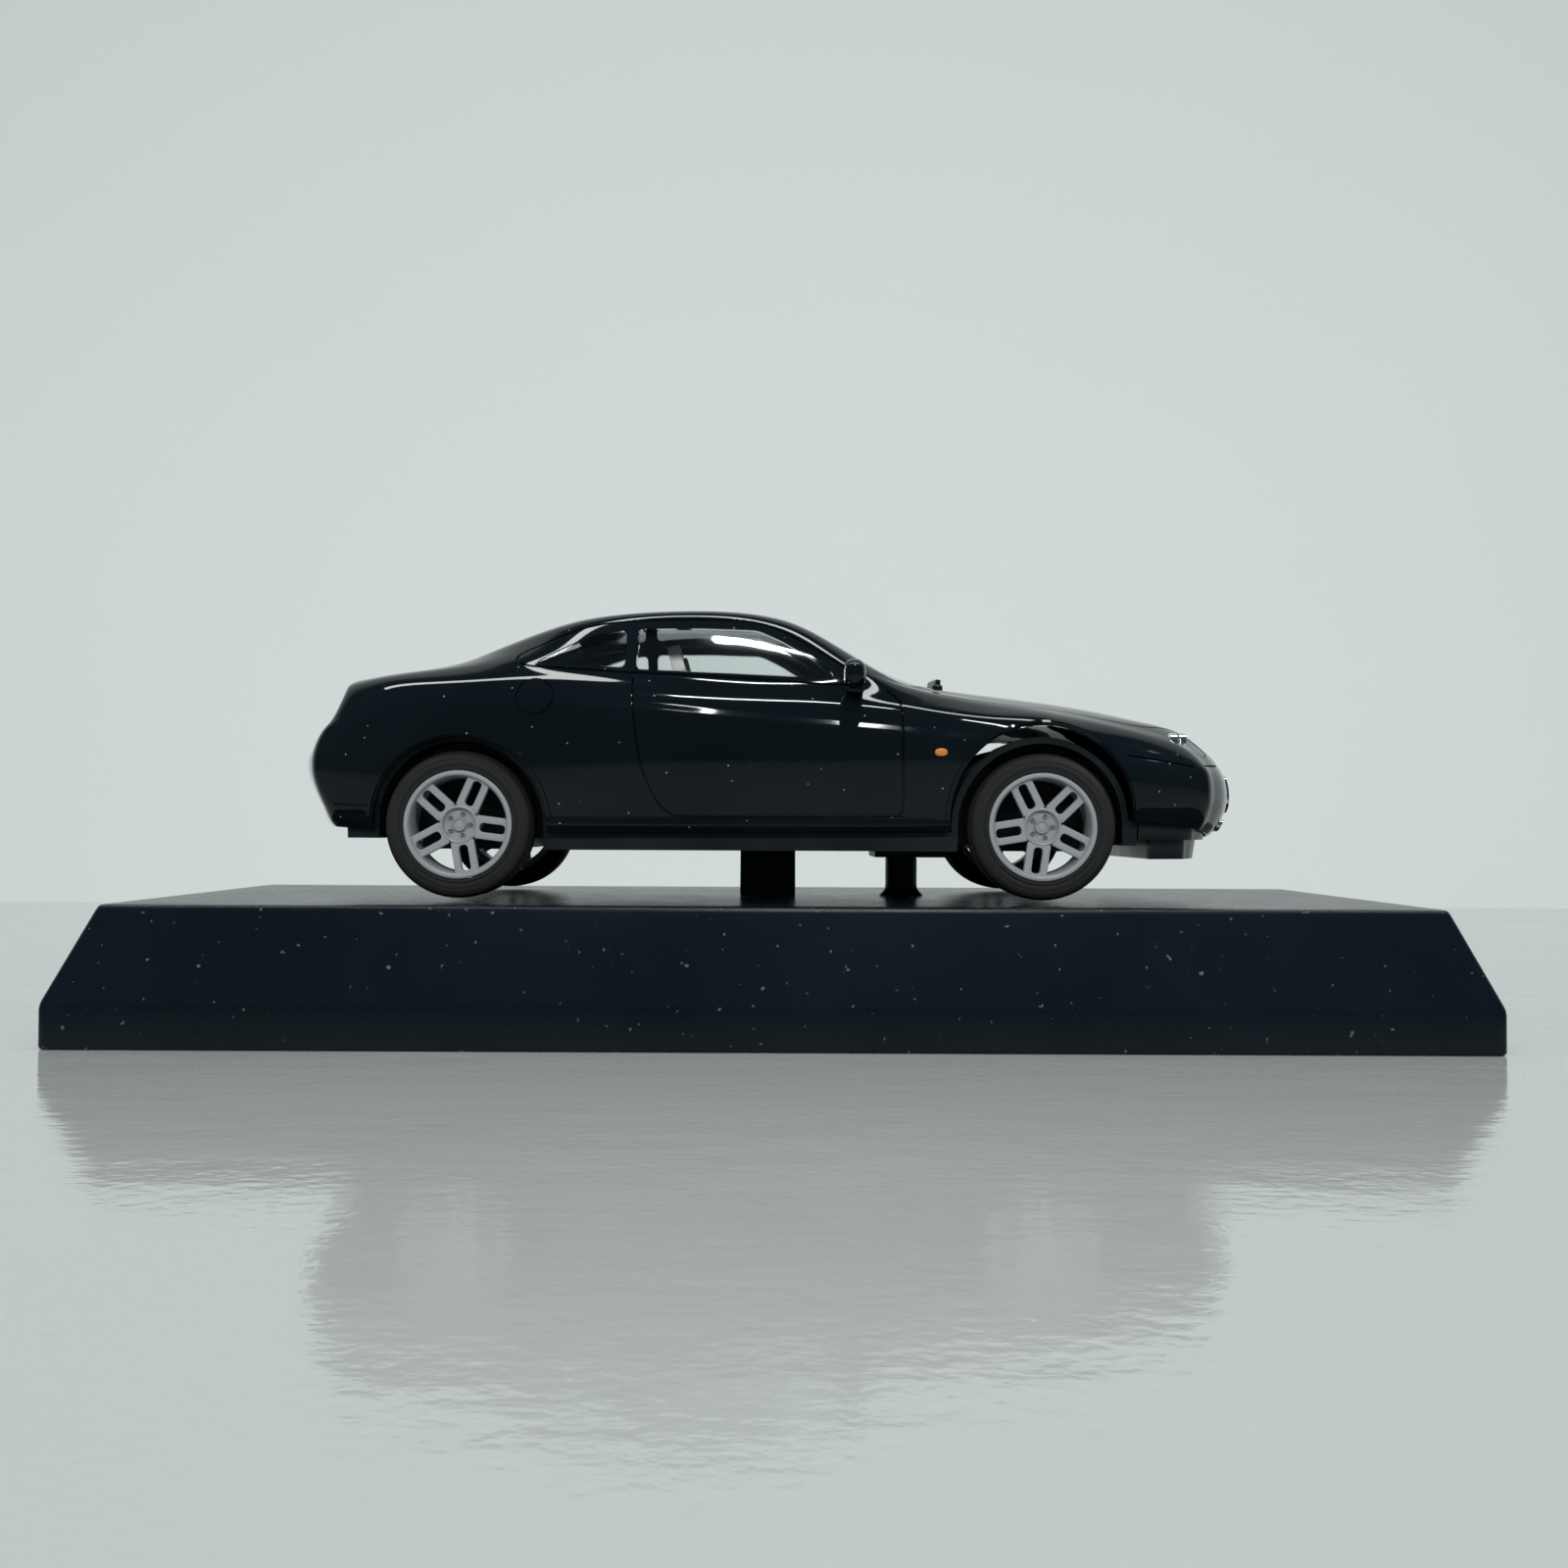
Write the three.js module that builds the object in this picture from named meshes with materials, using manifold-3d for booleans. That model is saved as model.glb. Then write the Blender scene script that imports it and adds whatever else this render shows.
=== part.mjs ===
// Diecast collector car, 1:64, on its display plinth.
// Millimetres. +X is the way the car faces, +Y its left side, +Z up. The origin is the middle of the
// plinth's underside. Inside the car group, x runs from the middle of the wheelbase and z from the
// plane that the tyres' lowest points touch.
import * as THREE from "three";
import { mergeVertices } from "three/addons/utils/BufferGeometryUtils.js";
import { RoundedBoxGeometry } from "three/addons/geometries/RoundedBoxGeometry.js";
import Module from "manifold-3d";

const wasm = await Module();
wasm.setup();

// ---------------------------------------------------------------- driving dimensions
// Plinth
const PLINTH_LENGTH = 92.5;
const PLINTH_WIDTH = 44;
const PLINTH_HEIGHT = 9;
const PLINTH_BAND = 2.8; // upright rim below the sloping sides
const PLINTH_SLOPE = 2.67; // how far the sloping sides come in
const PLINTH_WALL = 1.8;
const PLINTH_CORNER = 0.8;
// Posts and the screws that come up through them
const CAR_SHIFT = -1.63; // the middle of the wheelbase, behind the plinth's middle
const HOVER = 0.25; // air under the tyres
const REAR_POST_WIDTH = 4.1;
const REAR_POST_X = 1.1;
const FRONT_POST_RADIUS = 1.18;
const FRONT_POST_FOOT = 1.65;
const FRONT_POST_X = 11.1;
const SCREW_RADIUS = 0.6;
const SCREW_HEAD_RADIUS = 1.25;
const SCREW_HEAD_HEIGHT = 0.8;
const SCREW_BITE = 2.2; // how far a screw reaches into what it holds
const SCREW_WALL = 0.9; // material round a screw in its boss
// Car body
const BODY_LENGTH = 67.5;
const BODY_WIDTH = 27.8;
const BODY_HEIGHT = 20.55;
const BODY_WALL = 0.8;
const GLASS_THICKNESS = 0.5;
const LENS_THICKNESS = 0.4;
// Running gear
const WHEELBASE = BODY_LENGTH * 0.58815;
const TRACK = BODY_WIDTH - 4.6;
const TYRE_RADIUS = 5;
const TYRE_WIDTH = 3.4;
const RIM_RADIUS = 3.68;
const RIM_WALL = 0.38;
const AXLE_RADIUS = 0.6;
const HUB_RADIUS = 1.35;
const ARCH_GAP = 1.0; // tyre tread to the edge of the body's arch
const WELL_GAP = 0.7; // tyre to the inside of its well
const WELL_WALL = 0.45;
// Chassis and cabin
const CHASSIS_BOTTOM = 3.3;
const CHASSIS_THICKNESS = 1.3;
const KEEL_BOTTOM = 2.75; // the lower step in front, where the front post bears
const TUB_FLOOR = 6.4;
const TUB_WALL = 0.6;
const SEAT_WIDTH = 4.8;
const SEAT_SPACING = 10.2;
const SEAT_REACH = 7.6; // a front cushion's middle, behind the dashboard
const STEERING_WHEEL_RADIUS = 2.55;
const BEAM_HALF_LENGTH = 3.2; // the chassis cross beams that hold the axles
// The size that the lists of points and places on the body were drawn for
const DESIGN = { length: 67.5, width: 27.8, height: 20.55 };
// Clearances
const FIT = 0.05; // between pieces that are fixed to each other
const RUNNING_FIT = 0.08; // round an axle in its bore

const EPS = 1e-4; // vertices closer than this are one
const FINE = 0.006; // how far simplifying may move a small piece's surface
const COARSE = 0.03; // and the body's outside
const ROUGH = 0.06; // and forms inside the body
const INNER_GAP = 0.2; // between the shell and what is inside it
const FAR = 60; // longer than any cut has to be
const CAR_Z = PLINTH_HEIGHT + HOVER;
const REAR_AXLE_X = -WHEELBASE / 2;
const FRONT_AXLE_X = WHEELBASE / 2;
const WELL_INNER_Y = TRACK / 2 - TYRE_WIDTH / 2 - WELL_GAP;
const WELL_RADIUS = TYRE_RADIUS + WELL_GAP;
const SCALE = new THREE.Vector3(
  BODY_LENGTH / DESIGN.length,
  BODY_WIDTH / DESIGN.width,
  BODY_HEIGHT / DESIGN.height,
);

// ---------------------------------------------------------------- finishes
const finish = (color, roughness, metalness) =>
  new THREE.MeshStandardMaterial({ color, roughness, metalness });
const BLACK_PAINT = finish(0x0b1014, 0.12, 0.3);
const PLINTH_PLASTIC = finish(0x14181d, 0.6, 0);
const CHASSIS_PLASTIC = finish(0x15181a, 0.5, 0);
const CLEAR = finish(0xdfe8ea, 0.05, 0);
const CABIN_DARK = finish(0x24282b, 0.6, 0);
const CABIN_LIGHT = finish(0xb9b8b0, 0.6, 0);
const PLATED = finish(0xc9ccce, 0.15, 1);
const RIM_SILVER = finish(0x9a9ca0, 0.35, 0.7);
const TYRE_RUBBER = finish(0x17191b, 0.75, 0);
const STEEL = finish(0x8b8f94, 0.35, 0.9);
const AMBER = finish(0xc97a3a, 0.25, 0);
const RED_LENS = finish(0x7c1014, 0.2, 0);

// ---------------------------------------------------------------- solids
/** A closed three.js geometry as a manifold-3d solid. */
function toSolid(geometry) {
  const bare = geometry.index ? geometry.toNonIndexed() : geometry.clone();
  Object.keys(bare.attributes)
    .filter((key) => key !== "position")
    .forEach((key) => bare.deleteAttribute(key));
  const merged = mergeVertices(bare, EPS);
  return new wasm.Manifold(
    new wasm.Mesh({
      numProp: 3,
      vertProperties: merged.attributes.position.array,
      triVerts: new Uint32Array(merged.index.array),
    }),
  );
}

/** A solid's triangles as a three.js geometry. */
function toGeometry(solid) {
  const mesh = solid.getMesh();
  const positions = new Float32Array(mesh.numVert * 3);
  for (let i = 0; i < mesh.numVert; i++) {
    positions.set(mesh.vertProperties.subarray(i * mesh.numProp, i * mesh.numProp + 3), i * 3);
  }
  return new THREE.BufferGeometry()
    .setAttribute("position", new THREE.BufferAttribute(positions, 3))
    .setIndex(new THREE.BufferAttribute(mesh.triVerts, 1));
}

const join = (...solids) => solids.reduce((whole, next) => whole.add(next));

/** Drops vertices that a solid's faces hardly bend at. */
const cleaned = (solid, tolerance = FINE) => solid.simplify(tolerance);

/** A box between two corners. */
function box([x0, y0, z0], [x1, y1, z1]) {
  const geometry = new THREE.BoxGeometry(x1 - x0, y1 - y0, z1 - z0);
  return toSolid(geometry.translate((x0 + x1) / 2, (y0 + y1) / 2, (z0 + z1) / 2));
}

/** An upright cylinder from z0 to z1. */
function pin(x, y, z0, z1, radius, sides = 24, topRadius = radius) {
  const geometry = new THREE.CylinderGeometry(topRadius, radius, z1 - z0, sides);
  return toSolid(geometry.rotateX(Math.PI / 2).translate(x, y, (z0 + z1) / 2));
}

/** A cylinder along Y from y0 to y1. */
function barY(x, z, y0, y1, radius, sides = 48) {
  const geometry = new THREE.CylinderGeometry(radius, radius, y1 - y0, sides);
  return toSolid(geometry.translate(x, (y0 + y1) / 2, z));
}

/** A profile of [x, z] points pushed through the car along Y, between y0 and y1. */
function sideCut(outline, y0, y1) {
  const shape = new THREE.Shape(outline.map(([x, z]) => new THREE.Vector2(x, z)));
  const geometry = new THREE.ExtrudeGeometry(shape, { depth: y1 - y0, bevelEnabled: false });
  return toSolid(geometry.rotateX(Math.PI / 2).translate(0, y1, 0));
}

/** An outline pushed along a direction in the XZ plane, which is `tilt` from straight up, forward. */
function tiltedCut(shape, [x, y, z], tilt, depth) {
  const geometry = new THREE.ExtrudeGeometry(shape, {
    depth: 2 * depth,
    bevelEnabled: false,
    curveSegments: 6,
  });
  return toSolid(geometry.translate(0, 0, -depth).rotateY(tilt).translate(x, y, z));
}

/** Rings of equally many points, one above the other, closed at both ends. */
function stackRings(rings) {
  const count = rings[0].length;
  const triangles = [];
  for (let r = 0; r + 1 < rings.length; r++) {
    for (let i = 0; i < count; i++) {
      const j = (i + 1) % count;
      triangles.push(rings[r][i], rings[r][j], rings[r + 1][j]);
      triangles.push(rings[r][i], rings[r + 1][j], rings[r + 1][i]);
    }
  }
  const top = rings[rings.length - 1];
  for (let i = 1; i + 1 < count; i++) {
    triangles.push(rings[0][0], rings[0][i + 1], rings[0][i]);
    triangles.push(top[0], top[i], top[i + 1]);
  }
  return toSolid(new THREE.BufferGeometry().setFromPoints(triangles));
}

/** A rectangle with round corners at height z, as points that run anticlockwise seen from above. */
function roundedRing(length, width, radius, z) {
  const steps = 3;
  const points = [];
  [[1, 1], [-1, 1], [-1, -1], [1, -1]].forEach(([sx, sy], corner) => {
    for (let i = 0; i <= steps; i++) {
      const angle = ((corner + i / steps) * Math.PI) / 2;
      const x = sx * (length / 2 - radius) + radius * Math.cos(angle);
      const y = sy * (width / 2 - radius) + radius * Math.sin(angle);
      points.push(new THREE.Vector3(x, y, z));
    }
  });
  return points;
}

// ---------------------------------------------------------------- the body's surface
// Lines that run along one side of the car from its rear corner to its front corner, as [x, y, z] of
// a car of the DESIGN size. The first ten climb the side, the others cross the top.
const SIDE_LINES = [
  // lower edge
  [[-28.6, 10.4, 4.8], [-25.5, 12.1, 4.6], [-20, 12.8, 4.5], [-12.7, 12.9, 4.4], [0, 13, 4.5],
    [13.3, 12.9, 4.6], [20, 12.7, 4.9], [26, 12, 5.3], [30.8, 10.2, 5]],
  // sill
  [[-28.9, 10.9, 5.3], [-25.5, 12.6, 5.2], [-12.7, 13.35, 5], [0, 13.4, 5], [13.3, 13.3, 5.1],
    [26, 12.5, 5.8], [31, 10.6, 5.6]],
  // step over the sill
  [[-29.2, 11.1, 6.1], [-25.5, 12.8, 6], [-12.7, 13.3, 5.6], [0, 13.35, 5.6], [13.3, 13.25, 5.6],
    [26, 12.75, 6.4], [31.2, 10.8, 6.3]],
  // low on the door
  [[-29.8, 11.2, 7.5], [-25.5, 13, 7.3], [-19.9, 13.6, 7.2], [-12.7, 13.55, 7], [0, 13.6, 7],
    [13.3, 13.55, 7], [19.9, 13.6, 7.2], [26, 12.9, 7.4], [31.3, 11, 7.3]],
  // widest
  [[-30.1, 11.3, 9.4], [-25.5, 13.1, 9.4], [-19.9, 13.8, 9.8], [-12.7, 13.8, 9.5], [0, 13.9, 9.3],
    [13.3, 13.8, 9.2], [19.9, 13.8, 9.6], [26, 12.95, 9], [31.2, 11, 8.7]],
  // under the wedge crease
  [[-29.6, 11, 11.4], [-25.5, 12.7, 12.4], [-19.9, 13.35, 13], [-14.5, 13.5, 13.2],
    [-7.7, 13.75, 12.9], [0, 13.85, 12.15], [6, 13.85, 11.7], [10.3, 13.85, 11.35],
    [15.6, 13.8, 10.9], [20, 13.75, 11.2], [25, 12.8, 10], [30.9, 10.9, 9.3]],
  // over the wedge crease
  [[-29, 10.8, 12.2], [-25.5, 12.5, 13.1], [-19.9, 13.15, 13.6], [-14.5, 13.25, 13.8],
    [-7.7, 13.4, 13.4], [0, 13.5, 12.75], [6, 13.5, 12.25], [10.3, 13.5, 11.9],
    [15.6, 13.5, 11.4], [20, 13.5, 11.8], [25, 12.5, 10.5], [30.5, 10.7, 9.8]],
  // shoulder
  [[-28.5, 10.4, 13.4], [-25.5, 12, 14], [-19.9, 12.6, 14.5], [-14.5, 12.7, 14.7],
    [-7.7, 12.9, 14.25], [0, 13.05, 13.6], [6, 13.1, 13.25], [10.3, 13, 13], [15.6, 12.9, 12.4],
    [20, 12.8, 12.5], [25, 11.9, 11.2], [29.9, 10.2, 10.5]],
  // over the shoulder
  [[-28.2, 9.9, 14.3], [-25.5, 11.2, 14.9], [-19.9, 11.9, 15.2], [-14.5, 12.1, 15.35],
    [-7.7, 12.3, 14.95], [0, 12.4, 14.5], [6, 12.4, 14.15], [10.3, 12.2, 13.75],
    [15.6, 12, 13.05], [20, 11.8, 12.9], [25, 11, 11.9], [29.2, 9.6, 11.1]],
  // foot of the side glass
  [[-28.1, 9.2, 14.8], [-25.5, 10.2, 15.3], [-19.9, 11, 15.8], [-15.2, 11.5, 15.95],
    [-7.7, 11.8, 15.7], [0, 11.9, 15.35], [6, 11.8, 14.95], [10.3, 11.5, 14.35],
    [15.6, 10.9, 13.6], [20, 10.6, 13.2], [25, 9.8, 12.3], [28.9, 8.8, 11.5]],
];
const TOP_LINES = [
  // across the side glass
  [[-28.3, 8, 15], [-25.5, 8.9, 15.5], [-21, 9.9, 16], [-16.5, 10.6, 16.6], [-12, 10.75, 17.2],
    [-7.7, 10.9, 17.3], [0, 10.95, 17.2], [4.5, 11, 16.6], [7.5, 11.1, 15.6],
    [10.3, 10.8, 14.75], [15.6, 9.6, 13.9], [20, 9.2, 13.5], [25, 8.6, 12.7], [29.3, 7.8, 11.8]],
  // roof rail and windscreen pillar
  [[-28.6, 6.6, 15.1], [-25.5, 7.3, 15.6], [-21.5, 8.2, 16.2], [-17.5, 8.8, 17.2],
    [-13.5, 9.2, 18.5], [-10, 9.4, 19.2], [-5, 9.5, 19.55], [0, 9.5, 19.4], [3, 9.7, 18.6],
    [6, 10.25, 17], [8.5, 10.4, 15.6], [11.5, 9.7, 14.65], [15.6, 8.4, 14.15], [20, 7.8, 13.8],
    [25, 7.3, 13], [29.9, 6.6, 12]],
  // edge of the roof and of both screens
  [[-28.9, 4.9, 15.15], [-25.5, 5.4, 15.65], [-22, 6.4, 16.05], [-18, 7.2, 17.6],
    [-13, 7.9, 19.3], [-10, 8.1, 19.85], [-5, 8.2, 20.15], [0, 8.1, 20], [3, 8.2, 19.3],
    [6, 8.6, 17.75], [9, 8.7, 16], [11.8, 8.1, 15], [15.6, 6.8, 14.45], [20, 6.2, 14],
    [25, 5.8, 13.25], [30.6, 5.2, 12]],
  // half way to the middle
  [[-29.2, 2.6, 15.15], [-25.5, 2.9, 15.7], [-22.6, 3.4, 16], [-18, 3.9, 18], [-13, 4.1, 19.75],
    [-10, 4.2, 20.2], [-5, 4.2, 20.45], [0, 4.2, 20.35], [3, 4.2, 19.75], [6, 4.4, 18.2],
    [9.5, 4.5, 16.1], [12.5, 4.2, 14.95], [15.6, 3.7, 14.7], [20, 3.4, 14.25], [25, 3.1, 13.5],
    [31.4, 2.8, 11.9]],
  // middle of the car
  [[-29.4, 0, 15.15], [-25.5, 0, 15.7], [-22.8, 0, 15.9], [-18, 0, 18.05], [-12.8, 0, 19.85],
    [-10, 0, 20.3], [-5, 0, 20.55], [0, 0, 20.45], [2.9, 0, 19.96], [6, 0, 18.3],
    [9.5, 0, 16.2], [12.4, 0, 14.95], [15.6, 0, 14.7], [20, 0, 14.3], [25, 0, 13.55],
    [31.9, 0, 11.7]],
];
// The middle of the tail and of the nose, [x, z] from the lower edge up to the foot of the glass.
const TAIL_MIDDLE = [[-30.7, 4.8], [-31, 5.3], [-31.3, 6.1], [-32, 7.6], [-32.5, 9.3],
  [-31.8, 10.5], [-30.8, 11.4], [-30.1, 13], [-29.7, 14.3], [-29.4, 15.15]];
const NOSE_MIDDLE = [[33.6, 4.3], [34.2, 4.8], [34.6, 5.5], [35, 6.6], [35, 7.8],
  [34.8, 8.7], [34.5, 9.3], [34, 10.1], [33.1, 10.9], [31.9, 11.7]];
const PLAN_POWER = 2.2; // how round the nose and tail are seen from above
// Where the stations stand, as shares of the way from the rear corner to the front corner.
const STATIONS = [0, 0.025, 0.06, 0.11, 0.17, 0.225, 0.28, 0.34, 0.4, 0.47, 0.53, 0.575, 0.62,
  0.655, 0.69, 0.73, 0.785, 0.84, 0.9, 0.95, 1];

/** The point of a line at x, by a cubic through its points. */
function alongLine(line, x) {
  let k = 0;
  while (k < line.length - 2 && x > line[k + 1][0]) k++;
  const slope = (i, axis) => {
    const before = line[Math.max(i - 1, 0)];
    const after = line[Math.min(i + 1, line.length - 1)];
    return (after[axis] - before[axis]) / (after[0] - before[0]);
  };
  const run = line[k + 1][0] - line[k][0];
  const t = (x - line[k][0]) / run;
  return [1, 2].map((axis) => {
    const [a, b] = [line[k][axis], line[k + 1][axis]];
    const [sa, sb] = [slope(k, axis) * run, slope(k + 1, axis) * run];
    return a + t * sa + t * t * (3 * (b - a) - 2 * sa - sb) + t * t * t * (2 * (a - b) + sa + sb);
  });
}

/** The left half of the body as a lattice: its points, which of them are underneath, its faces. */
function bodyLattice() {
  const points = [];
  const underside = [];
  const faces = [];
  const keys = new Map();
  const vertex = ([x, y, z], below = false) => {
    const key = [x, y, z].map((v) => v.toFixed(4)).join();
    if (!keys.has(key)) {
      keys.set(key, points.length);
      points.push(new THREE.Vector3(x, y, z).multiply(SCALE));
      underside.push(below);
    }
    underside[keys.get(key)] ||= below;
    return keys.get(key);
  };
  const lines = [...SIDE_LINES, ...TOP_LINES];
  const columns = STATIONS.map((share) =>
    lines.map((line) => {
      const x = line[0][0] + (line[line.length - 1][0] - line[0][0]) * share;
      return [x, ...alongLine(line, x)];
    }),
  );
  const corner = SIDE_LINES.length - 1;
  const across = [lines[corner], ...TOP_LINES];

  // An end face: its rows follow the side lines, its columns go from the corner to the middle.
  const endFace = (column, middle) =>
    across.map((line, a) => {
      const edge = column[corner + a];
      const share = edge[1] / column[corner][1];
      return middle.map(([xm, zm], b) => {
        if (b === corner) return edge;
        if (a === 0) return column[b];
        const pull = share ** PLAN_POWER;
        return [xm + (column[b][0] - xm) * pull, column[b][1] * share, zm + (column[b][2] - zm) * pull];
      });
    });
  const tail = endFace(columns[0], TAIL_MIDDLE);
  const nose = endFace(columns[columns.length - 1], NOSE_MIDDLE);

  // The underside, from the lower edge to the middle.
  const below = columns.map((column, i) => {
    if (i === 0) return tail.map((rows) => rows[0]);
    if (i === columns.length - 1) return nose.map((rows) => rows[0]);
    return across.map((line, a) => {
      const share = columns[0][corner + a][1] / columns[0][corner][1];
      return [column[0][0], column[0][1] * share, column[0][2]];
    });
  });

  const quad = (corners, under) => faces.push(corners.map((p) => vertex(p, under)));
  for (let i = 0; i + 1 < columns.length; i++) {
    for (let k = 0; k + 1 < lines.length; k++) {
      const [c, d] = [columns[i], columns[i + 1]];
      quad([c[k], c[k + 1], d[k + 1], d[k]], false);
    }
    for (let a = 0; a + 1 < across.length; a++) {
      const [c, d] = [below[i], below[i + 1]];
      quad([c[a], d[a], d[a + 1], c[a + 1]], true);
    }
  }
  for (let a = 0; a + 1 < across.length; a++) {
    for (let b = 0; b < corner; b++) {
      quad([nose[a][b], nose[a][b + 1], nose[a + 1][b + 1], nose[a + 1][b]], false);
      quad([tail[a][b], tail[a + 1][b], tail[a + 1][b + 1], tail[a][b + 1]], false);
    }
  }
  return { points, underside, faces };
}

const LATTICE = bodyLattice();

/** The outward normal at each point of the lattice, the same on both sides of the middle. */
const LATTICE_NORMALS = (() => {
  const normals = LATTICE.points.map(() => new THREE.Vector3());
  for (const face of LATTICE.faces) {
    const [a, b, c, d] = face.map((i) => LATTICE.points[i]);
    const normal = c.clone().sub(a).cross(d.clone().sub(b)).normalize();
    face.forEach((i) => normals[i].add(normal));
  }
  return normals.map((normal, i) => {
    if (Math.abs(LATTICE.points[i].y) < EPS) normal.y = 0;
    if (LATTICE.underside[i]) normal.z = 0;
    return normal.normalize();
  });
})();

/** The body's form drawn in by `inset`, closed below at `floor`, or at its own lower edge. */
function bodyForm(inset, floor) {
  const half = LATTICE.points.map((point, i) => {
    const moved = point.clone().addScaledVector(LATTICE_NORMALS[i], -inset);
    if (LATTICE.underside[i] && floor !== undefined) moved.z = floor;
    return moved;
  });
  const triangles = [];
  for (const side of [1, -1]) {
    for (const face of LATTICE.faces) {
      const corners = face.map((i) => new THREE.Vector3(half[i].x, half[i].y * side, half[i].z));
      const [a, b, c, d] = side > 0 ? corners : corners.reverse();
      triangles.push(a, b, c, a, c, d);
    }
  }
  const distinct = triangles.filter((_, i) => {
    const [a, b, c] = triangles.slice(i - (i % 3), i - (i % 3) + 3);
    return a.distanceTo(b) > EPS && b.distanceTo(c) > EPS && c.distanceTo(a) > EPS;
  });
  const form = toSolid(new THREE.BufferGeometry().setFromPoints(distinct));
  return cleaned(form, inset < BODY_WALL ? COARSE : ROUGH);
}

/** What lies between two depths under the body's surface, within a cutting solid. */
const bodyBand = (cutter, outer, inner) => cutter.intersect(bodyForm(outer)).subtract(bodyForm(inner, 0));

/** A solid drawn for the DESIGN size, at the body's own. */
const atBodySize = (solid) => solid.scale(SCALE.toArray());

/** Places along one axis drawn for the DESIGN size, at the body's own. */
const alongBody = (...xs) => xs.map((x) => x * SCALE.x);
const acrossBody = (...ys) => ys.map((y) => y * SCALE.y);
const upBody = (...zs) => zs.map((z) => z * SCALE.z);

// ---------------------------------------------------------------- outlines on the body
// Each is drawn for the DESIGN size, and its cut is made at the body's own.
const DOOR_GLASS = [[-7.95, 15.75], [5.1, 15.2], [5.5, 15.35], [5.3, 15.8], [3.9, 16.75],
  [1.9, 17.9], [0.2, 18.62], [-7.95, 18.72]];
const QUARTER_GLASS = [[-14.9, 16.2], [-8.75, 15.85], [-8.75, 18.7], [-10.3, 18.5], [-12, 17.95],
  [-13.6, 17.15]];
const WINDSCREEN = {
  halfLength: 5.1, rear: 8.5, front: 10.1, centre: [7.4, 0, 17.6], tilt: 28.5, depth: 2.4,
};
const REAR_SCREEN = {
  halfLength: 4.3, rear: 6.9, front: 6.6, centre: [-17.5, 0, 18], tilt: -22.5, depth: 2,
};
const SCREEN_CORNER = 0.9;

/** The opening of a screen: half its length, and half its width at its rear and front ends. */
function screenCut({ halfLength, rear, front, centre, tilt, depth }) {
  const radius = SCREEN_CORNER;
  const shape = new THREE.Shape();
  shape.moveTo(-halfLength, -rear + radius);
  shape.lineTo(-halfLength, rear - radius);
  shape.quadraticCurveTo(-halfLength, rear, -halfLength + radius, rear);
  shape.lineTo(halfLength - radius, front);
  shape.quadraticCurveTo(halfLength, front, halfLength, front - radius);
  shape.lineTo(halfLength, -front + radius);
  shape.quadraticCurveTo(halfLength, -front, halfLength - radius, -front);
  shape.lineTo(-halfLength + radius, -rear);
  shape.quadraticCurveTo(-halfLength, -rear, -halfLength, -rear + radius);
  return atBodySize(tiltedCut(shape, centre, THREE.MathUtils.degToRad(tilt), depth));
}
const windscreenCut = screenCut(WINDSCREEN);
const rearScreenCut = screenCut(REAR_SCREEN);
const sideGlassCut = atBodySize(
  join(sideCut(DOOR_GLASS, -FAR, FAR), sideCut(QUARTER_GLASS, -FAR, FAR)),
);

/** An ellipse pushed along a direction given by its two turns, through a point on one side. */
function lampCut(side, centre, halves, tilt, turn, depth) {
  const shape = new THREE.Shape();
  shape.absellipse(0, 0, halves[0], halves[1], 0, 2 * Math.PI);
  const geometry = new THREE.ExtrudeGeometry(shape, {
    depth: 2 * depth,
    bevelEnabled: false,
    curveSegments: 8,
  });
  geometry.translate(0, 0, -depth).rotateY(tilt).rotateZ(side * turn);
  return atBodySize(toSolid(geometry.translate(centre[0], side * centre[1], centre[2])));
}

const HEADLAMP = { centre: [31, 7.6, 10.9], halves: [1.35, 2.3], tilt: 0.75, turn: 0.5 };
const REPEATER = { centre: [12.87, 13.84, 10.02], halves: [0.43, 0.3, 0.27] };
const headlampCut = (side, grow) =>
  lampCut(side, HEADLAMP.centre, HEADLAMP.halves.map((h) => h + grow), HEADLAMP.tilt, HEADLAMP.turn, 2);

/** A rounded frontal outline pushed along X, from x0 to x1. */
function endCut(halfWidth, z0, z1, radius, x0, x1) {
  const shape = new THREE.Shape();
  shape.moveTo(z0, -halfWidth + radius);
  shape.lineTo(z0, halfWidth - radius);
  shape.quadraticCurveTo(z0, halfWidth, z0 + radius, halfWidth);
  shape.lineTo(z1 - radius, halfWidth);
  shape.quadraticCurveTo(z1, halfWidth, z1, halfWidth - radius);
  shape.lineTo(z1, -halfWidth + radius);
  shape.quadraticCurveTo(z1, -halfWidth, z1 - radius, -halfWidth);
  shape.lineTo(z0 + radius, -halfWidth);
  shape.quadraticCurveTo(z0, -halfWidth, z0, -halfWidth + radius);
  const geometry = new THREE.ExtrudeGeometry(shape, {
    depth: x1 - x0,
    bevelEnabled: false,
    curveSegments: 4,
  });
  return atBodySize(toSolid(geometry.rotateY(-Math.PI / 2).translate(x1, 0, 0)));
}

const GRILLE = { halfWidth: 3.1, z0: 6.1, z1: 8.9, radius: 1 };
const LOWER_GRILLE = { halfWidth: 5.2, z0: 4.75, z1: 5.55, radius: 0.35 };
const TAIL_STRIP = { halfWidth: 9.6, z0: 12.2, z1: 13.1, radius: 0.4 };
const NOSE_X = 29;
const TAIL_X = -26;
const frontCut = (o, grow) =>
  endCut(o.halfWidth + grow, o.z0 - grow, o.z1 + grow, o.radius + grow, NOSE_X, FAR);
const rearCut = (o, grow) =>
  endCut(o.halfWidth + grow, o.z0 - grow, o.z1 + grow, o.radius + grow, -FAR, TAIL_X);

// ---------------------------------------------------------------- the object
const object = new THREE.Group();
const car = new THREE.Group();
car.position.set(CAR_SHIFT, 0, CAR_Z);
object.add(car);

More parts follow.
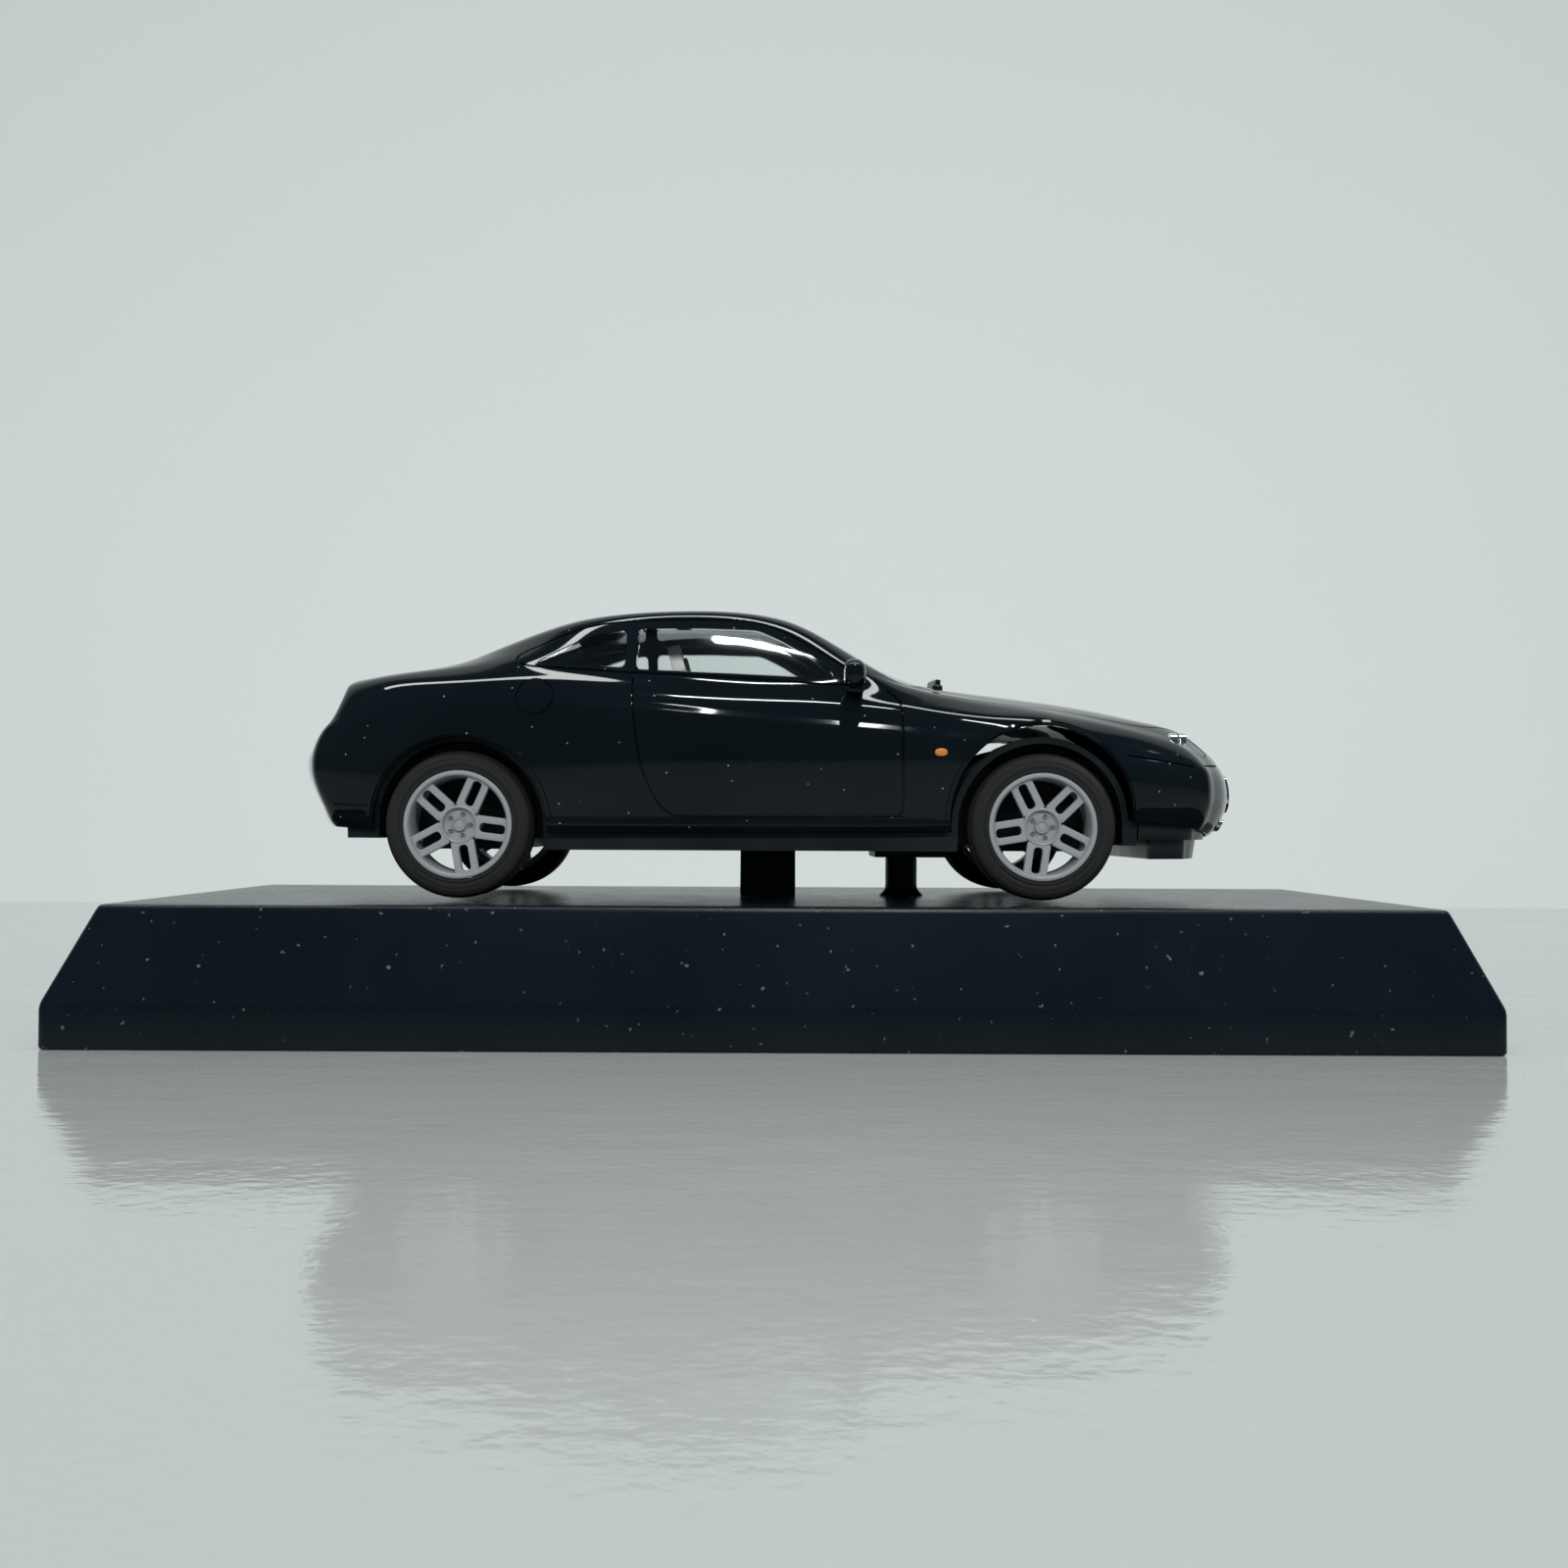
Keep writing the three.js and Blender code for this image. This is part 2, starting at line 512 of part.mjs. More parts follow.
/** Adds a named mesh to a group. */
function addPiece(group, name, solid, material) {
  const mesh = new THREE.Mesh(toGeometry(solid), material);
  mesh.name = name;
  group.add(mesh);
  return mesh;
}

/** A screw, point up: its head from z0, its thread up to z1. */
function screwSolid(x, z0, z1) {
  const slot = box(
    [x - SCREW_HEAD_RADIUS * 0.7, -0.15, z0 - FIT],
    [x + SCREW_HEAD_RADIUS * 0.7, 0.15, z0 + SCREW_HEAD_HEIGHT * 0.4],
  );
  return join(
    pin(x, 0, z0, z0 + SCREW_HEAD_HEIGHT, SCREW_HEAD_RADIUS),
    pin(x, 0, z0 + SCREW_HEAD_HEIGHT / 2, z1, SCREW_RADIUS, 16),
  ).subtract(slot);
}

/** The room that a screw needs: its head's, from below z0, and its thread's. */
function screwRoom(x, z0, z1) {
  return join(
    pin(x, 0, z0 - FAR, z0 + SCREW_HEAD_HEIGHT + FIT, SCREW_HEAD_RADIUS + FIT * 3),
    pin(x, 0, z0, z1 + FIT * 2, SCREW_RADIUS + FIT, 16),
  );
}

// Plinth: hollow, with a boss under each post.
const PLINTH_SCREW_SEAT = 2.2; // height of the display screws' heads over the surface it stands on
const REAR_SCREW_X = REAR_POST_X + CAR_SHIFT;
const FRONT_SCREW_X = FRONT_POST_X + CAR_SHIFT;
const REAR_SCREW_TOP = CAR_Z + CHASSIS_BOTTOM + SCREW_BITE;
const FRONT_SCREW_TOP = CAR_Z + KEEL_BOTTOM + SCREW_BITE;
const DISPLAY_SCREWS = [
  { name: "rear_display_screw", x: REAR_SCREW_X, top: REAR_SCREW_TOP },
  { name: "front_display_screw", x: FRONT_SCREW_X, top: FRONT_SCREW_TOP },
];

function plinthSolid() {
  const topLength = PLINTH_LENGTH - 2 * PLINTH_SLOPE;
  const topWidth = PLINTH_WIDTH - 2 * PLINTH_SLOPE;
  const wall = 2 * PLINTH_WALL;
  const outside = stackRings([
    roundedRing(PLINTH_LENGTH, PLINTH_WIDTH, PLINTH_CORNER, 0),
    roundedRing(PLINTH_LENGTH, PLINTH_WIDTH, PLINTH_CORNER, PLINTH_BAND),
    roundedRing(topLength, topWidth, PLINTH_CORNER, PLINTH_HEIGHT),
  ]);
  const inside = stackRings([
    roundedRing(PLINTH_LENGTH - wall, PLINTH_WIDTH - wall, PLINTH_CORNER, -1),
    roundedRing(PLINTH_LENGTH - wall, PLINTH_WIDTH - wall, PLINTH_CORNER, PLINTH_BAND),
    roundedRing(topLength - wall, topWidth - wall, PLINTH_CORNER, PLINTH_HEIGHT - PLINTH_WALL),
  ]);
  const bossRadius = SCREW_HEAD_RADIUS + SCREW_WALL;
  let whole = outside.subtract(inside);
  for (const { x } of DISPLAY_SCREWS) {
    whole = whole.add(pin(x, 0, PLINTH_WALL / 2, PLINTH_HEIGHT - PLINTH_WALL / 2, bossRadius));
  }
  for (const { x } of DISPLAY_SCREWS) whole = whole.subtract(screwRoom(x, PLINTH_SCREW_SEAT, FAR));
  return whole;
}
addPiece(object, "plinth", plinthSolid(), PLINTH_PLASTIC);

// Posts.
const postBase = PLINTH_HEIGHT + FIT;
function rearPostSolid() {
  const half = REAR_POST_WIDTH / 2;
  const shaft = box(
    [REAR_SCREW_X - half, -half, postBase],
    [REAR_SCREW_X + half, half, CAR_Z + CHASSIS_BOTTOM - FIT],
  );
  return shaft.subtract(pin(REAR_SCREW_X, 0, 0, FAR, SCREW_RADIUS + FIT, 16));
}
function frontPostSolid() {
  const shaft = pin(FRONT_SCREW_X, 0, postBase, CAR_Z + KEEL_BOTTOM - FIT, FRONT_POST_RADIUS, 24);
  const foot = pin(FRONT_SCREW_X, 0, postBase, postBase + 0.45, FRONT_POST_FOOT, 24, FRONT_POST_RADIUS);
  return join(shaft, foot).subtract(pin(FRONT_SCREW_X, 0, 0, FAR, SCREW_RADIUS + FIT, 16));
}
addPiece(object, "rear_post", rearPostSolid(), PLINTH_PLASTIC);
addPiece(object, "front_post", frontPostSolid(), PLINTH_PLASTIC);
for (const { name, x, top } of DISPLAY_SCREWS) {
  addPiece(object, name, screwSolid(x, PLINTH_SCREW_SEAT, top), STEEL);
}

// Body shell.
const cavity = bodyForm(BODY_WALL, 0);
const contents = bodyForm(BODY_WALL + INNER_GAP, 0); // room for what goes inside the shell
const AXLES = [
  { end: "rear", x: REAR_AXLE_X, archRadius: TYRE_RADIUS + ARCH_GAP, archZ: TYRE_RADIUS, spoke: 65 },
  { end: "front", x: FRONT_AXLE_X, archRadius: TYRE_RADIUS + ARCH_GAP + 0.3, archZ: TYRE_RADIUS + 0.6,
    spoke: 45 },
];
const SIDES = [
  { side: 1, hand: "left" },
  { side: -1, hand: "right" },
];
const CHASSIS_TOP = CHASSIS_BOTTOM + CHASSIS_THICKNESS;
const WELL_REACH = FRONT_AXLE_X + WELL_RADIUS + WELL_WALL; // the wells' far edges, from the middle
const CHASSIS_ENDS = { rear: [-WELL_REACH - 2, 4.05], front: [WELL_REACH + 0.6, 3.75] }; // [x, underside]
const CHASSIS_END_TOP = CHASSIS_ENDS.rear[1] + SCREW_HEAD_HEIGHT + TUB_WALL;
const BODY_SCREW_TOP = CHASSIS_END_TOP + 2 * SCREW_BITE;
const BODY_SCREWS = [
  { name: "rear_body_screw", x: REAR_AXLE_X - BEAM_HALF_LENGTH - 1.8, seat: CHASSIS_ENDS.rear[1] },
  { name: "front_body_screw", x: FRONT_AXLE_X + BEAM_HALF_LENGTH + 1.8, seat: CHASSIS_ENDS.front[1] },
];

const PIPE = {
  x0: -BODY_LENGTH * 0.462, x1: CHASSIS_ENDS.rear[0] - FIT, y: acrossBody(7)[0], z: upBody(4.95)[0],
  radius: 0.5, bore: 0.36,
};
const barX = (x0, x1, y, z, radius) => {
  const geometry = new THREE.CylinderGeometry(radius, radius, x1 - x0, 20);
  return toSolid(geometry.rotateZ(Math.PI / 2).translate((x0 + x1) / 2, y, z));
};

function bodyShellSolid() {
  let shell = bodyForm(0).subtract(cavity);
  for (const { x, archRadius, archZ } of AXLES) {
    for (const { side } of SIDES) {
      const [near, far] = [WELL_INNER_Y * side, FAR * side];
      shell = shell.subtract(barY(x, archZ, Math.min(near, far), Math.max(near, far), archRadius));
      const gap = box(
        [x - archRadius, Math.min(near, far), 0],
        [x + archRadius, Math.max(near, far), archZ],
      );
      shell = shell.subtract(gap);
    }
  }
  for (const { x } of BODY_SCREWS) {
    const boss = pin(x, 0, CHASSIS_END_TOP + FIT, FAR, SCREW_RADIUS + SCREW_WALL);
    const inside = boss.intersect(bodyForm(BODY_WALL / 2, 0));
    shell = shell.add(inside).subtract(pin(x, 0, 0, BODY_SCREW_TOP + FIT * 2, SCREW_RADIUS + FIT, 16));
  }
  shell = shell.subtract(windscreenCut).subtract(rearScreenCut).subtract(sideGlassCut);
  for (const { side } of SIDES) shell = shell.subtract(headlampCut(side, FIT));
  shell = shell.subtract(frontCut(GRILLE, FIT)).subtract(frontCut(LOWER_GRILLE, FIT));
  const pipeRoom = PIPE.radius + FIT * 4;
  shell = shell.subtract(barX(-FAR, PIPE.x1, PIPE.y, PIPE.z, pipeRoom));
  shell = shell.subtract(box([-FAR, PIPE.y - pipeRoom, 0], [PIPE.x1, PIPE.y + pipeRoom, PIPE.z]));
  return shell.subtract(rearCut(TAIL_STRIP, FIT));
}
addPiece(car, "body_shell", cleaned(bodyShellSolid()), BLACK_PAINT);

// Chassis plate: a flat floor, a lower keel in front, cross beams for the axles, four wheel wells.
const LINER_INNER_Y = WELL_INNER_Y - WELL_WALL;
const FLOOR_X = WHEELBASE / 2 - WELL_RADIUS; // the flat floor ends at the wells
const KEEL = { x0: FRONT_POST_X - 2.2, x1: FRONT_POST_X + 3.1, halfWidth: 4.5 };

/** The low and high Y of everything outboard of |y| on each side. */
const outboard = (y) => SIDES.map(({ side }) => (side > 0 ? [y, FAR] : [-FAR, -y]));

function chassisSolid() {
  const { rear, front } = CHASSIS_ENDS;
  let plate = join(
    box([-FLOOR_X, -FAR, CHASSIS_BOTTOM], [FLOOR_X, FAR, CHASSIS_TOP]),
    box([rear[0], -FAR, rear[1]], [-FLOOR_X, FAR, CHASSIS_END_TOP]),
    box([FLOOR_X, -FAR, front[1]], [front[0], FAR, CHASSIS_END_TOP]),
    box([KEEL.x0, -KEEL.halfWidth, KEEL_BOTTOM], [KEEL.x1, KEEL.halfWidth, CHASSIS_TOP]),
  );
  for (const { x } of DISPLAY_SCREWS) {
    const bossX = x - CAR_SHIFT;
    plate = plate.add(pin(bossX, 0, CHASSIS_BOTTOM, TUB_FLOOR - FIT * 2, SCREW_RADIUS + SCREW_WALL));
  }
  for (const { x } of AXLES) {
    const beamTop = TYRE_RADIUS + AXLE_RADIUS + WELL_WALL * 3;
    plate = plate.add(box(
      [x - BEAM_HALF_LENGTH, -WELL_INNER_Y, CHASSIS_BOTTOM],
      [x + BEAM_HALF_LENGTH, WELL_INNER_Y, beamTop],
    ));
    for (const [low, high] of outboard(LINER_INNER_Y)) {
      const liner = barY(x, TYRE_RADIUS, low, high, WELL_RADIUS + WELL_WALL, 40);
      plate = plate.add(liner.trimByPlane([0, 0, 1], rear[1]));
    }
  }
  plate = plate.intersect(contents);
  for (const { x } of AXLES) {
    for (const [low, high] of outboard(WELL_INNER_Y)) {
      plate = plate.subtract(barY(x, TYRE_RADIUS, low, high, WELL_RADIUS, 40));
      plate = plate.subtract(box([x - WELL_RADIUS, low, 0], [x + WELL_RADIUS, high, TYRE_RADIUS]));
    }
    plate = plate.subtract(barY(x, TYRE_RADIUS, -FAR, FAR, AXLE_RADIUS + RUNNING_FIT, 24));
  }
  for (const { x, seat } of BODY_SCREWS) plate = plate.subtract(screwRoom(x, seat, FAR));
  for (const { x, top } of DISPLAY_SCREWS) {
    const bossX = x - CAR_SHIFT;
    plate = plate.subtract(pin(bossX, 0, 0, top - CAR_Z + FIT * 2, SCREW_RADIUS + FIT, 16));
  }
  return plate;
}
addPiece(car, "chassis_plate", cleaned(chassisSolid()), CHASSIS_PLASTIC);
for (const { name, x, seat } of BODY_SCREWS) {
  addPiece(car, name, screwSolid(x, seat, BODY_SCREW_TOP), STEEL);
}

// Chin spoiler: an insert inside the bumper's lower edge, with a deeper lip set back from it.
const INSERT_X = CHASSIS_ENDS.front[0] + FIT * 2;
const [LIP_BOTTOM, INSERT_BOTTOM, INSERT_TOP] = upBody(2.8, 4.15, 5.6);
const CHIN = { x0: INSERT_X + 1, lipInset: 0.6, insertDepth: 1.4, lipDepth: 1.3 };
function chinSolid() {
  const insert = box([INSERT_X, -FAR, INSERT_BOTTOM], [FAR, FAR, INSERT_TOP]);
  const lip = box([CHIN.x0, -FAR, LIP_BOTTOM], [FAR, FAR, INSERT_BOTTOM + WELL_WALL]);
  const inset = BODY_WALL + INNER_GAP;
  const set = inset + CHIN.lipInset;
  const whole = join(
    insert.intersect(contents).subtract(bodyForm(inset + CHIN.insertDepth, 0)),
    lip.intersect(bodyForm(set, 0)).subtract(bodyForm(set + CHIN.lipDepth, 0)),
  );
  return whole.subtract(frontCut(LOWER_GRILLE, FIT * 2));
}
addPiece(car, "chin_spoiler", cleaned(chinSolid()), CHASSIS_PLASTIC);

// Glazing: one clear moulding behind every window.
const [GLAZING_REAR, GLAZING_FRONT] = alongBody(-24.2, 13.4);
const [GLAZING_FOOT] = upBody(15.05);
function glazingSolid() {
  const room = box([GLAZING_REAR, -FAR, GLAZING_FOOT], [GLAZING_FRONT, FAR, FAR]);
  return bodyBand(room, BODY_WALL + INNER_GAP, BODY_WALL + INNER_GAP + GLASS_THICKNESS);
}
addPiece(car, "glazing", cleaned(glazingSolid()), CLEAR);

// Cabin: a tub between the wheel wells, with a rear shelf; the other pieces stand in it.
const CABIN_FLOOR = TUB_FLOOR + TUB_WALL + FIT;
const [SHELF_X, TUB_FRONT] = alongBody(-22.4, 10.4);
const [SHELF_Z, GLASS_FOOT] = upBody(14.1, 15.6);
const TUB = {
  x0: -FLOOR_X + WELL_WALL + FIT * 4, x1: TUB_FRONT, top: GLASS_FOOT - BODY_WALL, shelfX: SHELF_X,
  shelfZ: SHELF_Z,
};
function tubSolid() {
  const outside = join(
    box([TUB.x0, -FAR, TUB_FLOOR], [TUB.x1, FAR, TUB.top]),
    box([TUB.shelfX, -FAR, TUB.shelfZ], [TUB.x0 + TUB_WALL, FAR, TUB.top]),
  ).intersect(contents);
  const inside = box(
    [TUB.x0 + TUB_WALL, -FAR, TUB_FLOOR + TUB_WALL],
    [TUB.x1 - TUB_WALL, FAR, FAR],
  ).intersect(bodyForm(BODY_WALL + INNER_GAP + TUB_WALL, 0));
  const above = box(
    [TUB.x0 + TUB_WALL, -SEAT_SPACING, CABIN_FLOOR],
    [TUB.x1 - TUB_WALL, SEAT_SPACING, FAR],
  );
  return outside.subtract(inside).subtract(above);
}
addPiece(car, "interior_tub", cleaned(tubSolid()), CABIN_DARK);

const DASH_REACH = 3.4; // how far it stands out from the tub's front wall
const DASH_TOP = TUB.top - 0.2;
const DASH = {
  x0: TUB.x1 - DASH_REACH, x1: TUB.x1 - TUB_WALL - FIT, foot: DASH_TOP - 4.1, top: DASH_TOP, slope: 1.6,
};
const CABIN_HALF_WIDTH = BODY_WIDTH / 2 - 3.3;
function dashboardSolid() {
  const outline = [[DASH.x0 + DASH.slope, DASH.foot], [DASH.x1, DASH.foot], [DASH.x1, DASH.top],
    [DASH.x0 + DASH.slope, DASH.top], [DASH.x0, DASH.top - 1], [DASH.x0 + 0.3, DASH.top - 2]];
  const pod = new RoundedBoxGeometry(1.8, 4, 1.2, 1, 0.4);
  pod.translate(DASH.x0 + 0.95, SEAT_SPACING / 2, DASH.top - 0.25);
  const room = bodyForm(BODY_WALL + TUB_WALL + INNER_GAP * 2, 0);
  return sideCut(outline, -FAR, FAR).intersect(room).add(toSolid(pod));
}
addPiece(car, "dashboard", cleaned(dashboardSolid()), CABIN_DARK);

const WHEEL_RAKE = THREE.MathUtils.degToRad(-66);
const COLUMN_LENGTH = 1.5;
const WHEEL_DROP = 1.75; // its middle, under the dashboard's top
function steeringWheelSolid() {
  const rim = new THREE.TorusGeometry(STEERING_WHEEL_RADIUS, 0.24, 5, 24);
  const hub = new THREE.CylinderGeometry(0.65, 0.8, 0.6, 16).rotateX(Math.PI / 2);
  const column = new THREE.CylinderGeometry(0.3, 0.3, COLUMN_LENGTH, 12).rotateX(Math.PI / 2);
  column.translate(0, 0, -COLUMN_LENGTH / 2);
  const spokes = [0, 2, 4].map((sixth) => {
    const spoke = new THREE.BoxGeometry(STEERING_WHEEL_RADIUS, 0.5, 0.24);
    return toSolid(spoke.translate(STEERING_WHEEL_RADIUS / 2, 0, 0).rotateZ((sixth * Math.PI) / 3));
  });
  return join(toSolid(rim), toSolid(hub), toSolid(column), ...spokes);
}
const steeringWheel = addPiece(car, "steering_wheel", steeringWheelSolid(), CABIN_DARK);
steeringWheel.rotation.y = WHEEL_RAKE;
steeringWheel.position.set(DASH.x0 - COLUMN_LENGTH, SEAT_SPACING / 2, DASH.top - WHEEL_DROP);

/** A rounded block of a seat, leaning back by `lean` about Y. */
function pad(size, [x, y, z], lean = 0) {
  const geometry = new RoundedBoxGeometry(...size, 1, Math.min(...size) * 0.35);
  return toSolid(geometry.rotateY(-lean).translate(x, y, z));
}
function frontSeatSolid() {
  const lean = 0.3;
  return join(
    pad([5.6, SEAT_WIDTH, 2.6], [0, 0, CABIN_FLOOR + 1.35]),
    pad([1.5, SEAT_WIDTH, 7.2], [-3.6, 0, CABIN_FLOOR + 5.6], lean),
    pad([1.1, SEAT_WIDTH * 0.55, 2.4], [-5, 0, CABIN_FLOOR + 9.7], lean),
  );
}
for (const { side, hand } of SIDES) {
  const seat = addPiece(car, "front_seat_" + hand, frontSeatSolid(), CABIN_LIGHT);
  seat.position.set(DASH.x0 - SEAT_REACH, (side * SEAT_SPACING) / 2, 0);
}
function rearBenchSolid() {
  const back = TUB.x0 + TUB_WALL + FIT;
  const halfWidth = CABIN_HALF_WIDTH - 1;
  return join(
    pad([4.4, 2 * halfWidth, 3.2], [back + 2.2, 0, CABIN_FLOOR + 1.65]),
    pad([1.5, 2 * halfWidth, 6.4], [back + 1.15, 0, CABIN_FLOOR + 4.9]),
  );
}
addPiece(car, "rear_bench", rearBenchSolid(), CABIN_LIGHT);

// Lamps and grilles.
const LENS_DEPTH = 0.06;
for (const { side, hand } of SIDES) {
  const room = headlampCut(side, 0);
  const under = LENS_DEPTH + LENS_THICKNESS;
  addPiece(car, "headlamp_lens_" + hand, cleaned(bodyBand(room, LENS_DEPTH, under)), CLEAR);
  const reflector = bodyBand(room, under + FIT * 2, under + 1.1);
  addPiece(car, "headlamp_reflector_" + hand, cleaned(reflector), PLATED);
}
const BAR_PITCH = 0.7;
const BAR_HEIGHT = 0.28;

/** Level bars inside a frontal outline, with a frame round them. */
function grilleSolid(outline, frame, outer, inner) {
  const opening = {
    ...outline,
    halfWidth: outline.halfWidth - frame,
    z0: outline.z0 + frame,
    z1: outline.z1 - frame,
    radius: Math.max(outline.radius - frame, frame / 2),
  };
  let bars = frontCut(outline, 0).subtract(frontCut(opening, 0));
  for (let z = opening.z0 + BAR_PITCH / 2; z < opening.z1; z += BAR_PITCH) {
    const bar = atBodySize(box([NOSE_X, -FAR, z], [FAR, FAR, z + BAR_HEIGHT]));
    bars = bars.add(bar.intersect(frontCut(opening, FIT)));
  }
  return bodyBand(bars, outer, inner);
}
addPiece(car, "front_grille", cleaned(grilleSolid(GRILLE, 0.35, -0.3, 0.7)), PLATED);
addPiece(car, "lower_grille", cleaned(grilleSolid(LOWER_GRILLE, 0.2, -0.1, 0.7)), PLATED);
addPiece(car, "tail_lamp_strip", cleaned(bodyBand(rearCut(TAIL_STRIP, 0), 0, 0.6)), RED_LENS);

for (const { side, hand } of SIDES) {
  const [x, y, z] = REPEATER.centre;
  const lens = new THREE.SphereGeometry(1, 14, 8);
  lens.scale(...REPEATER.halves).translate(x, side * y, z);
  const proud = atBodySize(toSolid(lens)).subtract(bodyForm(-FIT));
  addPiece(car, "side_repeater_" + hand, cleaned(proud), AMBER);
}

// Mirrors, wipers, tail pipe.
const MIRROR = {
  centre: [6.9, 14.1, 15.25], halves: [0.78, 1.5, 1.05], foot: [6.5, 7.3, 14.1, 14.9], footInner: 10.9,
};
for (const { side, hand } of SIDES) {
  const head = new THREE.SphereGeometry(1, 14, 9);
  head.scale(...MIRROR.halves).translate(MIRROR.centre[0], side * MIRROR.centre[1], MIRROR.centre[2]);
  const [x0, x1, z0, z1] = MIRROR.foot;
  const [inner, outer] = [MIRROR.footInner, MIRROR.centre[1]];
  const foot = box(
    [x0, Math.min(side * inner, side * outer), z0],
    [x1, Math.max(side * inner, side * outer), z1],
  );
  const mirror = atBodySize(join(toSolid(head), foot)).subtract(bodyForm(-FIT));
  addPiece(car, "door_mirror_" + hand, cleaned(mirror), BLACK_PAINT);
}

const WIPER_HEIGHT = 0.5; // how far the wipers stand over the screen
const WIPERS = [
  { hand: "left", pivot: [13.3, 2.2], tip: [11.3, 8.6] },
  { hand: "right", pivot: [13.3, -5.6], tip: [12.6, 1.2] },
];
for (const { hand, pivot, tip } of WIPERS) {
  const along = new THREE.Vector2(tip[0] - pivot[0], tip[1] - pivot[1]);
  const arm = new THREE.BoxGeometry(along.length(), 0.42, FAR);
  arm.rotateZ(along.angle()).translate((pivot[0] + tip[0]) / 2, (pivot[1] + tip[1]) / 2, FAR / 2 + 10);
  const proud = bodyBand(atBodySize(toSolid(arm)), -WIPER_HEIGHT, -FIT);
  addPiece(car, "wiper_" + hand, cleaned(proud), CHASSIS_PLASTIC);
}

addPiece(
  car,
  "tail_pipe",
  barX(PIPE.x0, PIPE.x1, PIPE.y, PIPE.z, PIPE.radius).subtract(
    barX(PIPE.x0 - 1, PIPE.x1 - 1, PIPE.y, PIPE.z, PIPE.bore),
  ),
  PLATED,
);

// Wheelsets: the rims are pressed on a common axle.
const RIM_SIDES = 28;
const SPOKE_PAIRS = 5;
const SPOKE_PAIR_WIDTH = 1.62;
const SLOT_WIDTH = 0.62;
const WINDOW_RADIUS = RIM_RADIUS - RIM_WALL;
const FACE_THICKNESS = 0.55;
const FACE_DEPTH = 0.35; // the spokes' front, back from the rim's edge
const HUB_LENGTH = 2.3;
const AXLE_SEAT = 1.6; // how deep the axle goes into the hub

/** The flat pattern of the spokes, round the wheel's centre, the first pair along +X. */
function spokeShape() {
  const outline = new THREE.Path();
  outline.absarc(0, 0, WINDOW_RADIUS + RIM_WALL / 2, 0, 2 * Math.PI);
  const shape = new THREE.Shape(outline.getSpacedPoints(RIM_SIDES).slice(0, -1));
  const step = (2 * Math.PI) / SPOKE_PAIRS;
  const half = SPOKE_PAIR_WIDTH / 2;
  const rim = WINDOW_RADIUS - 0.02;
  for (let i = 0; i < SPOKE_PAIRS; i++) {
    const start = i * step;
    const reach = Math.asin(half / rim);
    const window = new THREE.Path();
    window.absarc(0, 0, rim, start + reach, start + step - reach);
    const middle = start + step / 2;
    const inner = HUB_RADIUS + 0.35;
    for (const turn of [0.32, -0.32]) {
      window.lineTo(inner * Math.cos(middle + turn), inner * Math.sin(middle + turn));
    }
    window.closePath();
    shape.holes.push(window);
    const slot = new THREE.Path();
    const radius = SLOT_WIDTH / 2;
    const ends = [HUB_RADIUS + 0.25 + radius, rim - 0.1 - radius];
    const at = (r) => [r * Math.cos(start), r * Math.sin(start)];
    slot.absarc(...at(ends[1]), radius, start - Math.PI / 2, start + Math.PI / 2);
    slot.absarc(...at(ends[0]), radius, start + Math.PI / 2, start + (3 * Math.PI) / 2);
    shape.holes.push(slot);
  }
  return shape;
}

/** A ring turned round Z from [radius, z] points. */
function turned(profile, sides) {
  const points = [...profile, profile[0]].map(([r, z]) => new THREE.Vector2(r, z));
  return toSolid(new THREE.LatheGeometry(points, sides).rotateX(Math.PI / 2));
}

/** A rim with its outer face towards +Z, its middle plane at zero. */
function rimSolid() {
  const edge = TYRE_WIDTH / 2;
  const face = edge - FACE_DEPTH;
  const spokes = new THREE.ExtrudeGeometry(spokeShape(), {
    depth: FACE_THICKNESS,
    bevelEnabled: false,
    curveSegments: 3,
  }).translate(0, 0, face - FACE_THICKNESS);
  const barrel = turned(
    [[RIM_RADIUS, -edge], [RIM_RADIUS, edge], [WINDOW_RADIUS, edge], [WINDOW_RADIUS, -edge]],
    RIM_SIDES,
  );
  const hub = toSolid(
    new THREE.CylinderGeometry(HUB_RADIUS, HUB_RADIUS, HUB_LENGTH, 20)
      .rotateX(Math.PI / 2)
      .translate(0, 0, face - FIT - HUB_LENGTH / 2),
  );
  const cap = toSolid(
    new THREE.CylinderGeometry(0.34, 0.4, 0.3, 16).rotateX(Math.PI / 2).translate(0, 0, face + 0.05),
  );
  const boreLength = AXLE_SEAT + FAR;
  const boreTop = face - FIT - HUB_LENGTH + AXLE_SEAT;
  const bore = toSolid(
    new THREE.CylinderGeometry(AXLE_RADIUS + FIT, AXLE_RADIUS + FIT, boreLength, 20)
      .rotateX(Math.PI / 2)
      .translate(0, 0, boreTop - boreLength / 2),
  );
  return join(toSolid(spokes), barrel, hub, cap).subtract(bore);
}

function tyreSolid() {
  const half = TYRE_WIDTH / 2;
  const bead = RIM_RADIUS + FIT;
  const side = bead + (TYRE_RADIUS - bead) * 0.41;
  const shoulder = bead + (TYRE_RADIUS - bead) * 0.84;
  const tread = half - 0.65;
  return turned(
    [[bead, -half], [side, -half - 0.05], [shoulder, -half + 0.2], [TYRE_RADIUS, -tread],
      [TYRE_RADIUS, tread], [shoulder, half - 0.2], [side, half + 0.05], [bead, half]],
    RIM_SIDES,
  );
}

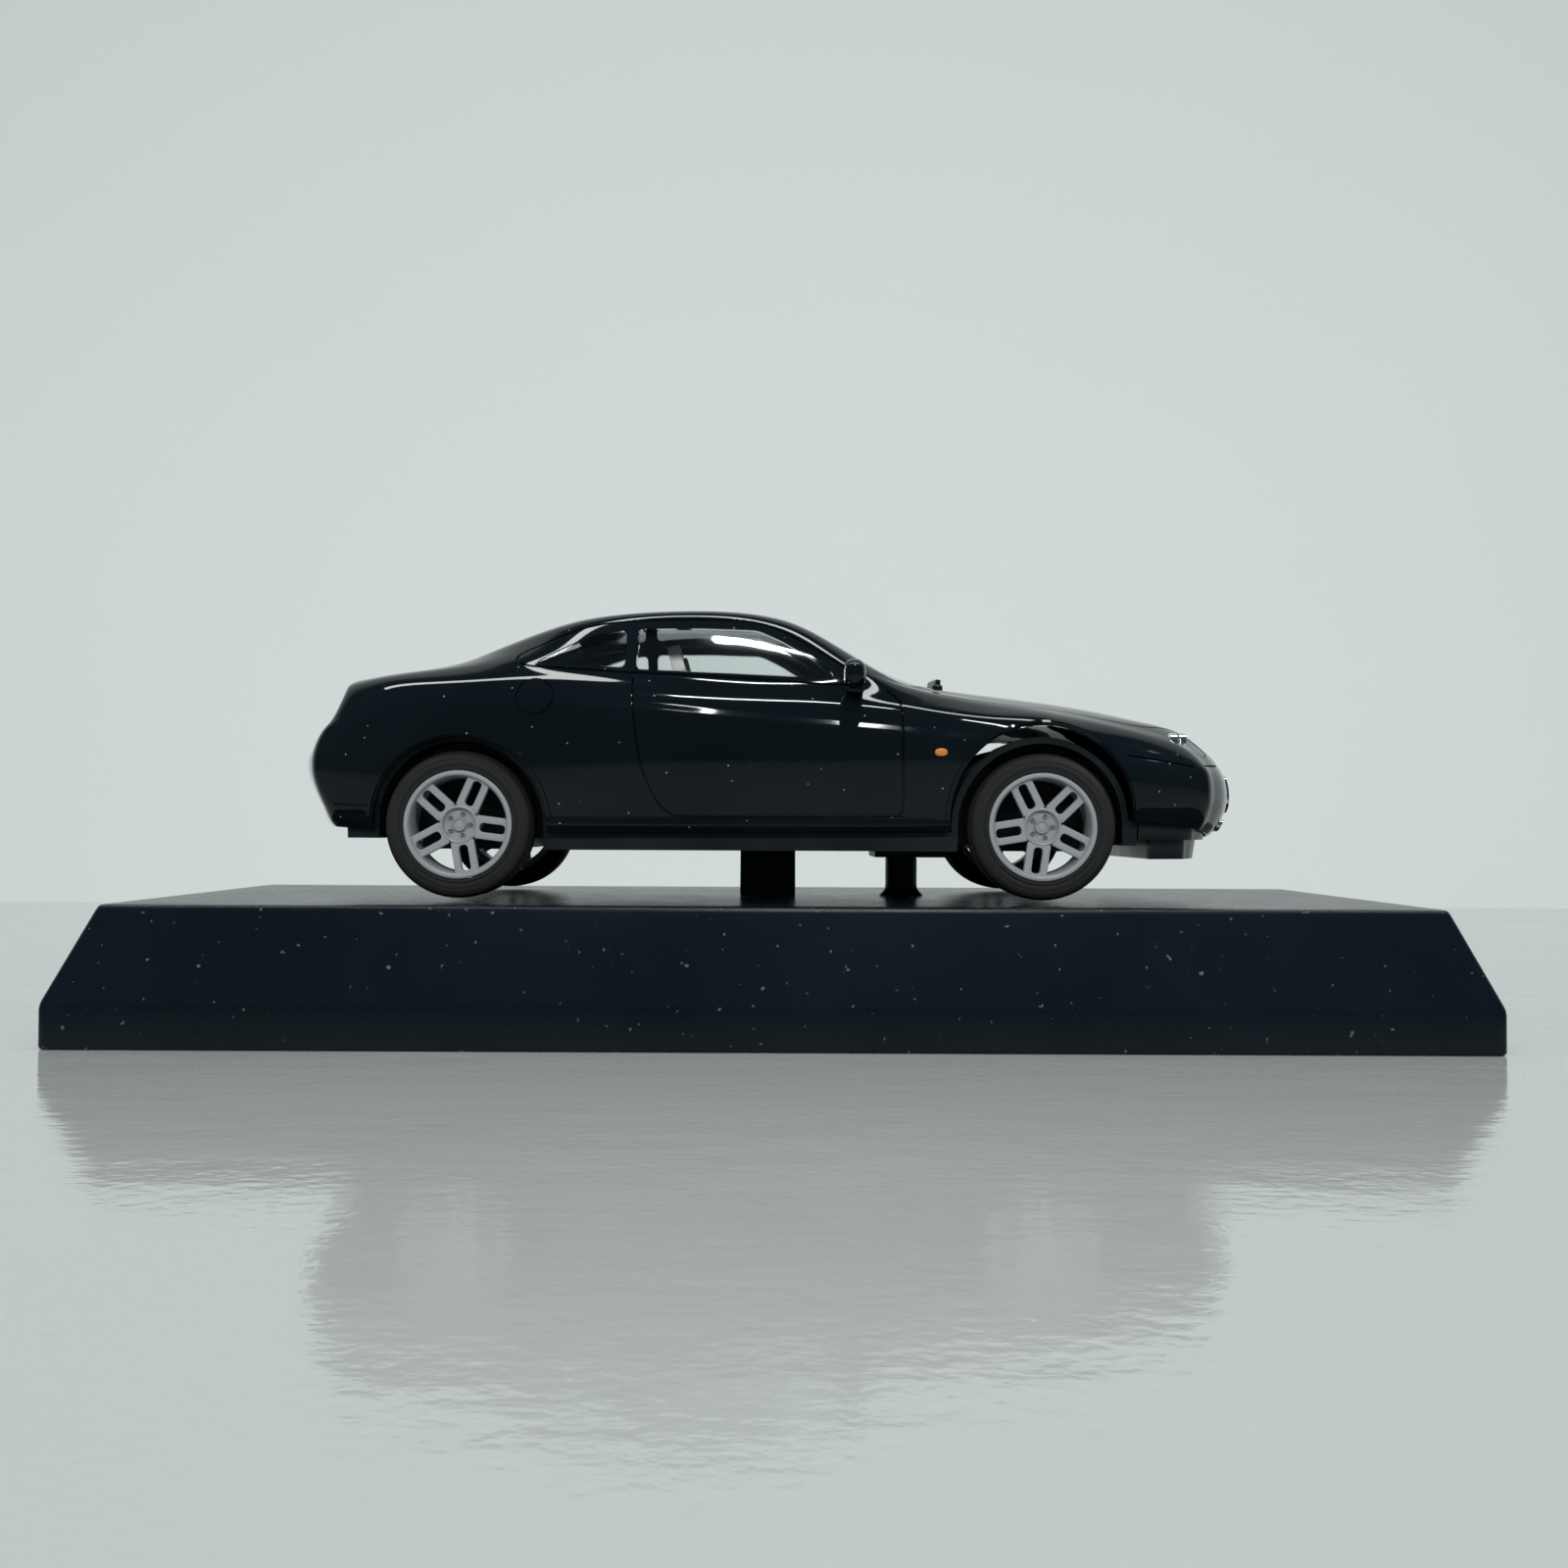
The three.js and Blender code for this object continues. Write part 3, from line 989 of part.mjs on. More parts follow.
const axleEnd = TRACK / 2 + TYRE_WIDTH / 2 - FACE_DEPTH - FIT - HUB_LENGTH + AXLE_SEAT - FIT;
for (const { end, x, spoke } of AXLES) {
  const set = new THREE.Group();
  set.position.set(x, 0, TYRE_RADIUS);
  car.add(set);
  addPiece(set, end + "_axle", barY(0, 0, -axleEnd, axleEnd, AXLE_RADIUS, 20), STEEL);
  for (const { side, hand } of SIDES) {
    const rim = addPiece(set, "rim_" + end + "_" + hand, rimSolid(), RIM_SILVER);
    const tyre = addPiece(set, "tyre_" + end + "_" + hand, tyreSolid(), TYRE_RUBBER);
    for (const mesh of [rim, tyre]) {
      mesh.rotation.set(-side * (Math.PI / 2), 0, 0);
      mesh.position.y = (side * TRACK) / 2;
    }
    rim.rotateZ(THREE.MathUtils.degToRad(-side * spoke));
  }
}

export default object;
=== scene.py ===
"""A gloss black 1:64 diecast coupe, screwed on two posts to its moulded display plinth.

Metres, +Z up. The car faces +X and its left side is +Y. Shapes on the car are drawn in millimetres,
with x from the middle of the wheelbase and z from the plane under the tyres, and are put in place
by CarPlace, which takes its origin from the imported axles.
"""
import logging
import math
from dataclasses import dataclass, field
from enum import Enum
from typing import Iterable, Sequence

import bmesh
import bpy
import numpy as np
from mathutils import Matrix, Vector
from mathutils.bvhtree import BVHTree


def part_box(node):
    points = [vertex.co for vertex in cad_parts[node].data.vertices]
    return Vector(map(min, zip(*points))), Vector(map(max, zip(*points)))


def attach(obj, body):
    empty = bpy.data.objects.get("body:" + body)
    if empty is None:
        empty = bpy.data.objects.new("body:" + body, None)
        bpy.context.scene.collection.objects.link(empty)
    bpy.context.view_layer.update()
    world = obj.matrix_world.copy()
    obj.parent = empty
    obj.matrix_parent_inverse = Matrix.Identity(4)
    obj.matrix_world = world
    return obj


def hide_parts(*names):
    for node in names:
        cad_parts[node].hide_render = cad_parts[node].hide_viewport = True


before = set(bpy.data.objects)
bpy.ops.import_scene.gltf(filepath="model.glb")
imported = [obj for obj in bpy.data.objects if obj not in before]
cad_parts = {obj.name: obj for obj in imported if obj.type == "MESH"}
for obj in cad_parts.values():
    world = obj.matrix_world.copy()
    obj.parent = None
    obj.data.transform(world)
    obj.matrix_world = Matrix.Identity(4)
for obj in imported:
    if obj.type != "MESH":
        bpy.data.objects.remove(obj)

LOG = logging.getLogger("diecast_car")
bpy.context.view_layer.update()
MM = 0.001
FAR = 60.0  # longer than any cut has to be
COAT_ROUGHNESS = 0.03
MIX_FIRST, MIX_SECOND = 6, 7  # a Mix node's colour sockets
Points = Sequence[Sequence[float]]


class Body(Enum):
    """The bodies that pieces ride on."""

    CAR = "display_car"
    FRONT = "front_wheelset"
    REAR = "rear_wheelset"


class Side(Enum):
    """A side of the car, with the sign of its Y."""

    LEFT = 1
    RIGHT = -1

    @property
    def hand(self) -> str:
        """The side's word in node names."""
        return self.name.lower()


class Projection(Enum):
    """How a line drawn on the body is thrown onto it."""

    SIDE = "side"
    TOP = "top"
    FRONT = "front"
    TAIL = "tail"


def box_middle(node: str) -> Vector:
    """The middle of a node's box."""
    low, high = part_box(node)
    return (low + high) / 2


# ---------------------------------------------------------------- place
class CarPlace:
    """Turns millimetres of the car's own drawing into metres of the frame.

    Attributes:
        tyre_radius: Radius of the tyres, in millimetres.
        wheelbase: Distance between the axles.
        track: Distance between the middles of the left and right tyres.
        origin: The drawing's origin, in metres of the frame.
    """

    def __init__(self) -> None:
        """Reads the axles and tyres."""
        rear, front = box_middle("rear_axle"), box_middle("front_axle")
        low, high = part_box("tyre_rear_left")
        self.tyre_radius = (high.z - low.z) / 2 / MM
        self.wheelbase = (front.x - rear.x) / MM
        self.track = 2 * box_middle("tyre_rear_left").y / MM
        self.origin = np.array([(rear.x + front.x) / 2, 0.0, rear.z - self.tyre_radius * MM])

    def put(self, points: Iterable[Sequence[float]]) -> np.ndarray:
        """Points of the drawing as points of the frame."""
        return np.asarray(list(points), float) * MM + self.origin

    def back(self, point: Sequence[float]) -> np.ndarray:
        """A point of the frame as a point of the drawing."""
        return (np.asarray(point, float) - self.origin) / MM


PLACE = CarPlace()
PLINTH_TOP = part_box("plinth")[1].z


# ---------------------------------------------------------------- shader arithmetic
class Value:
    """A shader socket that takes part in arithmetic."""

    def __init__(self, shader: "Shader", socket: bpy.types.NodeSocket) -> None:
        """Keeps the socket and the shader that it belongs to."""
        self.shader = shader
        self.socket = socket

    def _math(self, operation: str, *terms: "Value | float") -> "Value":
        """One Math node on the terms."""
        return self.shader.node("ShaderNodeMath", {"operation": operation}, dict(enumerate(terms)))

    def __add__(self, other: "Value | float") -> "Value":
        """The sum."""
        return self._math("ADD", self, other)

    def __sub__(self, other: "Value | float") -> "Value":
        """The difference."""
        return self._math("SUBTRACT", self, other)

    def __rsub__(self, other: float) -> "Value":
        """The difference, from a number."""
        return self._math("SUBTRACT", other, self)

    def __mul__(self, other: "Value | float") -> "Value":
        """The product."""
        return self._math("MULTIPLY", self, other)

    def __gt__(self, other: float) -> "Value":
        """One where the value is greater, and nought elsewhere."""
        return self._math("GREATER_THAN", self, other)

    def __pow__(self, other: float) -> "Value":
        """The power."""
        return self._math("POWER", self, other)

    __radd__ = __add__
    __rmul__ = __mul__


class Shader:
    """A material's node tree, written one call to a node."""

    def __init__(self, name: str) -> None:
        """Makes an empty material.

        Args:
            name: The material's name.
        """
        self.material = bpy.data.materials.new(name)
        self.material.use_nodes = True
        self.tree = self.material.node_tree
        self.tree.nodes.clear()

    def node(self, kind: str, settings: dict | None = None, inputs: dict | None = None,
             output: int | str = 0) -> Value:
        """Adds a node.

        Args:
            kind: The node's type.
            settings: Attributes that are set first; "stops" are a colour ramp's.
            inputs: Sockets by name or index, each a Value to link or a constant.
            output: Which of its outputs is returned.

        Returns:
            The output as a Value.
        """
        made = self.tree.nodes.new(kind)
        for key, value in (settings or {}).items():
            if key == "stops":
                self._stops(made.color_ramp, value)
            else:
                setattr(made, key, value)
        for key, value in (inputs or {}).items():
            if isinstance(value, Value):
                self.tree.links.new(value.socket, made.inputs[key])
            else:
                made.inputs[key].default_value = value
        return Value(self, made.outputs[output])

    @staticmethod
    def _stops(ramp: bpy.types.ColorRamp, stops: Sequence[tuple[float, float]]) -> None:
        """Sets a colour ramp's stops.

        Args:
            ramp: The ramp.
            stops: Each stop's place and grey.
        """
        while len(ramp.elements) < len(stops):
            ramp.elements.new(1.0)
        for element, (position, grey) in zip(ramp.elements, stops):
            element.position = position
            element.color = (grey, grey, grey, 1)

    def place(self) -> Value:
        """Object coordinates."""
        return self.node("ShaderNodeTexCoord", output="Object")

    def noise(self, scale: float, detail: float = 2.0,
              stretch: Sequence[float] = (1, 1, 1)) -> Value:
        """Soft noise.

        Args:
            scale: Features to the metre.
            detail: Octaves.
            stretch: Scale along each axis, for grain that runs one way.

        Returns:
            The noise, about 0.5 on average.
        """
        at = self.node("ShaderNodeMapping", {}, {"Vector": self.place(), "Scale": stretch})
        return self.node("ShaderNodeTexNoise", {}, {"Vector": at, "Scale": scale, "Detail": detail})

    def cells(self, scale: float) -> Value:
        """Distance to the nearest of scattered points."""
        return self.node("ShaderNodeTexVoronoi", {}, {"Vector": self.place(), "Scale": scale})

    def ramp(self, value: Value, low: float, high: float) -> Value:
        """Spreads the part of a value between low and high over 0 to 1."""
        return self.node("ShaderNodeMapRange", {},
                         {"Value": value, "From Min": low, "From Max": high})

    def mix(self, share: Value, first: Sequence[float] | Value,
            second: Sequence[float]) -> Value:
        """One colour turning into another."""
        colours = [c if isinstance(c, Value) else (*c, 1) for c in (first, second)]
        return self.node("ShaderNodeMix", {"data_type": "RGBA"},
                         {0: share, MIX_FIRST: colours[0], MIX_SECOND: colours[1]}, output=2)

    def bump(self, height: Value, distance: float, strength: float = 1.0) -> Value:
        """A height in the surface, `distance` metres deep."""
        return self.node("ShaderNodeBump", {}, {"Height": height, "Distance": distance,
                                                "Strength": strength})

    def end(self, surface: Value) -> bpy.types.Material:
        """Gives the surface to the material's output.

        Args:
            surface: The last shader node's output.

        Returns:
            The finished material.
        """
        output = self.tree.nodes.new("ShaderNodeOutputMaterial")
        self.tree.links.new(surface.socket, output.inputs["Surface"])
        return self.material


# ---------------------------------------------------------------- finishes
@dataclass(frozen=True)
class Finish:
    """A moulded or cast surface: two shades, a swing in its gloss, and a fine grain.

    Attributes:
        name: The material's name.
        slot: The record's material slot; not used.
        colour: Its usual shade.
        shade: The shade that it drifts to.
        roughness: Its mean roughness, and the swing on either side of it.
        metallic: How metallic it is.
        coat: The weight of its clear coat.
        patches: Drifts of shade to the metre.
        grain: Grains to the metre.
        grain_depth: Depth of the grain in metres.
        stretch: How the grain is drawn out along X, Y and Z.
        shine: How much it mirrors when seen square on; 0.5 is a plain plastic.
    """

    name: str
    slot: str
    colour: tuple[float, float, float]
    shade: tuple[float, float, float]
    roughness: tuple[float, float] = (0.5, 0.08)
    metallic: float = 0.0
    coat: float = 0.0
    patches: float = 150.0
    grain: float = 4000.0
    grain_depth: float = 4e-6
    stretch: tuple[float, float, float] = (1, 1, 1)
    shine: float = 0.5

    def drift(self, shader: Shader) -> Value:
        """The slow drift between the two shades, from 0 to 1."""
        return shader.ramp(shader.noise(self.patches, 3), 0.35, 0.65)

    def colours(self, shader: Shader) -> Value:
        """The colour over the surface."""
        return shader.mix(self.drift(shader), self.colour, self.shade)

    def height(self, shader: Shader) -> Value:
        """The grain's height, from 0 to 1."""
        return shader.noise(self.grain, 3, self.stretch)

    def gloss(self, shader: Shader) -> Value:
        """The roughness over the surface."""
        mean, swing = self.roughness
        return shader.noise(self.patches * 3, 4) * (2 * swing) + (mean - swing)

    def make(self) -> bpy.types.Material:
        """Builds the material the first time it is asked for.

        Returns:
            The material.
        """
        if self.name in bpy.data.materials:
            return bpy.data.materials[self.name]
        shader = Shader(self.name)
        surface = shader.node("ShaderNodeBsdfPrincipled", {}, {
            "Base Color": self.colours(shader),
            "Roughness": self.gloss(shader),
            "Metallic": self.metallic,
            "Coat Weight": self.coat,
            "Coat Roughness": COAT_ROUGHNESS,
            "Specular IOR Level": self.shine,
            "Normal": shader.bump(self.height(shader), self.grain_depth),
        })
        return shader.end(surface)


@dataclass(frozen=True)
class SprayedPaint(Finish):
    """Gloss paint with a little dust in it.

    Attributes:
        dust: Radius of a speck, as a share of the distance between specks.
        dust_spread: Specks to the metre.
        dust_colour: A speck's colour.
    """

    dust: float = 0.055
    dust_spread: float = 900
    dust_colour: tuple[float, float, float] = (0.16, 0.17, 0.17)

    def colours(self, shader: Shader) -> Value:
        """Paint, with a rare pale speck."""
        speck = 1 - (shader.cells(self.dust_spread) > self.dust)
        return shader.mix(speck, super().colours(shader), self.dust_colour)


@dataclass(frozen=True)
class SparkTexture(Finish):
    """Plastic from a spark-eroded mould: close, round pimples that catch the light.

    Attributes:
        dust: The weight of the dust that lies on it.
        dust_colour: The dust's colour.
    """

    dust: float = 0.35
    dust_colour: tuple[float, float, float] = (0.2, 0.22, 0.22)

    def height(self, shader: Shader) -> Value:
        """Pimples over soft unevenness."""
        return (1 - shader.cells(self.grain)) + shader.noise(self.grain / 3, 2) * 0.8

    def colours(self, shader: Shader) -> Value:
        """Its two drifting shades, with pale dust here and there."""
        dust = shader.ramp(shader.noise(self.grain / 2.5, 1), 0.74, 0.8) * self.dust
        return shader.mix(dust, super().colours(shader), self.dust_colour)


@dataclass(frozen=True)
class ClearMoulding(Finish):
    """Clear plastic seen through: it mirrors more the flatter it is seen.

    Attributes:
        tint: The colour of what is seen through it.
        mirror: How much it mirrors when seen square on.
        edge_on: How much it mirrors when seen edge on.
        haze: How much more it mirrors where it is dull.
        falloff: How late the mirroring sets in.
    """

    tint: tuple[float, float, float] = (0.98, 0.99, 0.99)
    mirror: float = 0.045
    edge_on: float = 0.9
    haze: float = 0.015
    falloff: float = 5

    def make(self) -> bpy.types.Material:
        """Builds the material the first time it is asked for.

        Returns:
            The material.
        """
        if self.name in bpy.data.materials:
            return bpy.data.materials[self.name]
        shader = Shader(self.name)
        bump = shader.bump(self.height(shader), self.grain_depth)
        shine = shader.node("ShaderNodeBsdfPrincipled", {}, {
            "Base Color": self.colours(shader),
            "Roughness": self.gloss(shader),
            "Metallic": 1.0,
            "Normal": bump,
        })
        through = shader.node("ShaderNodeBsdfTransparent", {}, {"Color": (*self.tint, 1)})
        slant = shader.node("ShaderNodeLayerWeight", {}, {"Blend": 0.5}, "Facing")
        haze = shader.noise(self.patches, 4) * self.haze
        share = slant ** self.falloff * (self.edge_on - self.mirror) + self.mirror + haze
        surface = shader.node("ShaderNodeMixShader", {}, {0: share, 1: through, 2: shine})
        return shader.end(surface)


PAINT = SprayedPaint("gloss_black_paint", "black_paint", (0.0022, 0.004, 0.0055),
                     (0.0035, 0.006, 0.008), (0.045, 0.02), 0.0, 0.0, 60, 700, 1.2e-6,
                     shine=0.24)
PLINTH_PLASTIC = SparkTexture("textured_black_moulding", "plinth_plastic",
                              (0.002, 0.0048, 0.007), (0.003, 0.0062, 0.0092), (0.27, 0.05),
                              patches=90, grain=5200, grain_depth=1.2e-6, shine=0.2)
POST_PLASTIC = Finish("post_moulding", "plinth_plastic", (0.004, 0.007, 0.009),
                      (0.008, 0.012, 0.015), (0.35, 0.08), grain=3000, grain_depth=3e-6, shine=0.2)
CHASSIS_PLASTIC = Finish("chassis_moulding", "chassis_plastic", (0.006, 0.009, 0.01),
                         (0.011, 0.015, 0.017), (0.42, 0.1), grain=3500, grain_depth=4e-6,
                         shine=0.15)
GLASS = ClearMoulding("window_moulding", "clear_moulding", (0.75, 0.8, 0.82), (0.7, 0.76, 0.78),
                      (0.05, 0.02), grain=260, grain_depth=2e-6)
LENS = ClearMoulding("lamp_lens", "clear_moulding", (0.8, 0.85, 0.88), (0.75, 0.8, 0.84),
                     (0.06, 0.02), grain=300, grain_depth=2e-6, tint=(0.9, 0.95, 0.98))
CABIN_DARK = Finish("cabin_charcoal", "cabin_dark", (0.012, 0.014, 0.016), (0.022, 0.025, 0.027),
                    (0.6, 0.08), grain=5000, grain_depth=9e-6)
CABIN_LIGHT = Finish("cabin_stone", "cabin_light", (0.78, 0.77, 0.72), (0.66, 0.65, 0.6),
                     (0.58, 0.08), grain=5200, grain_depth=9e-6)
PLATED = Finish("plated_trim", "plated_trim", (0.72, 0.74, 0.76), (0.55, 0.57, 0.6), (0.14, 0.05),
                1.0, grain=900, grain_depth=1.5e-6)
RIM_SILVER = Finish("rim_silver", "rim_silver", (0.5, 0.51, 0.53), (0.4, 0.41, 0.43), (0.38, 0.07),
                    0.55, 0.0, patches=500, grain=6500, grain_depth=3e-6)
RUBBER = Finish("tyre_rubber", "tyre_rubber", (0.012, 0.014, 0.0155), (0.022, 0.025, 0.027),
                (0.62, 0.1), patches=700, grain=5200, grain_depth=7e-6)
ZINC = Finish("zinc_steel", "zinc_screw", (0.42, 0.43, 0.44), (0.3, 0.31, 0.33), (0.32, 0.08), 0.9,
              grain=3000, grain_depth=3e-6)
AMBER = Finish("amber_lens", "amber_lens", (0.52, 0.2, 0.06), (0.42, 0.14, 0.04), (0.18, 0.05),
               coat=0.6, grain=2500, grain_depth=5e-6)
RED_LENS = Finish("red_lens", "red_lens", (0.3, 0.008, 0.01), (0.2, 0.004, 0.006), (0.14, 0.04),
                  coat=0.8, patches=400, grain=2200, grain_depth=8e-6)
SATIN_BLACK = Finish("satin_black_trim", "chassis_plastic", (0.005, 0.007, 0.008),
                     (0.01, 0.012, 0.014), (0.3, 0.08), grain=3000, grain_depth=3e-6, shine=0.25)


# ---------------------------------------------------------------- meshes
@dataclass
class Solid:
    """A shape in millimetres of the car's drawing.

    Attributes:
        points: One row of x, y and z for each point.
        faces: Each face's points, by row.
    """

    points: np.ndarray
    faces: list[list[int]]

    def join(self, *others: "Solid") -> "Solid":
        """Puts this solid in one mesh with others.

        Args:
            others: The other solids.

        Returns:
            All of them as one.
        """
        points, faces = [self.points], list(self.faces)
        count = len(self.points)
        for other in others:
            faces += [[i + count for i in face] for face in other.faces]
            points.append(other.points)
            count += len(other.points)
        return Solid(np.vstack(points), faces)

    def moved(self, matrix: Matrix) -> "Solid":
        """This solid under a matrix."""
        m = np.array(matrix)
        return Solid(self.points @ m[:3, :3].T + m[:3, 3], self.faces)

    def shifted(self, x: float, y: float, z: float) -> "Solid":
        """This solid moved along."""
        return Solid(self.points + np.array([x, y, z]), self.faces)

    def mirrored(self) -> "Solid":
        """This solid on the car's other side."""
        return Solid(self.points * np.array([1, -1, 1]), [face[::-1] for face in self.faces])


def loft(rings: Sequence[np.ndarray], round_trip: bool = False) -> Solid:
    """Joins closed rings of equally many points.

    Args:
        rings: The rings, in order.
        round_trip: True if the last ring meets the first, instead of both being capped.

    Returns:
        The closed solid.
    """
    count, total = len(rings[0]), len(rings)
    faces: list[list[int]] = []
    for r in range(total if round_trip else total - 1):
        s = (r + 1) % total
        for i in range(count):
            j = (i + 1) % count
            faces.append([r * count + i, r * count + j, s * count + j, s * count + i])
    if not round_trip:
        faces.append(list(range(count))[::-1])
        faces.append([(total - 1) * count + i for i in range(count)])
    return Solid(np.vstack(rings), faces)


def prism(outline: Points, low: float, high: float, axis: int) -> Solid:
    """An outline pushed along an axis.

    Args:
        outline: Points in the other two axes, in their usual order.
        low: Where it starts.
        high: Where it ends.
        axis: 0, 1 or 2 for X, Y or Z.

    Returns:
        The closed solid.
    """
    flat = np.asarray(outline, float)
    return loft([np.insert(flat, axis, level, axis=1) for level in (low, high)])


def block(low: Sequence[float], high: Sequence[float]) -> Solid:
    """A box between two corners."""
    (x0, y0, z0), (x1, y1, z1) = low, high
    return prism([(x0, y0), (x1, y0), (x1, y1), (x0, y1)], z0, z1, 2)


def turned(profile: Points, centre: Sequence[float], axis: int, sides: int = 64) -> Solid:
    """A ring or disc turned round an axis through a point.

    Args:
        profile: A closed outline of (radius, height); it may start and end on the axis.
        centre: A point of the axis.
        axis: 0, 1 or 2 for X, Y or Z.
        sides: Steps in a turn.

    Returns:
        The closed solid.
    """
    rings = []
    for step in range(sides):
        angle = 2 * math.pi * step / sides
        ring = [(r * math.cos(angle), r * math.sin(angle), h) for r, h in profile]
        rings.append(np.roll(np.array(ring), axis + 1, axis=1) + np.array(centre, float))
    return loft(rings, True)


def rounded(outline: Points, radius: float | Sequence[float], steps: int = 5) -> np.ndarray:
    """A closed 2-D outline with its corners rounded.

    Args:
        outline: The corners.
        radius: How far along each edge a corner's curve starts, one for all or one each.
        steps: Points in each corner's curve.

    Returns:
        The rounded outline's points.
    """
    corners = np.asarray(outline, float)
    count = len(corners)
    radii = [radius] * count if isinstance(radius, (int, float)) else radius
    made = []
    for i, corner in enumerate(corners):
        before, after = corners[i - 1] - corner, corners[(i + 1) % count] - corner
        reach = [min(radii[i] / np.linalg.norm(v), 0.49) for v in (before, after)]
        start, end = corner + before * reach[0], corner + after * reach[1]
        for t in np.linspace(0, 1, steps):
            made.append((1 - t) ** 2 * start + 2 * t * (1 - t) * corner + t * t * end)
    return np.array(made)


def ellipse(centre: Sequence[float], halves: Sequence[float], sides: int = 48) -> np.ndarray:
    """Points round an ellipse."""
    angles = np.linspace(0, 2 * math.pi, sides, endpoint=False)
    return np.stack([centre[0] + halves[0] * np.cos(angles),
                     centre[1] + halves[1] * np.sin(angles)], 1)


def cubic(points: Points, spacing: float) -> np.ndarray:
    """Draws a smooth line through points.

    Args:
        points: What it goes through.
        spacing: About how far apart its own points are.

    Returns:
        The line's points.
    """
    given = np.asarray(points, float)
    padded = np.vstack([2 * given[0] - given[1], given, 2 * given[-1] - given[-2]])
    made = [given[0]]
    for i in range(1, len(given)):
        a, b, c, d = padded[i - 1:i + 3]
        count = max(1, round(float(np.linalg.norm(c - b)) / spacing))
        for t in np.linspace(0, 1, count + 1)[1:]:
            made.append(0.5 * (2 * b + (c - a) * t + (2 * a - 5 * b + 4 * c - d) * t * t
                               + (3 * b - a - 3 * c + d) * t ** 3))
    return np.array(made)


def make_object(name: str, solid: Solid, placed: bool = False) -> bpy.types.Object:
    """Makes an object whose faces point out.

    Args:
        name: The object's name.
        solid: Its shape, in the car's drawing.
        placed: True if the points are already metres of the frame.

    Returns:
        The object, at the origin.
    """
    mesh = bpy.data.meshes.new(name)
    points = solid.points if placed else PLACE.put(solid.points)
    mesh.from_pydata([tuple(p) for p in points], [], solid.faces)
    form = bmesh.new()
    form.from_mesh(mesh)
    bmesh.ops.remove_doubles(form, verts=form.verts, dist=1e-8)
    bmesh.ops.recalc_face_normals(form, faces=form.faces)
    form.to_mesh(mesh)
    form.free()
    made = bpy.data.objects.new(name, mesh)
    bpy.context.scene.collection.objects.link(made)
    return made


def make_loose(name: str, solid: Solid) -> bpy.types.Object:
    """Makes an object of a solid drawn in millimetres from the frame's own origin."""
    return make_object(name, Solid(solid.points * MM, solid.faces), True)


def settle(piece: bpy.types.Object) -> bpy.types.Object:
    """Turns a piece and its modifiers into a plain mesh.

    Args:
        piece: The piece.

    Returns:
        The same piece.
    """
    bpy.context.view_layer.update()
    graph = bpy.context.evaluated_depsgraph_get()
    mesh = bpy.data.meshes.new_from_object(piece.evaluated_get(graph), depsgraph=graph)
    piece.modifiers.clear()
    piece.data = mesh
    return piece


def carve(piece: bpy.types.Object, tools: list[bpy.types.Object],
          operation: str = "DIFFERENCE") -> bpy.types.Object:
    """Cuts tools out of a piece, or keeps what it shares with one, and removes the tools.

    Args:
        piece: The piece.
        tools: What it is cut with; only one when what they share is kept.
        operation: DIFFERENCE or INTERSECT.

    Returns:
        The same piece.
    """
    shelf = bpy.data.collections.new("tools")
    bpy.context.scene.collection.children.link(shelf)
    for tool in tools:
        shelf.objects.link(tool)
    cut = piece.modifiers.new("carve", "BOOLEAN")
    cut.operation = operation
    cut.solver = "EXACT"
    if operation == "INTERSECT" or len(tools) == 1:
        cut.object = tools[0]
    else:
        cut.operand_type = "COLLECTION"
        cut.collection = shelf
    settle(piece)
    for tool in tools:
        bpy.data.objects.remove(tool)
    bpy.data.collections.remove(shelf)
    return piece


def smooth(piece: bpy.types.Object, degrees: float = 32) -> bpy.types.Object:
    """Shades a piece smoothly, except at its sharp edges.

    Args:
        piece: The piece.
        degrees: The angle from which an edge is sharp.

    Returns:
        The same piece.
    """
    piece.data.shade_smooth()
    piece.data.set_sharp_from_angle(angle=math.radians(degrees))
    return piece


def soften(piece: bpy.types.Object, width: float, segments: int = 2,
           degrees: float = 30) -> bpy.types.Object:
    """Rounds a piece's edges.

    Args:
        piece: The piece.
        width: Width of the rounding, in millimetres.
        segments: Faces across it.
        degrees: The angle from which an edge is rounded.

    Returns:
        The same piece.
    """
    bevel = piece.modifiers.new("edges", "BEVEL")
    bevel.width = width * MM
    bevel.segments = segments
    bevel.limit_method = "ANGLE"
    bevel.angle_limit = math.radians(degrees)
    bevel.harden_normals = False
    return smooth(settle(piece))


def dress(piece: bpy.types.Object, finish: Finish, body: Body = Body.CAR,
          stands_for: Sequence[str] = ()) -> bpy.types.Object:
    """Gives a finished piece its material and body.

    Args:
        piece: The piece, as a plain mesh.
        finish: What it is made of; materials it already has are kept.
        body: The body that it rides on.
        stands_for: CAD nodes that it is shown instead of.

    Returns:
        The piece.
    """
    if not len(piece.data.materials) or piece.data.materials[0] is None:
        piece.data.materials.clear()
        piece.data.materials.append(finish.make())
    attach(piece, body.value)
    if stands_for:
        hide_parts(*stands_for)
    LOG.info("%s: %d faces, on %s", piece.name, len(piece.data.polygons), body.value)
    return piece


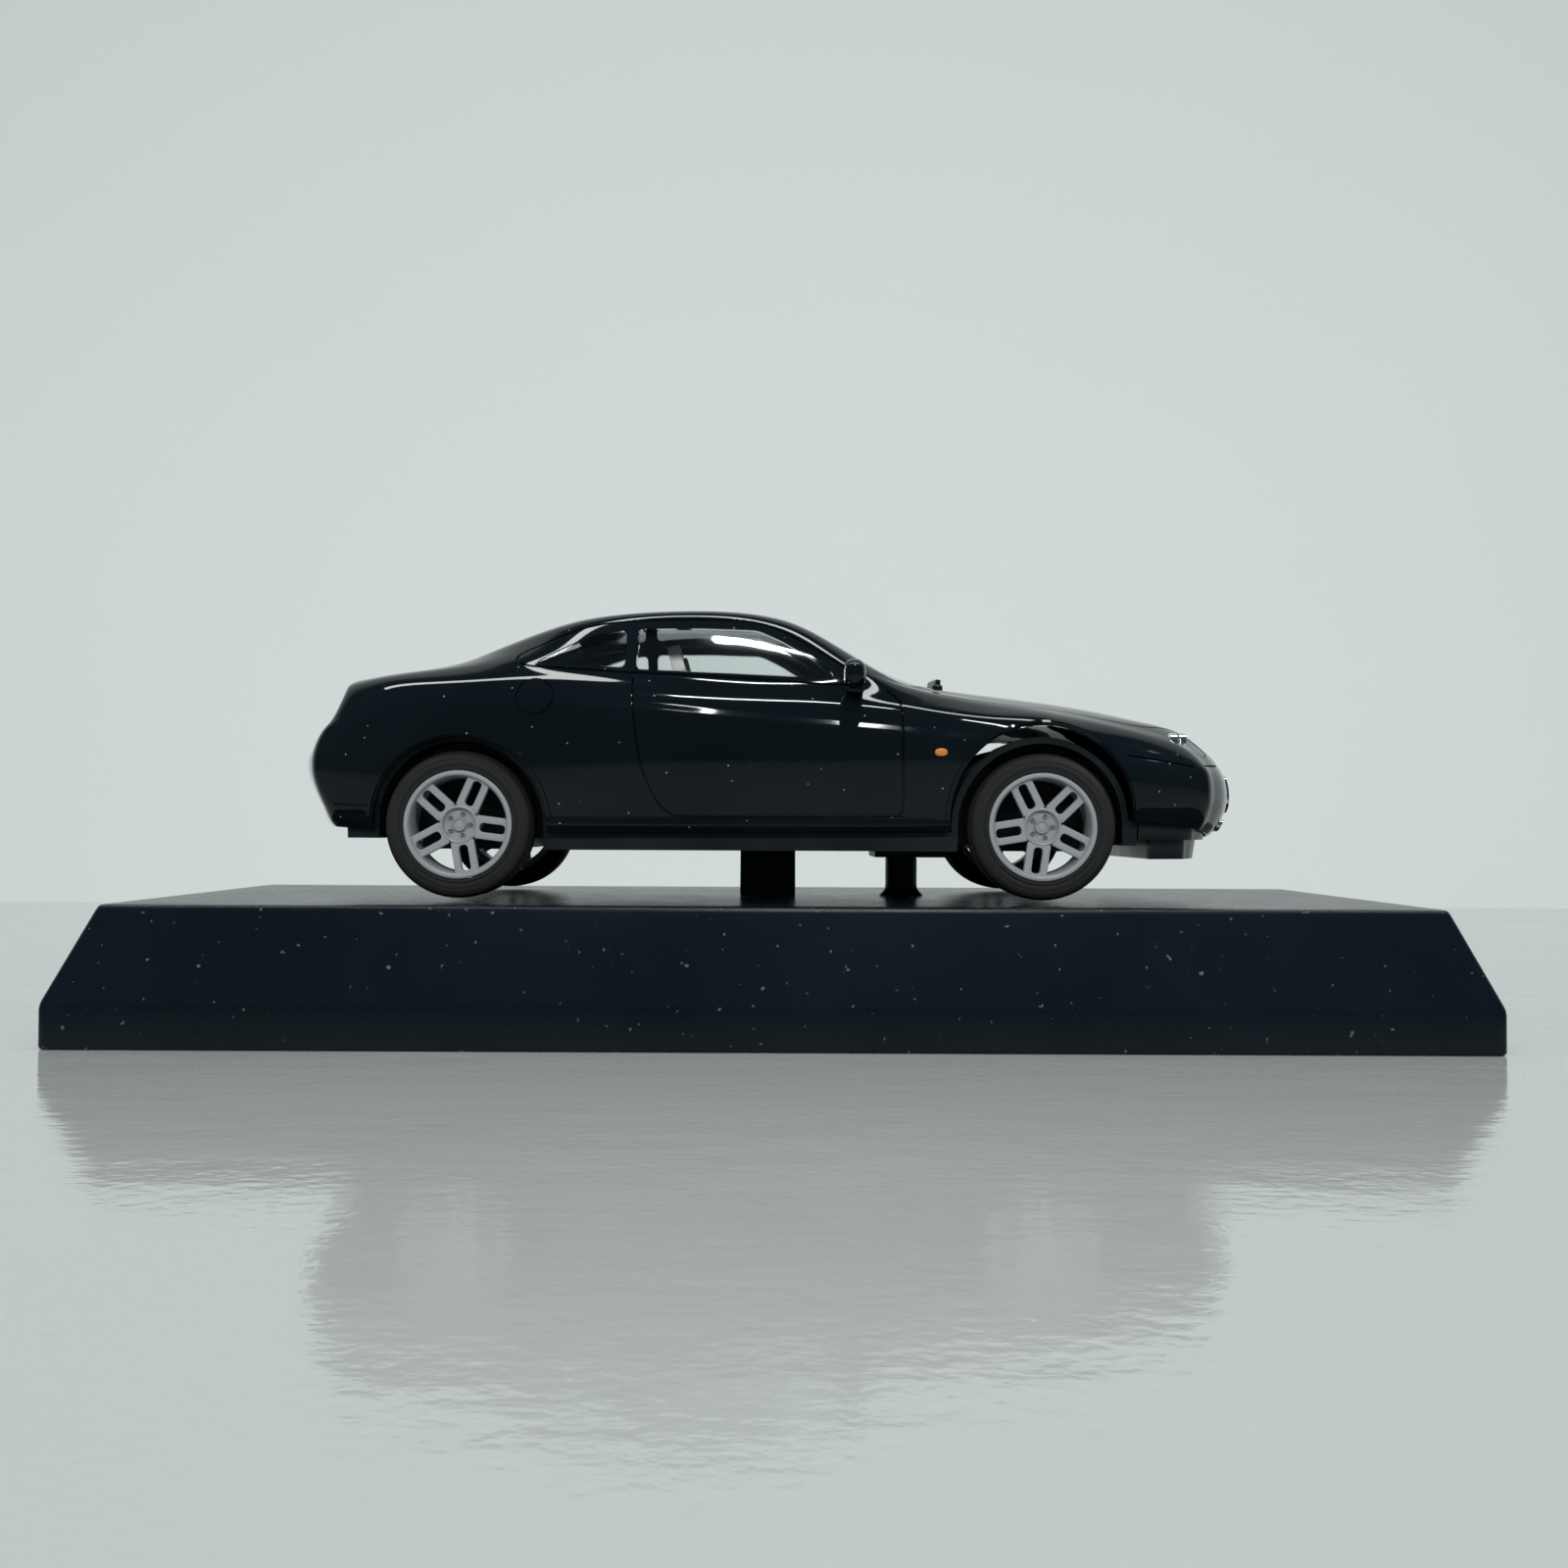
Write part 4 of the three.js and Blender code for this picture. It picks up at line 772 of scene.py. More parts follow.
def joined(name: str, pieces: Sequence[bpy.types.Object]) -> bpy.types.Object:
    """Puts several plain meshes in one object, each keeping its own materials.

    Args:
        name: The object's name.
        pieces: The meshes' objects, which are removed.

    Returns:
        The one object.
    """
    form = bmesh.new()
    materials: list[bpy.types.Material] = []
    for piece in pieces:
        start = len(form.faces)
        form.from_mesh(piece.data)
        form.faces.ensure_lookup_table()
        slots = list(piece.data.materials) or [None]
        for material in slots:
            if material not in materials:
                materials.append(material)
        for face in form.faces[start:]:
            face.material_index = materials.index(slots[min(face.material_index, len(slots) - 1)])
    mesh = bpy.data.meshes.new(name)
    form.to_mesh(mesh)
    form.free()
    for material in materials:
        mesh.materials.append(material)
    for piece in pieces:
        bpy.data.objects.remove(piece)
    made = bpy.data.objects.new(name, mesh)
    bpy.context.scene.collection.objects.link(made)
    return made


# ---------------------------------------------------------------- studio
@dataclass
class Studio:
    """Camera, pale table and wall, and soft lights.

    Attributes:
        eye: Where the camera stands, in metres.
        pitch: How far it looks up, in degrees.
        roll: How far it leans, in degrees.
        yaw: How far it is turned to the left, in degrees.
        lens: Its focal length on a 36 mm frame, in millimetres.
        wall: How far behind the middle the wall stands.
        reach: How far the table and the wall go to the sides.
        high: How high the wall is.
    """

    eye: tuple[float, float, float] = (0.0005, -0.1333, 0.01427)
    pitch: float = 1.347
    roll: float = 0.26
    yaw: float = -0.063
    lens: float = 40.66
    wall: float = 0.185
    reach: float = 3.0
    high: float = 1.2

    def camera(self) -> None:
        """Makes the camera."""
        data = bpy.data.cameras.new("view")
        data.lens = self.lens
        data.sensor_width = 36
        data.clip_start = 0.005
        made = bpy.data.objects.new("view", data)
        bpy.context.scene.collection.objects.link(made)
        made.matrix_world = (Matrix.Translation(self.eye)
                             @ Matrix.Rotation(math.radians(self.yaw), 4, "Z")
                             @ Matrix.Rotation(math.radians(90 + self.pitch), 4, "X")
                             @ Matrix.Rotation(math.radians(self.roll), 4, "Z"))
        bpy.context.scene.camera = made

    @staticmethod
    def _table_finish() -> bpy.types.Material:
        """Makes a pale glossy table whose sheen is broken by soft ripples.

        Returns:
            The material.
        """
        shader = Shader("pale_table")
        ripple = shader.noise(260, 3, (0.55, 1.0, 1)) + shader.noise(1300, 2) * 0.35
        colour = shader.mix(shader.noise(9, 2), (0.31, 0.325, 0.32), (0.35, 0.365, 0.36))
        surface = shader.node("ShaderNodeBsdfPrincipled", {}, {
            "Base Color": colour,
            "Roughness": shader.noise(40, 3) * 0.08 + 0.05,
            "Normal": shader.bump(ripple, 0.00009, 0.5),
        })
        return shader.end(surface)

    @staticmethod
    def _wall_finish() -> bpy.types.Material:
        """Makes a pale matt wall with faint clouds, with painted shade that darkens it upwards.

        Returns:
            The material.
        """
        shader = Shader("pale_wall")
        clouds = shader.mix(shader.noise(7, 3), (0.665, 0.7, 0.685), (0.73, 0.76, 0.75))
        height = shader.node("ShaderNodeSeparateXYZ", {}, {"Vector": shader.place()}, 2)
        # painted shade: the wall's colour darkens towards the top, standing in for less light
        # reaching it there
        colour = shader.mix(shader.ramp(height, 0.0, 0.2), clouds, (0.462, 0.482, 0.472))
        surface = shader.node("ShaderNodeBsdfPrincipled", {}, {
            "Base Color": colour,
            "Roughness": shader.noise(50, 3) * 0.1 + 0.8,
        })
        return shader.end(surface)

    def stage(self) -> None:
        """Makes the table and the wall."""
        reach, back, high = self.reach, self.wall, self.high
        table = [(-reach, -reach, 0), (reach, -reach, 0), (reach, back, 0), (-reach, back, 0)]
        wall = [(-reach, back, 0), (reach, back, 0), (reach, back, high), (-reach, back, high)]
        for name, corners, finish in (("table", table, self._table_finish()),
                                      ("wall", wall, self._wall_finish())):
            mesh = bpy.data.meshes.new(name)
            mesh.from_pydata(corners, [], [(0, 1, 2, 3)])
            mesh.materials.append(finish)
            made = bpy.data.objects.new(name, mesh)
            bpy.context.scene.collection.objects.link(made)

    @staticmethod
    def _softbox(name: str, spot: Sequence[float], aim: Sequence[float],
                 size: tuple[float, float], watts: float, mirrored: bool = True) -> None:
        """Makes a flat light.

        Args:
            name: The light's name.
            spot: Where it hangs.
            aim: What it points at.
            size: Its length and width.
            watts: Its power.
            mirrored: False if it stands for the room's even brightness and isn't mirrored.
        """
        data = bpy.data.lights.new(name, "AREA")
        data.shape = "RECTANGLE"
        data.size, data.size_y = size
        data.energy = watts
        data.color = (0.97, 1.0, 0.99)
        made = bpy.data.objects.new(name, data)
        bpy.context.scene.collection.objects.link(made)
        made.visible_glossy = mirrored
        made.location = spot
        made.rotation_euler = (Vector(aim) - Vector(spot)).to_track_quat("-Z", "Y").to_euler()

    def lights(self) -> None:
        """Makes the softboxes and the dim surroundings."""
        self._softbox("ceiling", (0.0, 0.0, 0.55), (0, 0.0, 0), (0.8, 0.05), 2.3)
        self._softbox("strip", (0.03, -0.16, 0.4), (0, -0.02, 0.02), (0.09, 0.012), 0.3)
        self._softbox("fill", (0.0, -0.32, 0.17), (0, self.wall, 0.03), (0.9, 0.04), 2.2, False)
        bpy.context.scene.view_settings.view_transform = "Standard"
        world = bpy.data.worlds.new("surroundings")
        world.use_nodes = True
        tree = world.node_tree
        background = tree.nodes["Background"]
        rays = tree.nodes.new("ShaderNodeLightPath")
        mix = tree.nodes.new("ShaderNodeMix")
        mix.data_type = "RGBA"
        mix.inputs[MIX_FIRST].default_value = (0.05, 0.075, 0.09, 1)
        mix.inputs[MIX_SECOND].default_value = (0.62, 0.66, 0.65, 1)
        tree.links.new(rays.outputs["Is Camera Ray"], mix.inputs[0])
        tree.links.new(mix.outputs[2], background.inputs["Color"])
        bpy.context.scene.world = world

    def build(self) -> None:
        """Makes everything that isn't part of the object."""
        self.camera()
        self.stage()
        self.lights()


# ---------------------------------------------------------------- the body's surface
# Lines along one side of the car from its rear corner to its front corner, [x, y, z]. The first ten
# climb the side, the others cross the top to the middle.
SIDE_LINES: list[Points] = [
    # lower edge
    [(-28.6, 10.4, 4.8), (-25.5, 12.1, 4.6), (-20, 12.8, 4.5), (-12.7, 12.9, 4.4), (0, 13, 4.5),
     (13.3, 12.9, 4.6), (20, 12.7, 4.9), (26, 12, 5.3), (30.8, 10.2, 5)],
    # sill
    [(-28.9, 10.9, 5.3), (-25.5, 12.6, 5.2), (-12.7, 13.35, 5), (0, 13.4, 5), (13.3, 13.3, 5.1),
     (26, 12.5, 5.8), (31, 10.6, 5.6)],
    # step over the sill
    [(-29.2, 11.1, 6.1), (-25.5, 12.8, 6), (-12.7, 13.3, 5.6), (0, 13.35, 5.6), (13.3, 13.25, 5.6),
     (26, 12.75, 6.4), (31.2, 10.8, 6.3)],
    # low on the door
    [(-29.8, 11.2, 7.5), (-25.5, 13, 7.3), (-19.9, 13.6, 7.2), (-12.7, 13.55, 7), (0, 13.6, 7),
     (13.3, 13.55, 7), (19.9, 13.6, 7.2), (26, 12.9, 7.4), (31.3, 11, 7.3)],
    # widest
    [(-30.1, 11.3, 9.4), (-25.5, 13.1, 9.4), (-19.9, 13.8, 9.8), (-12.7, 13.8, 9.5), (0, 13.9, 9.3),
     (13.3, 13.8, 9.2), (19.9, 13.8, 9.6), (26, 12.95, 9), (31.2, 11, 8.7)],
    # under the wedge crease
    [(-29.6, 11, 11.4), (-25.5, 12.7, 12.4), (-19.9, 13.35, 13), (-14.5, 13.5, 13.2),
     (-7.7, 13.75, 12.9), (0, 13.85, 12.15), (6, 13.85, 11.7), (10.3, 13.85, 11.35),
     (15.6, 13.8, 10.9), (20, 13.75, 11.2), (25, 12.8, 10), (30.9, 10.9, 9.3)],
    # over the wedge crease
    [(-29, 10.8, 12.2), (-25.5, 12.5, 13.1), (-19.9, 13.15, 13.6), (-14.5, 13.25, 13.8),
     (-7.7, 13.4, 13.4), (0, 13.5, 12.75), (6, 13.5, 12.25), (10.3, 13.5, 11.9),
     (15.6, 13.5, 11.4), (20, 13.5, 11.8), (25, 12.5, 10.5), (30.5, 10.7, 9.8)],
    # shoulder
    [(-28.5, 10.4, 13.4), (-25.5, 12, 14), (-19.9, 12.6, 14.5), (-14.5, 12.7, 14.7),
     (-7.7, 12.9, 14.25), (0, 13.05, 13.6), (6, 13.1, 13.25), (10.3, 13, 13), (15.6, 12.9, 12.4),
     (20, 12.8, 12.5), (25, 11.9, 11.2), (29.9, 10.2, 10.5)],
    # over the shoulder
    [(-28.2, 9.9, 14.3), (-25.5, 11.2, 14.9), (-19.9, 11.9, 15.2), (-14.5, 12.1, 15.35),
     (-7.7, 12.3, 14.95), (0, 12.4, 14.5), (6, 12.4, 14.15), (10.3, 12.2, 13.75),
     (15.6, 12, 13.05), (20, 11.8, 12.9), (25, 11, 11.9), (29.2, 9.6, 11.1)],
    # foot of the side glass
    [(-28.1, 9.2, 14.8), (-25.5, 10.2, 15.3), (-19.9, 11, 15.8), (-15.2, 11.5, 15.95),
     (-7.7, 11.8, 15.7), (0, 11.9, 15.35), (6, 11.8, 14.95), (10.3, 11.5, 14.35),
     (15.6, 10.9, 13.6), (20, 10.6, 13.2), (25, 9.8, 12.3), (28.9, 8.8, 11.5)],
]
TOP_LINES: list[Points] = [
    # across the side glass
    [(-28.3, 8, 15), (-25.5, 8.9, 15.5), (-21, 9.9, 16), (-16.5, 10.6, 16.6), (-12, 10.75, 17.2),
     (-7.7, 10.9, 17.3), (0, 10.95, 17.2), (4.5, 11, 16.6), (7.5, 11.1, 15.6),
     (10.3, 10.8, 14.75), (15.6, 9.6, 13.9), (20, 9.2, 13.5), (25, 8.6, 12.7), (29.3, 7.8, 11.8)],
    # roof rail and windscreen pillar
    [(-28.6, 6.6, 15.1), (-25.5, 7.3, 15.6), (-21.5, 8.2, 16.2), (-17.5, 8.8, 17.2),
     (-13.5, 9.2, 18.5), (-10, 9.4, 19.2), (-5, 9.5, 19.55), (0, 9.5, 19.4), (3, 9.7, 18.6),
     (6, 10.25, 17), (8.5, 10.4, 15.6), (11.5, 9.7, 14.65), (15.6, 8.4, 14.15), (20, 7.8, 13.8),
     (25, 7.3, 13), (29.9, 6.6, 12)],
    # edge of the roof and of both screens
    [(-28.9, 4.9, 15.15), (-25.5, 5.4, 15.65), (-22, 6.4, 16.05), (-18, 7.2, 17.6),
     (-13, 7.9, 19.3), (-10, 8.1, 19.85), (-5, 8.2, 20.15), (0, 8.1, 20), (3, 8.2, 19.3),
     (6, 8.6, 17.75), (9, 8.7, 16), (11.8, 8.1, 15), (15.6, 6.8, 14.45), (20, 6.2, 14),
     (25, 5.8, 13.25), (30.6, 5.2, 12)],
    # half way to the middle
    [(-29.2, 2.6, 15.15), (-25.5, 2.9, 15.7), (-22.6, 3.4, 16), (-18, 3.9, 18), (-13, 4.1, 19.75),
     (-10, 4.2, 20.2), (-5, 4.2, 20.45), (0, 4.2, 20.35), (3, 4.2, 19.75), (6, 4.4, 18.2),
     (9.5, 4.5, 16.1), (12.5, 4.2, 14.95), (15.6, 3.7, 14.7), (20, 3.4, 14.25), (25, 3.1, 13.5),
     (31.4, 2.8, 11.9)],
    # middle of the car
    [(-29.4, 0, 15.15), (-25.5, 0, 15.7), (-22.8, 0, 15.9), (-18, 0, 18.05), (-12.8, 0, 19.85),
     (-10, 0, 20.3), (-5, 0, 20.55), (0, 0, 20.45), (2.9, 0, 19.96), (6, 0, 18.3),
     (9.5, 0, 16.2), (12.4, 0, 14.95), (15.6, 0, 14.7), (20, 0, 14.3), (25, 0, 13.55),
     (31.9, 0, 11.7)],
]
# The middle of the tail and of the nose, [x, z] from the lower edge up to the foot of the glass.
TAIL_MIDDLE: Points = [(-30.7, 4.8), (-31, 5.3), (-31.3, 6.1), (-32, 7.6), (-32.5, 9.3),
                       (-31.8, 10.5), (-30.8, 11.4), (-30.1, 13), (-29.7, 14.3), (-29.4, 15.15)]
NOSE_MIDDLE: Points = [(33.6, 4.3), (34.2, 4.8), (34.6, 5.5), (35, 6.6), (35, 7.8),
                       (34.8, 8.7), (34.5, 9.3), (34, 10.1), (33.1, 10.9), (31.9, 11.7)]
PLAN_POWER = 2.2  # how round the nose and tail are seen from above
STATIONS = (0, 0.025, 0.06, 0.11, 0.17, 0.225, 0.28, 0.34, 0.4, 0.47, 0.53, 0.575, 0.62,
            0.655, 0.69, 0.73, 0.785, 0.84, 0.9, 0.95, 1)
SKIN_DEEP = 0.1  # forms nearer to the surface than this keep its underside
LINE_CREASES = {0: 1.0, 1: 0.45, 2: 0.75, 5: 0.6, 6: 0.75}  # how sharp the side lines are


def along_line(line: Points, x: float) -> tuple[float, float, float]:
    """Finds the point of a line at x, by a cubic through its points.

    Args:
        line: The line's points, in order of x.
        x: Where along it.

    Returns:
        The point.
    """
    k = 0
    while k < len(line) - 2 and x > line[k + 1][0]:
        k += 1

    def slope(i: int, axis: int) -> float:
        """The line's slope at one of its points."""
        before, after = line[max(i - 1, 0)], line[min(i + 1, len(line) - 1)]
        return (after[axis] - before[axis]) / (after[0] - before[0])

    run = line[k + 1][0] - line[k][0]
    t = (x - line[k][0]) / run
    found = []
    for axis in (1, 2):
        a, b = line[k][axis], line[k + 1][axis]
        sa, sb = slope(k, axis) * run, slope(k + 1, axis) * run
        found.append(a + t * sa + t * t * (3 * (b - a) - 2 * sa - sb)
                     + t ** 3 * (2 * (a - b) + sa + sb))
    return (x, found[0], found[1])


@dataclass
class BodySurface:
    """The car's outer surface: a cage of feature lines, smoothed.

    Attributes:
        levels: How finely the outside is subdivided.
        inner_levels: How finely forms inside it are.
        wall: Thickness of the casting in millimetres.
        pull: How much of the smoothing's shrinkage is made good.
        points: The cage's points.
        faces: Its faces.
        creases: How sharp its edges are, where they are.
        below: Which of its points are underneath.
        normals: The cage's normals.
        skin: The smoothed outside, as an object.
        tree: A search tree of the skin.
    """

    levels: int = 3
    inner_levels: int = 2
    wall: float = 0.8
    pull: float = 0.9
    points: np.ndarray = field(init=False)
    faces: list[list[int]] = field(init=False)
    creases: dict[tuple[int, int], float] = field(init=False)
    below: set[int] = field(init=False)

    def __post_init__(self) -> None:
        """Builds the cage and a search tree of the smoothed outside."""
        self._cage()
        self.normals = self._normals(self.points)
        self.points = self._swollen()
        self.skin = settle(self._form_object("skin", 0.0, None, self.levels))
        self.skin.data.shade_smooth()
        form = bmesh.new()
        form.from_mesh(self.skin.data)
        self.tree = BVHTree.FromBMesh(form)
        form.free()

    def _cage(self) -> None:
        """Builds the cage's points, faces and creases from the feature lines."""
        lines = [*SIDE_LINES, *TOP_LINES]
        columns = [[along_line(line, line[0][0] + (line[-1][0] - line[0][0]) * share)
                    for line in lines] for share in STATIONS]
        corner = len(SIDE_LINES) - 1
        across = len(TOP_LINES) + 1

        def end_face(column: Points, middle: Points) -> list[list[Sequence[float]]]:
            """Closes the nose or the tail.

            Args:
                column: The points of the feature lines at that end.
                middle: The end's middle, from the lower edge up.

            Returns:
                Columns of points, from the corner to the middle.
            """
            made = []
            for a in range(across):
                edge = column[corner + a]
                share = edge[1] / column[corner][1]
                pull = share ** PLAN_POWER
                row = []
                for b, (xm, zm) in enumerate(middle):
                    low = column[b]
                    row.append(edge if b == corner else low if a == 0 else
                               (xm + (low[0] - xm) * pull, low[1] * share,
                                zm + (low[2] - zm) * pull))
                made.append(row)
            return made

        tail, nose = end_face(columns[0], TAIL_MIDDLE), end_face(columns[-1], NOSE_MIDDLE)
        shares = [columns[0][corner + a][1] / columns[0][corner][1] for a in range(across)]
        under = [[(c[0][0], c[0][1] * share, c[0][2]) for share in shares] for c in columns]
        under[0] = [rows[0] for rows in tail]
        under[-1] = [rows[0] for rows in nose]
        quads = []
        for c, d, u, v in zip(columns, columns[1:], under, under[1:]):
            quads += [(c[k], c[k + 1], d[k + 1], d[k]) for k in range(len(lines) - 1)]
            quads += [(u[a], v[a], v[a + 1], u[a + 1]) for a in range(across - 1)]
        for a in range(across - 1):
            for b in range(corner):
                quads.append((nose[a][b], nose[a][b + 1], nose[a + 1][b + 1], nose[a + 1][b]))
                quads.append((tail[a][b], tail[a + 1][b], tail[a + 1][b + 1], tail[a][b + 1]))
        keys: dict[tuple[float, ...], int] = {}

        def index(point: Sequence[float], sign: int) -> int:
            """The number of a point of the cage, on either side of the car."""
            key = (round(point[0], 4), round(point[1] * sign, 4) + 0.0, round(point[2], 4))
            return keys.setdefault(key, len(keys))

        self.faces = []
        for sign in (1, -1):
            for quad in quads:
                face = [index(p, sign) for p in quad]
                self.faces.append(face if sign > 0 else face[::-1])
        self.below = {index(p, s) for row in under for p in row for s in (1, -1)}
        self.creases = {}
        for k, sharp in LINE_CREASES.items():
            rows = [[c[k] for c in columns]]
            if k == 0:
                rows += [[face[0] for face in tail], [face[0] for face in nose]]
            for row in rows:
                for p, q in zip(row, row[1:]):
                    for sign in (1, -1):
                        self.creases[tuple(sorted((index(p, sign), index(q, sign))))] = sharp
        self.points = np.array(list(keys), float)

    def _normals(self, points: np.ndarray) -> np.ndarray:
        """Works out the cage's normals, level where it is underneath.

        Args:
            points: The cage's points.

        Returns:
            A unit normal for each.
        """
        normals = np.zeros_like(points)
        for face in self.faces:
            a, b, c, d = points[face]
            normal = np.cross(c - a, d - b)
            normals[face] += normal / np.linalg.norm(normal)
        normals[list(self.below), 2] = 0
        return normals / np.linalg.norm(normals, axis=1)[:, None]

    def _swollen(self) -> np.ndarray:
        """Moves the cage out, so that the smoothed surface comes near its points.

        Returns:
            The cage's new points.
        """
        count = len(self.points)
        edges: list[set[int]] = [set() for _ in range(count)]
        far: list[list[int]] = [[] for _ in range(count)]
        for face in self.faces:
            for i in range(4):
                edges[face[i]] |= {face[i - 1], face[(i + 1) % 4]}
                far[face[i]].append(face[(i + 2) % 4])
        creased: list[set[int]] = [set() for _ in range(count)]
        for p, q in self.creases:
            creased[p].add(q)
            creased[q].add(p)
        made = self.points.copy()
        for _ in range(2):
            limit = np.empty_like(made)
            for i in range(count):
                n = len(edges[i])
                if len(creased[i]) == 2:
                    limit[i] = (4 * made[i] + made[list(creased[i])].sum(0)) / 6
                else:
                    limit[i] = (n * n * made[i] + 4 * made[list(edges[i])].sum(0)
                                + made[far[i]].sum(0)) / (n * (n + 5))
            made += self.pull * (self.points - limit)
        return made

    def _form_object(self, name: str, inset: float, floor: float | None,
                     levels: int) -> bpy.types.Object:
        """Makes the cage an object that a modifier smooths.

        Args:
            name: The object's name.
            inset: How far it is drawn in, in millimetres.
            floor: Where it ends below, or None for the body's own underside.
            levels: How finely it is subdivided.

        Returns:
            The object.
        """
        points = self.points - self.normals * inset
        if floor is not None:
            points[list(self.below), 2] = floor
        made = make_object(name, Solid(points, self.faces))
        mesh = made.data
        sharp = mesh.attributes.new("crease_edge", "FLOAT", "EDGE")
        lookup = {tuple(np.round(PLACE.put([p])[0], 7)): i for i, p in enumerate(points)}
        order = [lookup.get(tuple(np.round(v.co, 7)), -1) for v in mesh.vertices]
        for edge in mesh.edges:
            pair = tuple(sorted(order[v] for v in edge.vertices))
            sharp.data[edge.index].value = self.creases.get(pair, 0.0)
        fine = made.modifiers.new("smooth", "SUBSURF")
        fine.levels = fine.render_levels = levels
        fine.boundary_smooth = "ALL"
        return made

    def form(self, inset: float, floor: float | None = 0.0,
             levels: int | None = None) -> bpy.types.Object:
        """A closed form under the surface.

        Args:
            inset: How far it is drawn in.
            floor: Where it ends below, or None for the body's own underside.
            levels: How finely it is subdivided.

        Returns:
            The form as an object.
        """
        return settle(self._form_object("form", inset, floor, levels or self.inner_levels))

    def band(self, cutter: Solid, outer: float, inner: float) -> bpy.types.Object:
        """Makes what lies between two depths under the surface, within a cutting solid.

        Args:
            cutter: The cutting solid.
            outer: The lesser depth, in millimetres.
            inner: The greater depth.

        Returns:
            The piece between them.
        """
        outside = self.form(outer, None if outer < SKIN_DEEP else 0.0, self.levels)
        piece = carve(make_object("band", cutter), [outside], "INTERSECT")
        return carve(piece, [self.form(inner)])

    def throw(self, points: np.ndarray, how: Projection, side: Side) -> list[tuple[Vector, Vector]]:
        """Throws points of a flat line onto the body.

        Args:
            points: (x, z) from the side, (x, y) from the top, (y, z) from the front or the tail.
            how: Where they are thrown from.
            side: Which side they land on, when thrown from the side.

        Returns:
            Each landing point with the surface's normal there, in metres.
        """
        if how is Projection.SIDE:
            starts, way = [(a, side.value * 30, b) for a, b in points], (0, -side.value, 0)
        elif how is Projection.TOP:
            starts, way = [(a, b, 40) for a, b in points], (0, 0, -1)
        else:
            end = 1 if how is Projection.FRONT else -1
            starts, way = [(end * 50, a, b) for a, b in points], (-end, 0, 0)
        landed = []
        for start in PLACE.put(starts):
            hit, normal, _, _ = self.tree.ray_cast(Vector(start), Vector(way))
            if hit is not None:
                landed.append((hit, normal))
        return landed


def ribbon(name: str, line: list[tuple[Vector, Vector]], width: float, foot: float, low: float,
           high: float, closed: bool = False) -> bpy.types.Object:
    """A bar that follows a line on the body, for cutting a groove or standing as a lip.

    Args:
        name: The object's name.
        line: Points with normals, as BodySurface.throw gives them.
        width: Its width at the top, in millimetres.
        foot: Its width at the bottom.
        low: How deep its bottom is under the surface.
        high: How high its top stands over it.
        closed: True if the line comes back to its start.

    Returns:
        The bar as an object.
    """
    spots = [p for p, _ in line]
    normals = [n for _, n in line]
    count = len(spots)
    rings = []
    for i in range(count):
        before = spots[i - 1] if closed or i else spots[i]
        after = spots[(i + 1) % count] if closed or i + 1 < count else spots[i]
        ahead = (after - before).normalized()
        near = [normals[(i + k) % count] if closed else normals[min(max(i + k, 0), count - 1)]
                for k in (-2, -1, 0, 1, 2)]
        up = sum(near, Vector()).normalized()
        across = ahead.cross(up).normalized()
        up = across.cross(ahead)
        rings.append(np.array([
            spots[i] + across * (s * w / 2 * MM) + up * (h * MM)
            for s, w, h in ((-1, width, high), (1, width, high), (1, foot, -low), (-1, foot, -low))
        ]))
    return make_object(name, loft(rings, closed), placed=True)


@dataclass(frozen=True)
class Seam:
    """A line cut into the body between two panels.

    Attributes:
        how: How it is thrown onto the body.
        points: Its flat points.
        sides: The sides of the car that have it.
        width: Its width, in millimetres.
        depth: Its depth.
        closed: True if it comes back to its start.
    """

    how: Projection
    points: Points
    sides: tuple[Side, ...] = (Side.LEFT, Side.RIGHT)
    width: float = 0.26
    depth: float = 0.26
    closed: bool = False


BOTH = (Side.LEFT, Side.RIGHT)
DOOR_SEAM = [(9.3, 14.35), (9.95, 13.75), (10.25, 12.9), (10.3, 9), (10.3, 6.4), (10.1, 5.85),
             (9.6, 5.7), (2, 5.66), (-4.6, 5.68), (-5.4, 5.85), (-6.2, 6.5), (-7.18, 8.46),
             (-7.66, 10.45), (-8.0, 13.11), (-8.14, 15.1)]
GLASS_LINE = [(-16.3, 16.75), (-15.42, 17.23), (-13.04, 18.35), (-11.6, 18.85), (-10.32, 19.12),
              (-8.28, 19.3), (-4.88, 19.4), (-0.79, 19.36), (0.8, 19.1), (1.93, 18.7), (3.5, 17.8),
              (5.34, 16.7), (6.9, 15.7), (7.1, 15.1), (6.4, 14.72), (5.3, 14.72), (-2.09, 15.2),
              (-8.81, 15.5), (-15.2, 15.92), (-16.25, 16.2)]
BONNET_SEAM = [(12.6, 10.3), (13.2, 10.45), (16, 10.35), (20, 10.1), (24, 9.5), (27, 8.6),
               (29, 7.2), (30.9, 5.2), (31.9, 3.6), (32.35, 2.2), (32.5, 0)]
BOOT_SEAM = [(-22.6, 8.6), (-24, 8.9), (-26, 8.85), (-27.4, 8.6), (-28.3, 8.2)]
FUEL_FLAP = ellipse((-14.7, 13.75), (1.25, 1.25), 28).tolist()
